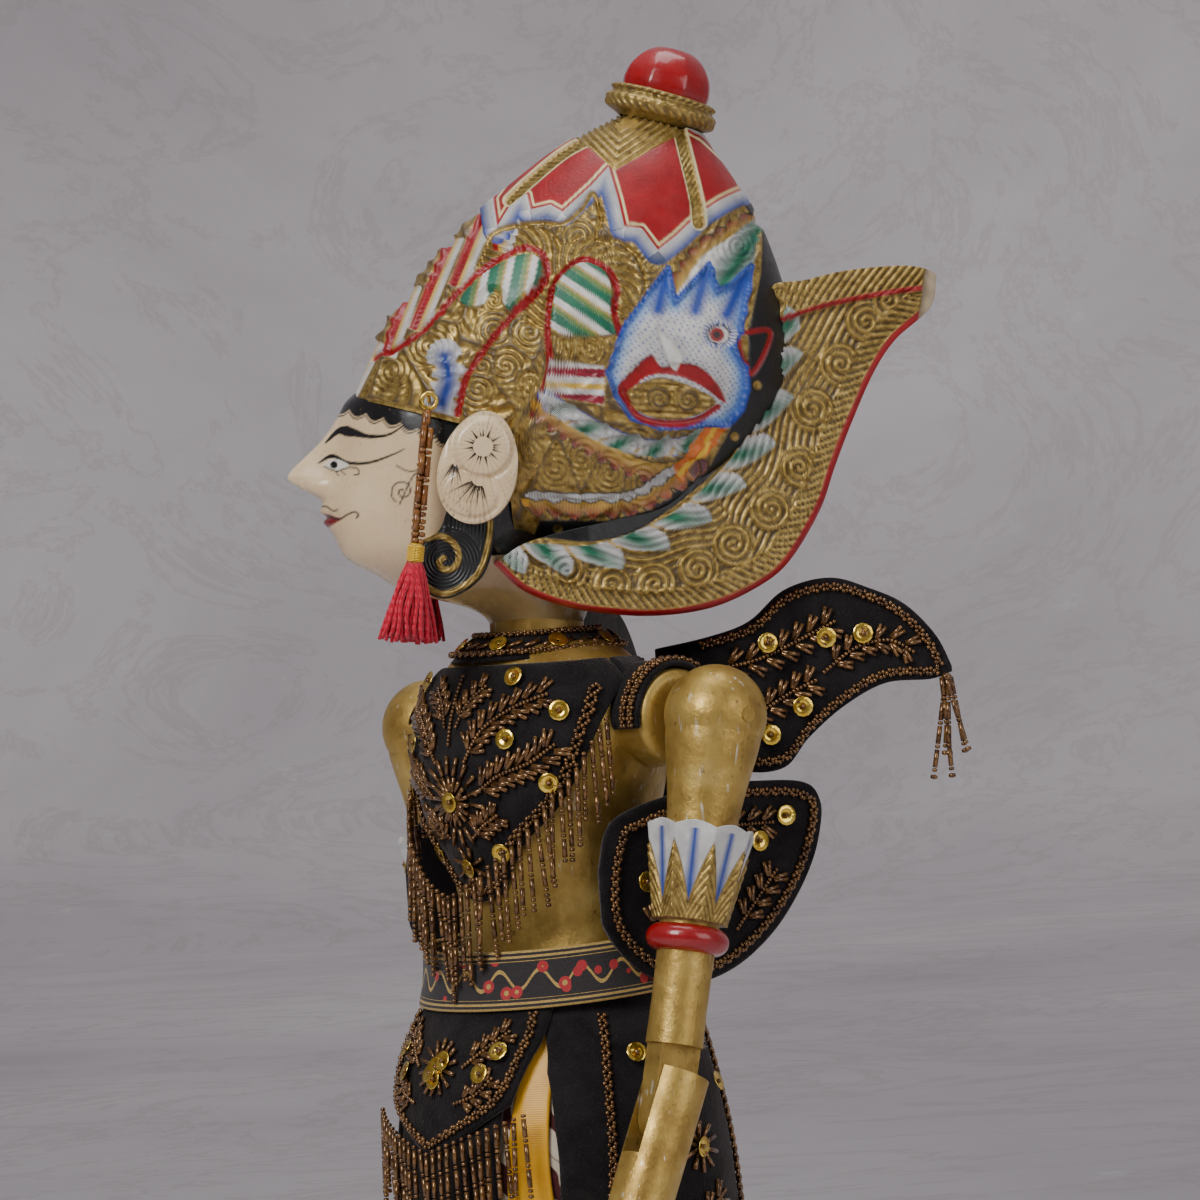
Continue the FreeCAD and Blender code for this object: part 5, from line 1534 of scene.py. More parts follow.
@dataclass
class Ears:
    """The ears, the rolled sidelocks and the finial."""

    tilt: float = math.radians(16)

    def build(self, finishes: "Finishes") -> None:
        """Makes them on both sides."""
        for side, label in ((1, "left"), (-1, "right")):
            self.ear(side, label, finishes)
            self.curl(side, label, finishes)
        self.finial(finishes)

    def ear(self, side: int, label: str, finishes: "Finishes") -> None:
        """Makes an ear: a domed long oval with a round swelling above the lobe."""
        share = np.linspace(0, 1, 90)
        turn = np.linspace(0, 2 * math.pi, 150, endpoint=False)
        angle, out = np.meshgrid(turn, share, indexing="ij")
        reach = np.minimum(out / 0.82, 1.0)
        wide = 13.5 * (1 - 0.10 * np.sin(angle))
        a = wide * reach * np.cos(angle)
        b = 19.5 * reach * np.sin(angle)
        x = 53.0 - np.clip(out - 0.82, 0, 1) / 0.18 * 14.5 - 1.6 * reach**6
        upper = 10.6 - np.hypot(a - 0.2, b - 7.2)
        lower = 1 - np.hypot((a + 1.0) / 10.2, (b + 9.5) / 8.2)
        groove = np.exp(-((upper / 1.1) ** 2)) + 0.7 * np.exp(-((lower / 0.10) ** 2)) * (upper < 1)
        x = x - np.where(out < 0.82, 1.1 * groove - 0.9 * step(upper, 4.0), 0)
        c, s = math.cos(self.tilt), math.sin(self.tilt)
        grid = np.stack([side * x, -15.5 + c * a + s * b, 57 - s * a + c * b], -1)
        work = Carving(grid[..., 1:], Tone.CREAM)
        flat = np.stack([a.ravel(), b.ravel()], -1)
        for centre, low, high, first, last, count in (((0.2, 7.2), 3.4, 7.6, 0.0, 360.0, 30),
                ((1.2, -3.2), 3.0, 12.5, 215.0, 300.0, 12), ((-8.0, 0.5), 1.5, 9.5, 235.0, 300.0, 8)):
            away = flat - np.array(centre)
            reach_in = np.hypot(away[:, 0], away[:, 1])
            degrees = np.degrees(np.arctan2(away[:, 1], away[:, 0])) % 360
            width = (last - first) / count
            index = np.floor((degrees - first) / width)
            middle = first + (index + 0.5) * width
            jitter = 0.75 + 0.25 * np.sin(index * 2.4 + centre[0])
            off = np.radians(np.abs(degrees - middle)) * reach_in
            held = (degrees > first) & (degrees < last) & (reach_in > low)
            taper = 0.52 * np.clip((high * jitter - reach_in) / (high - low), 0, 1)
            work.fill(np.where(held, taper - off, -1.0), Tone.BLACK, 0.35)
        inner = grid[:, -1].mean(0)
        grid[:, -1] = inner + (grid[:, -1] - inner) * 0.9
        faces = quads(150, 90, True)[:, ::side]
        piece = make_mesh(label + "_ear_carving", in_head(grid).reshape(-1, 3), faces)
        give(piece, "paint", work.paint)
        finish(piece, "rod_and_head", finishes.lacquer, "cream_lacquer", label + "_ear")

    @staticmethod
    def curl(side: int, label: str, finishes: "Finishes") -> None:
        """Makes a sidelock: hair that rolls into a gold-edged spiral under the ear."""
        _, b = np.meshgrid(np.linspace(0, 2 * math.pi, 160, endpoint=False), np.linspace(0.0, 1.0, 70),
            indexing="ij")
        outline = along(smooth([(-29, 13.2), (-37, 16), (-41.3, 24), (-38.5, 32.5), (-31, 36.5),
            (-27.5, 44), (-24, 52), (-14, 52), (-11.5, 42), (-12.5, 31), (-17.5, 19.5)], closed=True),
            161)[:-1]
        centre = np.array([-26.5, 29.0])
        share = np.minimum(b / 0.86, 1.0)
        plane = centre + (outline[:, None] - centre) * share[..., None]
        work = Carving(plane, Tone.BLACK)
        eye = np.array([-29.5, 25.8])
        away = work.plane - eye
        reach = np.hypot(away[:, 0], away[:, 1])
        angle = np.arctan2(away[:, 1], away[:, 0])
        rolled = (reach + 3.6 * angle / (2 * math.pi)) / 1.25
        strand = near(work.plane, smooth([(-18, 52), (-17.5, 40), (-20, 28), (-25, 20)]), 40)
        rolls = step(12.5 - reach, 2)
        combed = wave((strand.gap * strand.side) / 1.3)
        work.height += 0.55 * (rolls * wave(rolled) + (1 - rolls) * combed)
        edge = near(work.plane, np.vstack([outline, outline[:1]]), 8)
        lower = step(38 - work.plane[:, 1] + 0.6 * (work.plane[:, 0] + 20), 2)
        gilt = work.fill(np.where(lower > 0.5, 0.95 - np.abs(edge.gap - 1.7), -1.0), Tone.GOLD)
        spiral = [(eye[0] + r * math.cos(t), eye[1] + r * math.sin(t)) for t, r in ((2.2, 10.2), (1.7, 9.0),
            (1.2, 7.4), (0.6, 5.8), (-0.1, 4.4), (-0.9, 3.4), (-1.9, 2.6), (-3.1, 2.0), (-4.4, 1.4))]
        work.line(spiral, 1.0, Tone.GOLD, 1.0)
        work.height += gilt * 0.7
        x = 37.4 - 0.8 - np.clip(b - 0.86, 0, 1) / 0.14 * 16.5 - 0.8 * share**8 + work.grid(work.height) * 0.7
        x = np.where(b > 0.86, 36.4 - np.clip(b - 0.86, 0, 1) / 0.14 * 16.5, x)
        grid = np.concatenate([side * x[..., None], plane], -1)
        faces = quads(160, 70, True)[:, ::-side]
        piece = make_mesh(label + "_sidelock", in_head(grid).reshape(-1, 3), faces)
        work.dress(piece, 3)
        finish(piece, "rod_and_head", finishes.carving, "black_paint", label + "_hair_curl")

    @staticmethod
    def finial(finishes: "Finishes") -> None:
        """Makes the rope-edged ring and the red faceted bud on the crown's top."""
        place = lambda points: in_head(on_lean(points + np.array([0, 0, DOME_TOP])))
        count = 240
        outline = along(smooth([(13.5, -1), (16, 0.3), (18.6, 1.6), (19.6, 3.4), (19.4, 5.4), (17.8, 7.4),
            (18.6, 8.6), (17.2, 9.6), (12, 9.7)]), 46)
        angle = 2 * math.pi * np.arange(count)[:, None] / count
        low = 0.55 * np.exp(-(((outline[:, 1] - 2.3) / 1.1) ** 2))
        high = 0.45 * np.exp(-(((outline[:, 1] - 8.3) / 0.9) ** 2))
        ropes = low[None] * np.cos(34 * angle + 2.2 * outline[None, :, 1]) + high[None] * np.cos(38 * angle
            - 2.2 * outline[None, :, 1])
        beads = 0.5 * np.exp(-(((outline[:, 1] - 5.0) / 0.9) ** 2))[None] * np.abs(np.cos(15 * angle))
        radius = outline[None, :, 0] + ropes + beads
        grid = round_axis(radius, angle, outline[None, :, 1])
        piece = make_mesh("rope_ring", place(grid).reshape(-1, 3), quads(count, 46, True))
        give(piece, "paint", np.tile(np.array(Tone.GOLD.value), (count * 46, 1)))
        give(piece, "gold", np.ones(count * 46))
        # Painted shade in the grooves between the rope twists and the beads.
        give(piece, "painted_shade", np.clip(0.35 - (ropes + beads), 0, 1).ravel())
        finish(piece, "rod_and_head", finishes.carving, "gold_carving", "finial_ring")
        bud = along(smooth([(15.3, 8.5), (15.9, 11), (15.9, 13.6), (14.6, 18), (11.2, 22.6), (6.9, 25.4),
            (3, 26.1), (0.05, 26.2)]), 40)
        sides = 160
        angle = 2 * math.pi * np.arange(sides)[:, None] / sides
        facet = 8
        local = (angle + math.pi / facet) % (2 * math.pi / facet) - math.pi / facet
        flat = math.cos(math.pi / facet) / np.cos(local)
        radius = bud[None, :, 0] * (0.55 + 0.45 * flat / flat.max())
        grid = round_axis(radius, angle, bud[None, :, 1])
        piece = make_mesh("faceted_bud", place(grid).reshape(-1, 3), quads(sides, 40, True))
        finish(piece, "rod_and_head", finishes.red_gloss, "red_paint", "finial_bud")


@dataclass
class EarTassel:
    """An ear ornament: a wire hook, a strand of long beads, a knot and a yarn tassel.

    Attributes:
        side: 1 on the left and -1 on the right.
        label: left or right.
        hook: the hook's place.
        strand: how far the knot hangs below the hook.
        yarns: strands of yarn.
    """

    side: int
    label: str
    hook: tuple[float, float, float] = (44.0, -31.0, 81.0)
    strand: float = 52.0
    yarns: int = 64

    def build(self, finishes: "Finishes") -> None:
        """Makes the four pieces."""
        lean = math.radians(9)
        down = np.array([0, -math.sin(lean), -math.cos(lean)])
        hook = np.array(self.hook)

        def place(points: Array) -> Array:
            """Puts points of the left tassel on this side."""
            return in_head(points * np.array([self.side, 1, 1]))

        angle = np.linspace(0, 2 * math.pi, 40)
        ring = hook + 2.6 * np.stack([0 * angle, np.cos(angle), np.sin(angle)], -1)
        shank = np.array([hook + (-8, 0, 0), hook + (-4, 0, 0), hook + (-1.5, 0, 1.4), hook + (0, 0, 2.6)])
        piece = swept(self.label + "_wire_hook", [(ring, 0.8), (smooth(shank), 0.7)], place)
        finish(piece, "rod_and_head", finishes.brass, "brass", self.label + "_tassel_hook")
        beads = Beads(8)
        rng = np.random.default_rng(5)
        side_way = np.array([1.0, 0, 0])
        fore = np.cross(down, side_way)
        for x, y, start in ((1.1, 0.7, 8.5), (-1.2, 0.6, 10.0), (0.2, -1.3, 9.2), (0, 0.9, 4.0)):
            at = hook + side_way * x + fore * y
            run = start
            while run < self.strand - 4:
                size = 7.2 if (run < self.strand - 14) else 2.0
                radius = 1.15 if size > 3 else 1.35
                beads.add(Trim.BUGLE if size > 3 else Trim.SEED, at + down * (run + size / 2)
                    + rng.normal(0, 0.12, 3), down, radius, size)
                run += size + 0.3
                if size > 3:
                    beads.add(Trim.SEED, at + down * (run + 0.9), down, 1.5, 1.7)
                    run += 2.1
        beads.add(Trim.BUGLE, hook + down * 5.6, down, 1.3, 5.2)
        piece = beads.build(self.label + "_bead_strand", place)
        finish(piece, self.label + "_ear_tassel", finishes.amber, "amber_beads", self.label + "_tassel_beads")
        top = hook + down * (self.strand - 2)
        winds = []
        for index in range(6):
            turn = np.linspace(0, 2 * math.pi, 30)
            middle = top + down * (0.3 + index * 0.85)
            winds.append((middle + 2.3 * (np.cos(turn)[:, None] * side_way + np.sin(turn)[:, None] * fore),
                0.8))
        winds.append((np.array([top + down * -1, top + down * 6]), 2.2))
        piece = swept(self.label + "_wound_knot", winds, place)
        finish(piece, self.label + "_ear_tassel", finishes.yellow_thread, "yellow_thread",
            self.label + "_tassel_knot")
        strands = []
        start = hook + down * (self.strand + 4.0)
        for index in range(self.yarns):
            turn = index * GOLDEN_ANGLE
            share = math.sqrt((index + 0.5) / self.yarns)
            away = math.cos(turn) * side_way + math.sin(turn) * fore
            size = 26.5 + rng.uniform(-2.5, 1.0)
            steps = np.linspace(0, 1, 9)[:, None]
            spread = (2.2 + 8.4 * steps**0.85) * share
            wobble = 0.5 * np.sin(steps * 9 + index) * np.roll(away, 1)
            strands.append((start + down * steps * size + away * spread + wobble, 0.85 - 0.15 * steps[:, 0]))
        piece = swept(self.label + "_yarn", strands, place, 6)
        finish(piece, self.label + "_ear_tassel", finishes.red_yarn, "red_yarn", self.label + "_tassel_yarn")


# ---- the trunk and its clothes --------------------------------------------------
TRUNK = Ovals(((-150, 0, 31, 42), (-117, 0, 31.5, 41.5), (-88, 0, 31, 40), (-55, -1, 38, 48),
    (-30, 0, 37, 50), (-14, 0, 30, 42), (-4, 0, 23, 24)))
HIPS = Ovals(((-84, 0, 34.6, 44.2), (-106, 0, 34.2, 44), (-126, -1, 35.5, 45.5), (-146, -4, 43, 53),
    (-172, -5, 49, 58.5), (-220, -3, 51, 61), (-320, 0, 57, 66), (-400, 0, 63, 71), (-457, 0, 67.5, 74)))
VELVET = 2.2
HEM, SKIRT_TOP, APRON_TOP = -457, -110, -112
SEED_SIZES = (0.88, 1.35, 1.45)


class Side(Enum):
    """Where a cloth lies on the body, and what its first coordinate measures."""

    FRONT = 1
    BACK = 2
    LEFT = 3
    RIGHT = 4


@dataclass
class Layer:
    """A layer of cloth over a stack of ovals, with plane coordinates of its own.

    The second coordinate is the level. The first is x in front and behind, and y at the
    sides, so that an outline is drawn as it is seen from that side.
    """

    ovals: Ovals
    grow: float
    side: Side

    def at(self, plane: Array) -> Array:
        """Gives the points of the layer's outer face."""
        table = np.array(sorted(self.ovals.rows))
        level = plane[..., 1]
        offset, deep, wide = (hermite(table[:, 0], table[:, k], level) for k in (1, 2, 3))
        if self.side in (Side.FRONT, Side.BACK):
            turn = np.arcsin(np.clip(plane[..., 0] / (wide + self.grow), -0.999, 0.999))
            turn = turn if self.side is Side.FRONT else math.pi - turn
        else:
            turn = np.arccos(np.clip((offset - plane[..., 0]) / (deep + self.grow), -0.999, 0.999))
            turn = turn if self.side is Side.LEFT else -turn
        return self.ovals.at(turn, level, self.grow)

    def out(self, plane: Array) -> Array:
        """Gives the unit normals there, away from the body."""
        a = self.at(plane + np.array([0.4, 0])) - self.at(plane - np.array([0.4, 0]))
        b = self.at(plane + np.array([0, 0.4])) - self.at(plane - np.array([0, 0.4]))
        normal = unit(np.cross(a, b))
        away = self.at(plane) * np.array([1, 1, 0])
        return normal * np.sign((normal * away).sum(-1, keepdims=True) + 1e-9)


class Ribbon:
    """Stiff cloth that stands on a bent line, with the run outwards and the level."""

    def __init__(self, plan: Curve, side: int) -> None:
        """Lays the line.

        Args:
            plan: the line's x and y on the left side.
            side: 1 on the left and -1 on the right.
        """
        spread = math.radians(38)
        self.way = np.array([math.sin(spread), math.cos(spread)])
        points = np.asarray(plan, float)
        first, last = points[0], points[-1]
        points = np.vstack([first - (points[1] - first) * 0.6, points, last + (last - points[-2]) * 0.5])
        self.line = smooth(points, 12)
        self.reach = self.line @ self.way
        self.side = side

    def at(self, plane: Array) -> Array:
        """Gives the points of the outer face."""
        x = np.interp(plane[..., 0], self.reach, self.line[:, 0])
        y = np.interp(plane[..., 0], self.reach, self.line[:, 1])
        ahead = np.gradient(self.line, axis=0)
        nx = np.interp(plane[..., 0], self.reach, ahead[:, 1])
        ny = np.interp(plane[..., 0], self.reach, -ahead[:, 0])
        size = np.hypot(nx, ny)
        return np.stack([self.side * (x + VELVET * nx / size), y + VELVET * ny / size, plane[..., 1]], -1)

    def out(self, plane: Array) -> Array:
        """Gives the unit normals of the outer face."""
        a = self.at(plane + np.array([0.4, 0])) - self.at(plane - np.array([0.4, 0]))
        return unit(np.cross(a, [0, 0, 1.0])) * self.side


def cloth(name: str, outer: Array, out: Array, thick: float) -> Piece:
    """Makes a closed sheet from its outer face.

    Args:
        name: the piece's name.
        outer: the outer face's grid, in the trunk's frame.
        out: the normals away from the body.
        thick: the cloth's thickness.

    Returns:
        The piece.
    """
    columns, rows = outer.shape[:2]
    soft = np.ones((columns, rows))
    for axis, count in ((0, columns), (1, rows)):
        place = np.arange(count)
        edge = np.minimum(place, count - 1 - place)
        fall = 1 - 0.35 * np.exp(-edge / 0.8)
        soft *= fall[:, None] if axis == 0 else fall[None]
    inner = outer - out * thick
    face = outer - out * (thick * 0.9 * (1 - soft))[..., None]
    grid_faces = quads(columns, rows)
    across, up = np.gradient(outer, axis=0), np.gradient(outer, axis=1)
    turned_in = ((np.cross(across, up) * out).sum(-1)).mean() < 0
    front = grid_faces[:, ::-1] if turned_in else grid_faces
    count = columns * rows
    flat = np.arange(count).reshape(columns, rows)
    ring = np.concatenate([flat[:, 0], flat[-1, 1:], flat[-2::-1, -1], flat[0, -2:0:-1]])
    after = np.roll(ring, -1)
    rim = np.stack([ring, ring + count, after + count, after], -1)
    rim = rim[:, ::-1] if turned_in else rim
    faces = np.vstack([front, front[:, ::-1] + count, rim])
    points = np.vstack([face.reshape(-1, 3), inner.reshape(-1, 3)])
    piece = make_mesh(name, in_trunk(points), faces)
    steps = np.linalg.norm(np.diff(outer, axis=0), axis=-1)
    run = np.vstack([np.zeros(rows), np.cumsum(steps, 0)])
    rise = np.hstack([np.zeros((columns, 1)), np.cumsum(np.linalg.norm(np.diff(outer, axis=1), axis=-1), 1)])
    give(piece, "run", np.tile(run.ravel(), 2))
    give(piece, "rise", np.tile(rise.ravel(), 2))
    return piece


def hoop(name: str, outer: Array, inner: Array, run: Array, rise: Array) -> Piece:
    """Makes a closed band round the trunk from its outer and inner faces.

    Args:
        name: the piece's name.
        outer: the outer face's grid, whose last column lies on its first.
        inner: the inner face's grid.
        run: how far round the band each place is.
        rise: how far up the band each place is.

    Returns:
        The piece.
    """
    columns, rows = outer.shape[0] - 1, outer.shape[1]
    count = columns * rows
    faces = quads(columns, rows, True)
    flat = np.arange(count).reshape(columns, rows)
    edges = []
    for row, hand in ((0, 1), (rows - 1, -1)):
        ring = flat[:, row]
        after = np.roll(ring, -1)
        edges.append(np.stack([ring, ring + count, after + count, after], -1)[:, ::hand])
    points = np.concatenate([outer[:-1].reshape(-1, 3), inner[:-1].reshape(-1, 3)])
    piece = make_mesh(name, in_trunk(points), np.vstack([faces, faces[:, ::-1] + count, *edges]))
    for key, values in (("run", run), ("rise", rise)):
        give(piece, key, np.tile(values[:-1].ravel(), 2))
    return piece


def cut_of(outer: Array) -> tuple[tuple[float, float], float]:
    """Gives the flat width, length and area of a cloth, in metres, from its outer face."""
    across = np.linalg.norm(np.diff(outer, axis=0), axis=-1).sum(0).max()
    along_it = np.linalg.norm(np.diff(outer, axis=1), axis=-1).sum(1).max()
    a = outer[1:, 1:] - outer[:-1, :-1]
    b = outer[1:, :-1] - outer[:-1, 1:]
    area = 0.5 * np.linalg.norm(np.cross(a, b), axis=-1).sum()
    width, tall = across * MM * 1.02, along_it * MM * 1.02
    return (round(float(width), 4), round(float(tall), 4)), float(area) * MM * MM


def shaped(low: Curve, high: Curve, across: tuple[float, float], columns: int, rows: int) -> Array:
    """Fills the space between a lower and an upper line with a grid of plane points.

    Args:
        low: the lower line, as rising first coordinates and levels.
        high: the upper line.
        across: the first coordinate's range.
        columns: grid steps across.
        rows: grid steps up.

    Returns:
        The grid.
    """
    u = np.linspace(*across, columns)
    below, above = (along(smooth(line), 200) for line in (low, high))
    bottom = np.interp(u, *below[np.argsort(below[:, 0])].T)
    top = np.interp(u, *above[np.argsort(above[:, 0])].T)
    share = np.linspace(0, 1, rows)
    level = bottom[:, None] + np.maximum(top - bottom, 0.3)[:, None] * share
    return np.stack([np.broadcast_to(u[:, None], level.shape), level], -1)


def narrowed(width: Curve, bottom: tuple[float, float, float], top: float, columns: int, rows: int,
        start: Curve | None = None) -> Array:
    """Fills a cloth whose width changes with its level.

    Args:
        width: levels and half widths, or levels and last coordinates.
        bottom: the lowest level in the middle, its rise at the sides and that rise's power.
        top: the highest level.
        columns: grid steps across.
        rows: grid steps up.
        start: levels and first coordinates, where the cloth isn't its own mirror image.

    Returns:
        The grid of plane points.
    """
    s = np.linspace(-1, 1, columns)
    low = bottom[0] + bottom[1] * np.abs(s) ** bottom[2]
    level = low[:, None] + (top - low)[:, None] * np.linspace(0, 1, rows)
    last = np.interp(level, *np.array(sorted(width)).T)
    first = -last if start is None else np.interp(level, *np.array(sorted(start)).T)
    return np.stack([first + (last - first) * (s[:, None] + 1) / 2, level], -1)


def flip(hand: int, points: Curve) -> Curve:
    """Mirrors plane points where the hand is -1."""
    return [(hand * x, level) for x, level in points]


class Embroidery:
    """Seed beads, bugles and cup sequins sewn on a layer of cloth."""

    def __init__(self, layer: Layer | Ribbon) -> None:
        """Starts with none.

        Args:
            layer: the cloth that they are sewn on.
        """
        self.layer = layer
        self.beads = Beads(6)
        self.cups = Beads(12)
        self.rng = np.random.default_rng(11)

    def on(self, plane: Array, lift: float) -> Array:
        """Gives points above the cloth."""
        return self.layer.at(plane) + self.layer.out(plane) * lift

    def rope(self, line: Curve | Array, twist: float = 3.4, sharp: bool = False) -> None:
        """Sews two strings of seed beads twisted round each other along a line."""
        path = np.asarray(line, float) if sharp else smooth(line)
        path = along(path, max(int(length(path) / 0.6), 4))
        way = unit(np.gradient(path, axis=0))
        beside = np.stack([-way[:, 1], way[:, 0]], -1)
        run = np.linspace(0, length(path), len(path))
        for phase in (0.0, math.pi):
            swing = np.cos(run / twist * math.pi + phase)[:, None]
            rise = (0.9 + 0.45 * np.sin(run / twist * math.pi + phase))[:, None]
            plane = path + beside * swing * 0.95
            self.beads.string(Trim.SEED, self.on(plane, 0) + self.layer.out(plane) * rise, *SEED_SIZES)

    def row(self, line: Curve | Array) -> None:
        """Sews one string of seed beads along a line."""
        path = smooth(line)
        self.beads.string(Trim.SEED, self.on(along(path, max(int(length(path)), 3)), 0.8), 0.85, 1.3, 1.4)

    def bugles(self, centres: Array, angles: Array, size: float = 6.4) -> None:
        """Sews long beads that lie at angles."""
        centres, angles = np.atleast_2d(centres), np.atleast_1d(angles)
        way = np.stack([np.cos(angles), np.sin(angles)], -1)
        axis = self.on(centres + way, 0.9) - self.on(centres - way, 0.9)
        tilt = self.layer.out(centres) * self.rng.uniform(-0.05, 0.3, (len(centres), 1))
        self.beads.add(Trim.BUGLE, self.on(centres, 0.95), unit(axis) + tilt, 0.8, size)

    def spray(self, stem: Curve, pairs: int, size: float = 6.4, lean: float = 0.62, rows: int = 2) -> None:
        """Sews a leafy stem, with slanting bugles on both sides.

        Args:
            stem: the stem's points.
            pairs: leaves on each side.
            size: a bugle's length.
            lean: the leaves' angle from the stem.
            rows: bugles side by side in one leaf.
        """
        path = smooth(stem)
        at = along(path, pairs + 2)[1:-1]
        way = np.gradient(along(path, pairs + 2), axis=0)[1:-1]
        turn = np.arctan2(way[:, 1], way[:, 0])
        self.row(stem)
        for hand in (1, -1):
            for index in range(rows):
                angle = turn + hand * (lean + 0.30 * index)
                reach = size * 0.5 + 1.4
                centre = at + reach * np.stack([np.cos(angle), np.sin(angle)], -1)
                self.bugles(centre, angle, size)

    def flower(self, centre: tuple[float, float], low: float, high: float, count: int,
            cup: bool = True) -> None:
        """Sews rays of bugles round a middle."""
        angle = 2 * math.pi * (np.arange(count) + 0.5) / count
        way = np.stack([np.cos(angle), np.sin(angle)], -1)
        reach = low
        while reach + 5 < high + 0.1:
            self.bugles(np.array(centre) + way * (reach + 3.2), angle)
            reach += 6.9
            angle = angle + math.pi / count * 0.3
            way = np.stack([np.cos(angle), np.sin(angle)], -1)
        if cup:
            self.cup([centre])

    def cup(self, centres: Curve) -> None:
        """Sews cup sequins, each held by a seed bead."""
        plane = np.asarray(centres, float)
        out = self.layer.out(plane)
        lean = unit(out + self.rng.normal(0, 0.10, out.shape))
        self.cups.add(Trim.CUP, self.on(plane, 1.3), lean, 3.6, 1.9)
        self.beads.add(Trim.SEED, self.on(plane, 2.1), out, 1.0, 1.3)

    def build(self, name: str, body: str, finishes: "Finishes", *nodes: str) -> list[Piece]:
        """Makes the beads and the sequins as two pieces."""
        made = []
        piece = self.beads.build(name + "_beads", in_trunk)
        made.append(finish(piece, body, finishes.bronze, "bronze_beads", *nodes))
        if self.cups.count:
            piece = self.cups.build(name + "_sequins", in_trunk)
            made.append(finish(piece, body, finishes.sequin, "brass"))
        return made


def hang_strands(beads: Beads, tops: Array, lengths: Array, rng: np.random.Generator) -> None:
    """Hangs strings of bugles and seed beads, each with a knot of seeds at its end.

    Args:
        beads: the piece that gets them.
        tops: where they hang from.
        lengths: how long they are.
        rng: the sway's random numbers.
    """
    for top, size in zip(tops, lengths):
        sway = np.array([*rng.normal(0, 0.035, 2), -1.0])
        way = sway / np.linalg.norm(sway)
        beads.add(Trim.SEED, top + way * 0.7, way, 1.05, 1.5)
        run = 1.6
        while run + 9 < size:
            beads.add(Trim.BUGLE, top + way * (run + 3.3), way, 0.95, 6.4)
            beads.add(Trim.SEED, top + way * (run + 7.5), way, 1.1, 1.5)
            run += 8.5
        for _ in range(3):
            if run + 1.7 < size:
                beads.add(Trim.SEED, top + way * (run + 0.9), way, 1.15, 1.6)
                run += 1.7


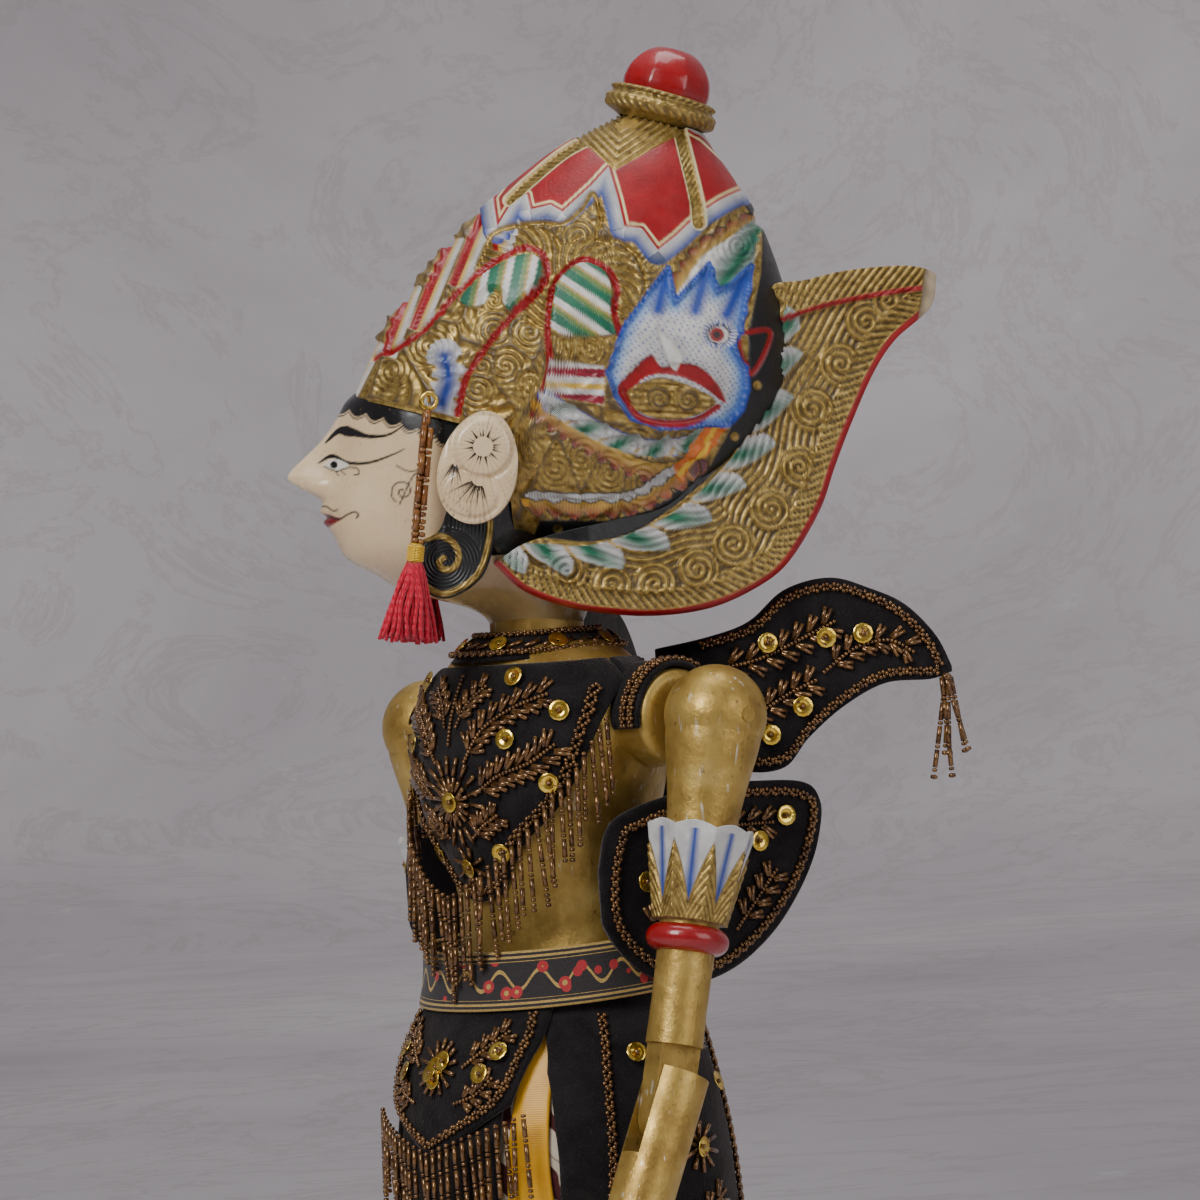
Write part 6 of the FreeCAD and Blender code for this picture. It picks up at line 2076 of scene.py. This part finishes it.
@dataclass
class Clothes:
    """The velvet, brocade, satin and batik on the trunk."""

    finishes: Finishes

    def sheet(self, name: str, layer: Layer | Ribbon, plane: Array, thick: float, material: Material,
            slot: str, nodes: Sequence[str],
            outer: Array | None = None, out: Array | None = None) -> Piece:
        """Makes a cloth on a layer and says how it was cut.

        Args:
            name: the piece's name.
            layer: what it lies on.
            plane: its grid of plane points.
            thick: its thickness.
            material: its finish.
            slot: its material slot's name.
            nodes: CAD nodes that it stands for.
            outer: its outer face, where that isn't the layer's own.
            out: that face's normals.

        Returns:
            The piece.
        """
        outer = layer.at(plane) if outer is None else outer
        piece = cloth(name, outer, layer.out(plane) if out is None else out, thick)
        finish(piece, "torso", material, slot, *nodes)
        flat, area = cut_of(outer)
        LOG.info("%s: cut %s, area %.5f", name, flat, area)
        return piece

    def build(self) -> None:
        """Makes every garment."""
        self.collar()
        self.bib()
        self.cape()
        self.skirt()
        self.aprons()
        for side, label in ((1, "left"), (-1, "right")):
            self.wings(side, label)
            self.shoulder(side, label)
            self.hip_panel(side, label)
            self.sash(side, label)
        self.belt()

    def collar(self) -> None:
        """Makes the stand-up neck band, with ropes of beads round it."""
        finishes = self.finishes
        profile = [(18.4, -9.5), (31.2, -9.5), (28.4, -7.0), (25.4, -4.6), (22.8, -2.8), (20.9, -1.3),
            (19.4, -0.9), (18.4, -1.6), (18.4, -9.5)]
        piece = turned("neck_band", profile, in_trunk, 96)
        finish(piece, "torso", finishes.velvet, "black_velvet", "collar")
        beads, cups = Beads(6), Beads(12)
        angle = np.linspace(0, 2 * math.pi, 260)
        for radius, level in ((21.6, -1.6), (30.2, -7.6)):
            for phase in (0, math.pi):
                r = radius + 0.8 * np.cos(angle * 24 + phase)
                z = level + 0.9 + 0.5 * np.sin(angle * 24 + phase)
                beads.string(Trim.SEED, round_axis(r, angle, z), *SEED_SIZES)
        leaf = 2 * math.pi * np.arange(26) / 26
        middle = round_axis(26, leaf, -4.2)
        way = np.stack([-np.sin(leaf) - 0.5 * np.cos(leaf), np.cos(leaf) - 0.5 * np.sin(leaf),
            0 * leaf + 0.35], -1)
        beads.add(Trim.BUGLE, middle, way, 0.8, 6.0)
        cup = 2 * math.pi * (np.arange(8) + 0.5) / 8
        out = round_axis(1.0, cup, 1.1)
        cups.add(Trim.CUP, out * [27, 27, 0] + [0, 0, -4.0], out, 3.4, 1.8)
        piece = beads.build("neck_band_beads", in_trunk)
        finish(piece, "torso", finishes.bronze, "bronze_beads")
        piece = cups.build("neck_band_sequins", in_trunk)
        finish(piece, "torso", finishes.sequin, "brass")

    def shawl(self, name: str, side: Side, lower: Curve, node: str) -> None:
        """Makes a velvet yoke on the front or the back, down to a lower line.

        Args:
            name: the piece's name.
            side: front or back.
            lower: the lower line, as x and level.
            node: its CAD node.
        """
        layer = Layer(TRUNK, 0.4 + VELVET, side)
        edge = along(smooth(lower), 200)
        levels = np.linspace(-94, -10.5, 240)
        turn = np.linspace(-1, 1, 121) * math.radians(89.5)
        table = np.array(sorted(TRUNK.rows))
        wide = hermite(table[:, 0], table[:, 3], levels) + layer.grow
        x = wide[None] * np.sin(turn)[:, None]
        limit = np.interp(np.abs(x), edge[:, 0], edge[:, 1])
        lowest = levels[np.argmax(levels[None] >= limit, 1)]
        lowest = np.convolve(np.pad(lowest, 2, "edge"), np.ones(5) / 5, "valid")
        share = np.linspace(0, 1, 70)
        level = lowest[:, None] + (-10.5 - lowest[:, None]) * share
        around = turn[:, None] + 0 * level
        outer = TRUNK.at(around if side is Side.FRONT else math.pi - around, level, layer.grow)
        out = normals(outer) * (1 if side is Side.FRONT else -1)
        self.sheet(name, layer, level, VELVET, self.finishes.velvet, "black_velvet",
            [node], outer, out)

    def bib(self) -> None:
        """Makes the front yoke, its embroidery and its fringe."""
        edge = [(0, -93), (11, -90), (18, -81), (24, -74), (38, -62), (46, -48), (50, -33), (50.5, -18)]
        layer = Layer(TRUNK, 0.4 + VELVET, Side.FRONT)
        work = Embroidery(layer)
        inner = [(0, -89.5), (10, -86.5), (16.5, -78), (22.5, -70.5), (36, -59), (43.5, -46), (47, -32),
            (47, -20)]
        for hand in (1, -1):
            work.rope(flip(hand, inner))
            work.spray(flip(hand, [(8, -44), (16, -33), (27, -26), (37, -22)]), 8, 6.4)
            work.spray(flip(hand, [(12, -55), (22, -49), (33, -45), (41, -39)]), 8, 6.4)
            work.spray(flip(hand, [(6, -70), (12, -66), (20, -62)]), 4, 5.0)
            work.spray(flip(hand, [(3, -32), (7, -24), (14, -18)]), 4, 5.0)
            work.cup(flip(hand, [(26, -36.5), (38, -52), (17, -75), (24, -16), (41, -28)]))
        work.flower((0, -57), 2.5, 17, 18, False)
        work.flower((0, -57), 0.5, 7, 8, True)
        work.flower((0, -80), 1.5, 8, 8, True)
        work.row([(0, -38), (0, -14)])
        sewn = work.build("bib", "torso", self.finishes)
        rng = np.random.default_rng(3)
        t = np.linspace(-1, 1, 43)
        a = np.radians(75 * t)
        tops = np.stack([54.0 * np.sin(a), -1 - 45.5 * np.cos(a), -89 + 58 * np.abs(t) ** 1.4], -1)
        beads = Beads(6)
        hang_strands(beads, tops, 37 - 8 * np.abs(t) + rng.uniform(-4, 1, len(t)), rng)
        piece = beads.build("bib_bead_fringe", in_trunk)
        finish(piece, "torso", self.finishes.bronze, "bronze_beads", "bib_fringe")
        self.shawl("velvet_bib", Side.FRONT, edge, "bib")

    def cape(self) -> None:
        """Makes the back yoke and its embroidery."""
        edge = [(0, -72), (20, -66), (38, -52), (50, -30), (50.5, -18)]
        work = Embroidery(Layer(TRUNK, 0.4 + VELVET, Side.BACK))
        for hand in (1, -1):
            work.rope(flip(hand, [(0, -68.5), (18, -62.5), (35, -49), (45.5, -30), (46, -20)]))
            work.spray(flip(hand, [(5, -48), (15, -38), (28, -30), (38, -27)]), 8)
            work.spray(flip(hand, [(3, -30), (10, -22), (20, -17)]), 5, 5.0)
            work.cup(flip(hand, [(26, -47), (12, -58), (30, -20)]))
        work.flower((0, -50), 1.5, 9, 10)
        sewn = work.build("cape", "torso", self.finishes)
        self.shawl("velvet_cape", Side.BACK, edge, "cape")

    def shoulder(self, side: int, label: str) -> None:
        """Makes the yoke's end over one shoulder: a half sleeve edged with a rope of beads."""
        a, x = np.meshgrid(np.radians(np.linspace(-98, 98, 61)), np.linspace(38, 62.5, 26), indexing="ij")
        _, fore, rise = SHOULDER_AT
        grow = 17.4 + VELVET + 0.35 * np.cos(3 * a)
        out = np.stack([0 * a, np.sin(a), np.cos(a)], -1)
        outer = np.stack([side * x, fore + grow * np.sin(a), rise + grow * np.cos(a)], -1)
        beads = Beads(6)
        run = np.radians(np.linspace(-96, 96, 150))
        for edge in (60.6, 56.6):
            for phase in (0, math.pi):
                r = 20.4 + 0.4 * np.sin(run * 19 + phase)
                line = np.stack([side * (edge + 0.9 * np.cos(run * 19 + phase)), fore + r * np.sin(run),
                    rise + r * np.cos(run)], -1)
                beads.string(Trim.SEED, line, *SEED_SIZES)
        piece = beads.build(label + "_shoulder_beads", in_trunk)
        finish(piece, "torso", self.finishes.bronze, "bronze_beads")
        flap = cloth(label + "_shoulder_flap", outer, out, VELVET)
        finish(flap, "torso", self.finishes.velvet, "black_velvet")
        flat, area = cut_of(outer)

    def wings(self, side: int, label: str) -> None:
        """Makes the upper wing, with its bead tassel, and the lobe beside the waist."""
        plan = [(14, 42.5), (34, 41.5), (50, 50.5), (61.5, 72), (88, 116)]
        ribbon = Ribbon(plan, side)
        top = [(40, -10), (60, -6.5), (74, -2), (87, 8), (103, 11.2), (117, 6.5), (129, 0), (139, -11.5),
            (144, -23)]
        low = [(40, -12), (50, -40), (66, -53), (82, -54), (92, -44), (105, -34), (120, -27), (136, -26.7),
            (144, -24.5)]
        plane = shaped(low, top, (42, 143.8), 150, 50)
        work = Embroidery(ribbon)
        work.rope([(58, -9.5), (74, -5), (87, 4.8), (103, 8), (117, 3.3), (127, -3), (135.5, -13),
            (139.5, -22.5)])
        work.rope([(139, -24), (120, -23.6), (105, -30.6), (92, -40.5), (82, -50.4), (67, -49.5), (56, -40)])
        work.spray([(60, -18), (74, -16), (90, -10), (104, -4)], 7)
        work.spray([(98, -22), (110, -14), (122, -12), (131, -17)], 6, 5.4)
        work.spray([(62, -36), (74, -34), (86, -28), (96, -24)], 6, 6.0)
        work.cup([(79, -10), (100, -9.5), (113, -9), (90, -33), (70, -26), (78, -42)])
        sewn = work.build(label + "_wing", "torso", self.finishes)
        beads = Beads(6)
        tip = ribbon.at(np.array([[141.5, -26.5]]))[0]
        rng = np.random.default_rng(9)
        tops = tip + rng.normal(0, 0.8, (6, 3)) * [1, 1, 0.3]
        beads.add(Trim.DOT, tip + [0, 0, 0.5], [0, 0, 1], 2.0, 2.4)
        for index, start in enumerate(tops):
            lean = ribbon.way * (index - 2.5) * 2.6
            line = start + np.linspace(0, 1, 2)[:, None] * np.array([side * lean[0], lean[1],
                -34 + index % 3 * 3.0])
            way = unit(line[1] - line[0])
            run = 0.0
            while run + 8.5 < length(line):
                beads.add(Trim.BUGLE, line[0] + way * (run + 3.3), way, 0.95, 6.4)
                beads.add(Trim.SEED, line[0] + way * (run + 7.4), way, 1.1, 1.5)
                run += 8.3
            beads.add(Trim.SEED, line[0] + way * (run + 1.5), way, 1.5, 1.8)
        piece = beads.build(label + "_tip_tassel", in_trunk)
        finish(piece, "torso", self.finishes.bronze, "bronze_beads", label + "_wing_tassel")
        self.sheet(label + "_velvet_wing", ribbon, plane, VELVET, self.finishes.velvet, "black_velvet",
            [label + "_wing"])
        plan = [(55.4, -16), (57, 0), (57.6, 20), (58.8, 40), (63, 74)]
        ribbon = Ribbon(plan, side)
        top = [(15, -84), (22, -66), (50, -58), (76, -57.5), (90, -60), (94.3, -68)]
        low = [(15, -86), (15.5, -101), (23, -114), (34, -122.5), (47, -124.5), (61, -120), (74, -110),
            (84, -97), (90.5, -84), (94.3, -69)]
        plane = shaped(low, top, (15.4, 94.0), 120, 60)
        work = Embroidery(ribbon)
        work.rope([(24, -70), (50, -62), (76, -61.4), (87.5, -64), (90.3, -69), (86.8, -82), (80.5, -94.6),
            (71, -106.4), (59, -116), (47, -120.3), (35, -118.5), (25.6, -111), (19.5, -100), (20, -84),
            (24, -70)])
        work.spray([(30, -108), (36, -96), (48, -88), (62, -84)], 7, 6.0)
        work.spray([(34, -76), (46, -74), (60, -72), (76, -72)], 7, 6.0)
        work.spray([(60, -108), (68, -98), (76, -88)], 4, 5.4)
        work.cup([(30, -88), (50, -104), (70, -78), (56, -96), (40, -82), (80, -70)])
        sewn = work.build(label + "_lobe", "torso", self.finishes)
        self.sheet(label + "_velvet_lobe", ribbon, plane, VELVET, self.finishes.velvet, "black_velvet",
            [label + "_wing_lobe"])

    def skirt(self) -> None:
        """Makes the long batik skirt, with soft folds that deepen towards the hem."""
        turn = np.linspace(0, 2 * math.pi, 361)
        level = np.linspace(HEM, SKIRT_TOP, 120)
        angle, height = np.meshgrid(turn, level, indexing="ij")
        depth_of_fold = 3.2 * np.clip((-150 - height) / 300, 0, 1)
        folds = depth_of_fold * (np.sin(11 * angle + 0.5) * 0.6 + np.sin(17 * angle + 1.9 + height / 160)
            * 0.4 - 0.9)
        outer = HIPS.at(angle, height, folds)
        out = normals(outer)
        out[0] = out[-1] = unit(out[0] + out[-1])
        outer[-1] = outer[0]
        inner = outer - out * 1.6
        piece = hoop("batik_skirt", outer, inner, angle * 62, height - HEM)
        finish(piece, "torso", self.finishes.batik, "batik", "sarong")
        flat_size, area = cut_of(outer)
        LOG.info("skirt: cut %s, area %.5f", flat_size, area)

    def aprons(self) -> None:
        """Makes the two aprons, one over the other, with flowers and a fringe."""
        layer = Layer(HIPS, 2.6 + VELVET, Side.FRONT)
        plane = narrowed([(-366, 18), (-346, 20), (-300, 25), (-220, 27), (-150, 28), (-108, 26)],
            (-366, 20, 1.4), APRON_TOP, 61, 130)
        work = Embroidery(layer)
        for hand in (1, -1):
            work.rope(flip(hand, [(0, -361), (14, -344), (20.5, -300), (22.5, -220), (23, -185)]))
            for level in (-215, -262, -308):
                work.spray(flip(hand, [(3, level - 14), (9, level - 4), (14, level + 8)]), 4, 5.2)
        for level in (-205, -250, -296, -338):
            work.flower((0, level), 2.5, 9.5, 10)
        sewn = work.build("lower_apron", "torso", self.finishes)
        self.sheet("lower_velvet_apron", layer, plane, VELVET, self.finishes.velvet, "black_velvet",
            ["lower_apron"])
        layer = Layer(HIPS, 5.3 + VELVET, Side.FRONT)
        plane = narrowed([(-178, 30), (-160, 33), (-140, 37.5), (-120, 36), (-108, 34)], (-178, 18, 1.3),
            APRON_TOP, 81, 50)
        work = Embroidery(layer)
        for hand in (1, -1):
            work.rope(flip(hand, [(0, -174), (15, -167), (29, -157.5), (33.5, -140), (32, -130)]))
            work.spray(flip(hand, [(12, -148), (20, -142), (27, -136)]), 4, 5.2)
            work.spray(flip(hand, [(11, -160), (20, -157), (26, -151)]), 4, 4.6)
            work.cup(flip(hand, [(21, -150), (26, -143)]))
        work.flower((0, -148), 3.5, 13, 14, False)
        work.cup([(0, -148), (-2.8, -150), (2.8, -146), (0, -152)])
        sewn = work.build("upper_apron", "torso", self.finishes)
        rng = np.random.default_rng(4)
        t = np.linspace(-1, 1, 25)
        a = np.radians(38 * t)
        tops = np.stack([66 * np.sin(a), -6.5 - 57 * np.cos(a), -176 + 13 * np.abs(t)], -1)
        beads = Beads(6)
        hang_strands(beads, tops, 31 + rng.uniform(-4, 1, len(t)), rng)
        piece = beads.build("apron_bead_fringe", in_trunk)
        finish(piece, "torso", self.finishes.bronze, "bronze_beads", "apron_fringe")
        self.sheet("upper_velvet_apron", layer, plane, VELVET, self.finishes.velvet, "black_velvet",
            ["upper_apron"])

    def hip_panel(self, side: int, label: str) -> None:
        """Makes the velvet panel on one hip."""
        layer = Layer(HIPS, 2.6 + VELVET, Side.LEFT if side > 0 else Side.RIGHT)
        s = np.linspace(0, 1, 81)
        front = [(-318, -8), (-280, -36), (-220, -44), (-170, -42), (-150, -40), (-130, -34), (-108, -30)]
        back = [(-318, -6), (-290, 14), (-230, 36), (-180, 44), (-150, 40), (-130, 35.5), (-108, 35)]
        low = np.full((len(s), 1), -318.0)
        level = low + (APRON_TOP - low) * np.linspace(0, 1, 120)
        first = np.interp(level, *np.array(front).T)
        last = np.interp(level, *np.array(back).T)
        plane = np.stack([first + (last - first) * s[:, None], level], -1)
        work = Embroidery(layer)
        work.rope([(-20, -132), (-26, -160), (-30, -220), (-24, -280), (-7, -312), (10, -288), (30, -230),
            (37, -182), (34, -152), (30, -134)])
        work.spray([(-16, -176), (-8, -162), (4, -150), (18, -142)], 7, 6.0)
        work.spray([(-22, -232), (-10, -216), (4, -204), (18, -196)], 7, 6.0)
        work.spray([(-14, -282), (-4, -266), (6, -254), (16, -244)], 6, 6.0)
        work.flower((6, -180), 2.5, 9.5, 10)
        work.flower((0, -236), 2.5, 9.5, 10)
        work.cup([(-14, -146), (24, -160), (-18, -200), (24, -216), (-4, -292), (10, -272)])
        sewn = work.build(label + "_hip", "torso", self.finishes)
        self.sheet(label + "_velvet_panel", layer, plane, VELVET, self.finishes.velvet, "black_velvet",
            [label + "_hip_panel"])

    def sash(self, side: int, label: str) -> None:
        """Makes the pointed satin sash between the apron and the hip."""
        layer = Layer(HIPS, 0.5 + 1.6, Side.FRONT)
        inner = [(-388, 27), (-220, 27.5), (-150, 30), (-108, 33)]
        outer = [(-388, 57), (-300, 49.5), (-220, 44.5), (-130, 39), (-108, 38)]
        plane = narrowed(outer, (-388, 0, 1.0), APRON_TOP, 41, 110, inner)
        plane[..., 0] *= side
        self.sheet(label + "_satin_sash", layer, plane, 1.6, self.finishes.satin, "yellow_satin",
            [label + "_sash"])

    def belt(self) -> None:
        """Makes the woven band round the waist, lower in front."""
        turn = np.linspace(0, 2 * math.pi, 241)
        rise = np.linspace(0, 20, 21)
        angle, up = np.meshgrid(turn, rise, indexing="ij")
        level = -126 + up - 3.4 * np.cos(angle)
        outer = HIPS.at(angle, level, 9.8 - 0.35 * np.clip(np.abs(up - 10) - 8.5, 0, 2))
        inner = HIPS.at(angle, level, 8.0)
        piece = hoop("woven_belt", outer, inner, angle * 50, up)
        finish(piece, "torso", self.finishes.brocade, "brocade", "belt")


@dataclass
class Armlet:
    """The flared, painted cup on an upper arm.

    Attributes:
        side: 1 on the left and -1 on the right.
        label: left or right.
        swing: the arm's forward angle at rest, in degrees.
    """

    side: int
    label: str
    swing: float

    def build(self, finishes: Finishes) -> None:
        """Makes the cup, whose eight faces each carry a white feathered point between gold petals."""
        columns, rows = 320, 90
        angle = np.linspace(0, 2 * math.pi, columns, endpoint=False)[:, None]
        share = np.linspace(0, 1, rows)[None]
        facet = 2 * math.pi / 8
        local = (angle + facet / 2) % facet - facet / 2
        corner = np.interp(share, (0, 0.27, 1), (19.0, 17.2, 12.6))
        radius = corner * math.cos(facet / 2) / np.cos(local)
        across = local / (facet / 2)
        level = -38 - 33 * share - 2.0 * (1 - share) * np.abs(across) ** 1.6
        plane = np.stack([across * corner * 0.40, -33 * share + 0 * across], -1)
        work = Carving(plane, Tone.WHITE)
        u, s = np.abs(across + 0 * share).ravel(), (share + 0 * across).ravel()
        gold = s - 0.22 - 0.66 * (1 - u)
        work.tint(np.clip(1.0 - u * 3.2 * (1.15 - s), 0, 1) * (s > 0.08), Tone.BLUE)
        work.tint(np.clip(0.75 - 9 * (np.abs(gold)), 0, 1), Tone.SKY)
        work.strokes(np.full(len(u), 0.7), (across + 0 * share).ravel() * 11)
        share_gold = work.fill(gold * 14, Tone.GOLD)
        ribs = np.abs(np.cos(math.pi * (s * 9 - (1 - u) * 3.0))) ** 0.7
        work.height += share_gold * (0.35 + 0.75 * ribs)
        work.fill(0.8 - np.abs(gold * 14), Tone.GOLD)
        outer_r = radius + work.grid(work.height) * 0.8
        wall = round_axis(outer_r, angle, level)
        lip = round_axis(radius[:, :1] - 1.6, angle, level[:, :1])
        well = round_axis(11.0, angle, -50.0)
        hub = round_axis(9.4, angle, -50.6)
        foot = round_axis(9.4, angle, -71.2)
        grid = np.concatenate([hub, well, lip, wall, foot], 1)
        extra = lambda values, dull: np.concatenate([np.tile(dull, (columns, 3, 1)), values,
            np.tile(dull, (columns, 1, 1))], 1)
        turn = math.radians(self.swing)
        pivot = np.array(SHOULDER_AT) * [self.side, 1, 1]

        def place(points: Array) -> Array:
            """Swings points of the hanging arm forward and carries them to the shoulder."""
            x, y, z = points[..., 0], points[..., 1], points[..., 2]
            swung = np.stack([x, y * math.cos(turn) + z * math.sin(turn), -y * math.sin(turn) + z
                * math.cos(turn)], -1)
            return in_trunk(swung + pivot)

        total = rows + 4
        piece = make_mesh(self.label + "_cup_armlet", place(grid).reshape(-1, 3), quads(columns, total,
            True)[:, ::-1])
        paint = work.paint.reshape(columns, rows, 3)
        give(piece, "paint", extra(paint, np.array(Tone.WHITE.value)).reshape(-1, 3))
        for key, values in (("gold", work.gold), ("hatch", work.hatch), ("run", work.run)):
            give(piece, key, extra(values.reshape(columns, rows, 1), np.zeros(1)).ravel())
        height = work.grid(work.height)
        # Painted shade where the carving is low, and a flat 0.2 of it on the hub, well, lip and foot.
        painted_shade = np.clip((blurred(height, 3) - height) / 0.6, 0, 1) * 0.8
        give(piece, "painted_shade", extra(painted_shade[..., None], np.array([0.2])).ravel())
        finish(piece, self.label + "_upper_arm", finishes.carving, "armlet_paint", self.label + "_armlet")


def dress_wood(finishes: Finishes) -> None:
    """Gives the turned and carved CAD pieces their finishes."""
    worn = finishes.worn_gold
    looks = {"torso_block": worn, "control_rod": finishes.plain_wood, "torso_stop": finishes.plain_wood}
    for label in ("left", "right"):
        looks.update({label + "_upper_arm": worn, label + "_shoulder_plug": worn, label + "_forearm": worn,
            label + "_elbow_pin": worn, label + "_bracelet": finishes.red_gloss,
            label + "_armlet_ring": finishes.red_gloss, label + "_arm_rod": finishes.dark_wood,
            label + "_hand_cord": finishes.cord})
    looks["shoulder_cord"] = finishes.cord
    for node, material in looks.items():
        mesh = bpy.data.objects[node].data
        mesh.materials.clear()
        mesh.materials.append(material)


def dress_trunk(finishes: Finishes) -> None:
    """Makes the clothes and the armlets, and dresses the wood."""
    dress_wood(finishes)
    Clothes(finishes).build()
    Armlet(1, "left", 14.3).build(finishes)
    Armlet(-1, "right", -6.0).build(finishes)


# ---- studio ---------------------------------------------------------------------
@dataclass
class Studio:
    """A pale mottled floor and backdrop, soft lights and the camera.

    Attributes:
        aim: how far the picture's middle is from the rod, across the view, and its height.
        away: from the picture's middle to the camera.
        tilt: the camera's roll, in radians.
        lens: its focal length, in mm.
        sensor: its sensor's width, in mm.
    """

    aim: tuple[float, float] = (0.02273, 0.61594)
    away: float = 2.0
    tilt: float = 0.0698
    lens: float = 171.4
    sensor: float = 36.0

    def build(self) -> None:
        """Sets up the scene round the puppet."""
        across = Vector((0.616, 0.788, 0)).normalized()
        back = Vector((across.y, -across.x, 0))
        right = (across * math.cos(self.tilt) - Vector((0, 0, 1)) * math.sin(self.tilt)).normalized()
        up = back.cross(right).normalized()
        middle = across * self.aim[0] + Vector((0, 0, self.aim[1]))
        data = bpy.data.cameras.new("camera")
        data.lens, data.sensor_width = self.lens, self.sensor
        data.clip_start, data.clip_end = 0.05, 30.0
        camera = bpy.data.objects.new("camera", data)
        camera.matrix_world = Matrix.Translation(middle + back * self.away) @ Matrix((right, up,
            back)).transposed().to_4x4()
        bpy.context.scene.collection.objects.link(camera)
        bpy.context.scene.camera = camera
        self.backdrop()
        self.lights(across, back, middle)

    @staticmethod
    def backdrop() -> None:
        """Makes a wide floor and a round wall of mottled grey-lilac plaster."""
        angle = np.linspace(0, 2 * math.pi, 97)[:-1]
        rows = [(0.0, 0.0), (9.0, 0.0), (10.6, 0.3), (11.7, 1.4), (12.0, 3.0), (12.0, 12.0)]
        outline = np.array([(0.0, 0.0), (2.0, 0.0), (5.0, 0.0), *along(smooth(rows[1:], 6), 37)])
        grid = round_axis(outline[None, :, 0], angle[:, None], outline[None, :, 1])
        wall = make_mesh("plaster", grid.reshape(-1, 3), quads(96, 40, True))
        shader = Shader("plaster", Roughness=0.9, Specular_IOR_Level=0.15)
        cloud = shader.ramp(shader.noise(0.42, 7, None, 0.62, 0.6), (0.30, (0.52, 0.485, 0.50)),
            (0.50, (0.64, 0.60, 0.615)), (0.72, (0.78, 0.735, 0.745)))
        veins = shader.ramp(shader.noise(1.2, 8, None, 0.7, 2.5), (0.47, 0.0), (0.50, 0.30), (0.53, 0.0))
        base = shader.mix(veins, cloud, (0.44, 0.385, 0.38))
        flecks = shader.ramp(shader.noise(5, 6, None, 0.75), (0.62, 0.0), (0.70, 0.35))
        shader.colour(shader.mix(flecks, base, (0.86, 0.83, 0.83)))
        shader.bump(shader.noise(14, 6), 0.2, 0.008)
        wall.data.materials.append(shader.material)

    @staticmethod
    def lights(across: Vector, back: Vector, middle: Vector) -> None:
        """Hangs two large soft lights and a low fill, and sets the room's glow."""
        for name, side, front, rise, size, power in (("key", -1.1, 1.5, 1.1, 0.9, 30.0), ("fill", 1.5, 1.3,
                0.5, 1.4, 13.0), ("top", 0.1, -0.2, 1.8, 1.2, 18.0)):
            data = bpy.data.lights.new(name, "AREA")
            data.energy, data.size = power, size
            lamp = bpy.data.objects.new(name, data)
            place = middle + across * side + back * front + Vector((0, 0, rise))
            lamp.matrix_world = Matrix.Translation(place) @ (place - middle).to_track_quat("Z",
                "Y").to_matrix().to_4x4()
            bpy.context.scene.collection.objects.link(lamp)
        data = bpy.data.lights.new("daylight", "SUN")
        data.energy, data.angle = 1.5, 0.7
        lamp = bpy.data.objects.new("daylight", data)
        way = (back - across * 0.55 + Vector((0, 0, 0.75))).normalized()
        lamp.matrix_world = way.to_track_quat("Z", "Y").to_matrix().to_4x4()
        bpy.context.scene.collection.objects.link(lamp)
        world = bpy.data.worlds.new("room")
        bpy.context.scene.world = world
        world.use_nodes = True
        world.node_tree.nodes["Background"].inputs["Color"].default_value = (0.86, 0.88, 0.94, 1)
        world.node_tree.nodes["Background"].inputs["Strength"].default_value = 0.34


def main() -> None:
    """Builds the puppet and its studio."""
    logging.basicConfig(level=logging.INFO, format="%(name)s: %(message)s")
    finishes = make_finishes()
    Headdress().build(finishes)
    Crest().build(finishes)
    Face().build(finishes)
    Ears().build(finishes)
    for side, label in ((1, "left"), (-1, "right")):
        EarTassel(side, label).build(finishes)
    dress_trunk(finishes)
    Studio().build()


if __name__ == "__main__":
    main()
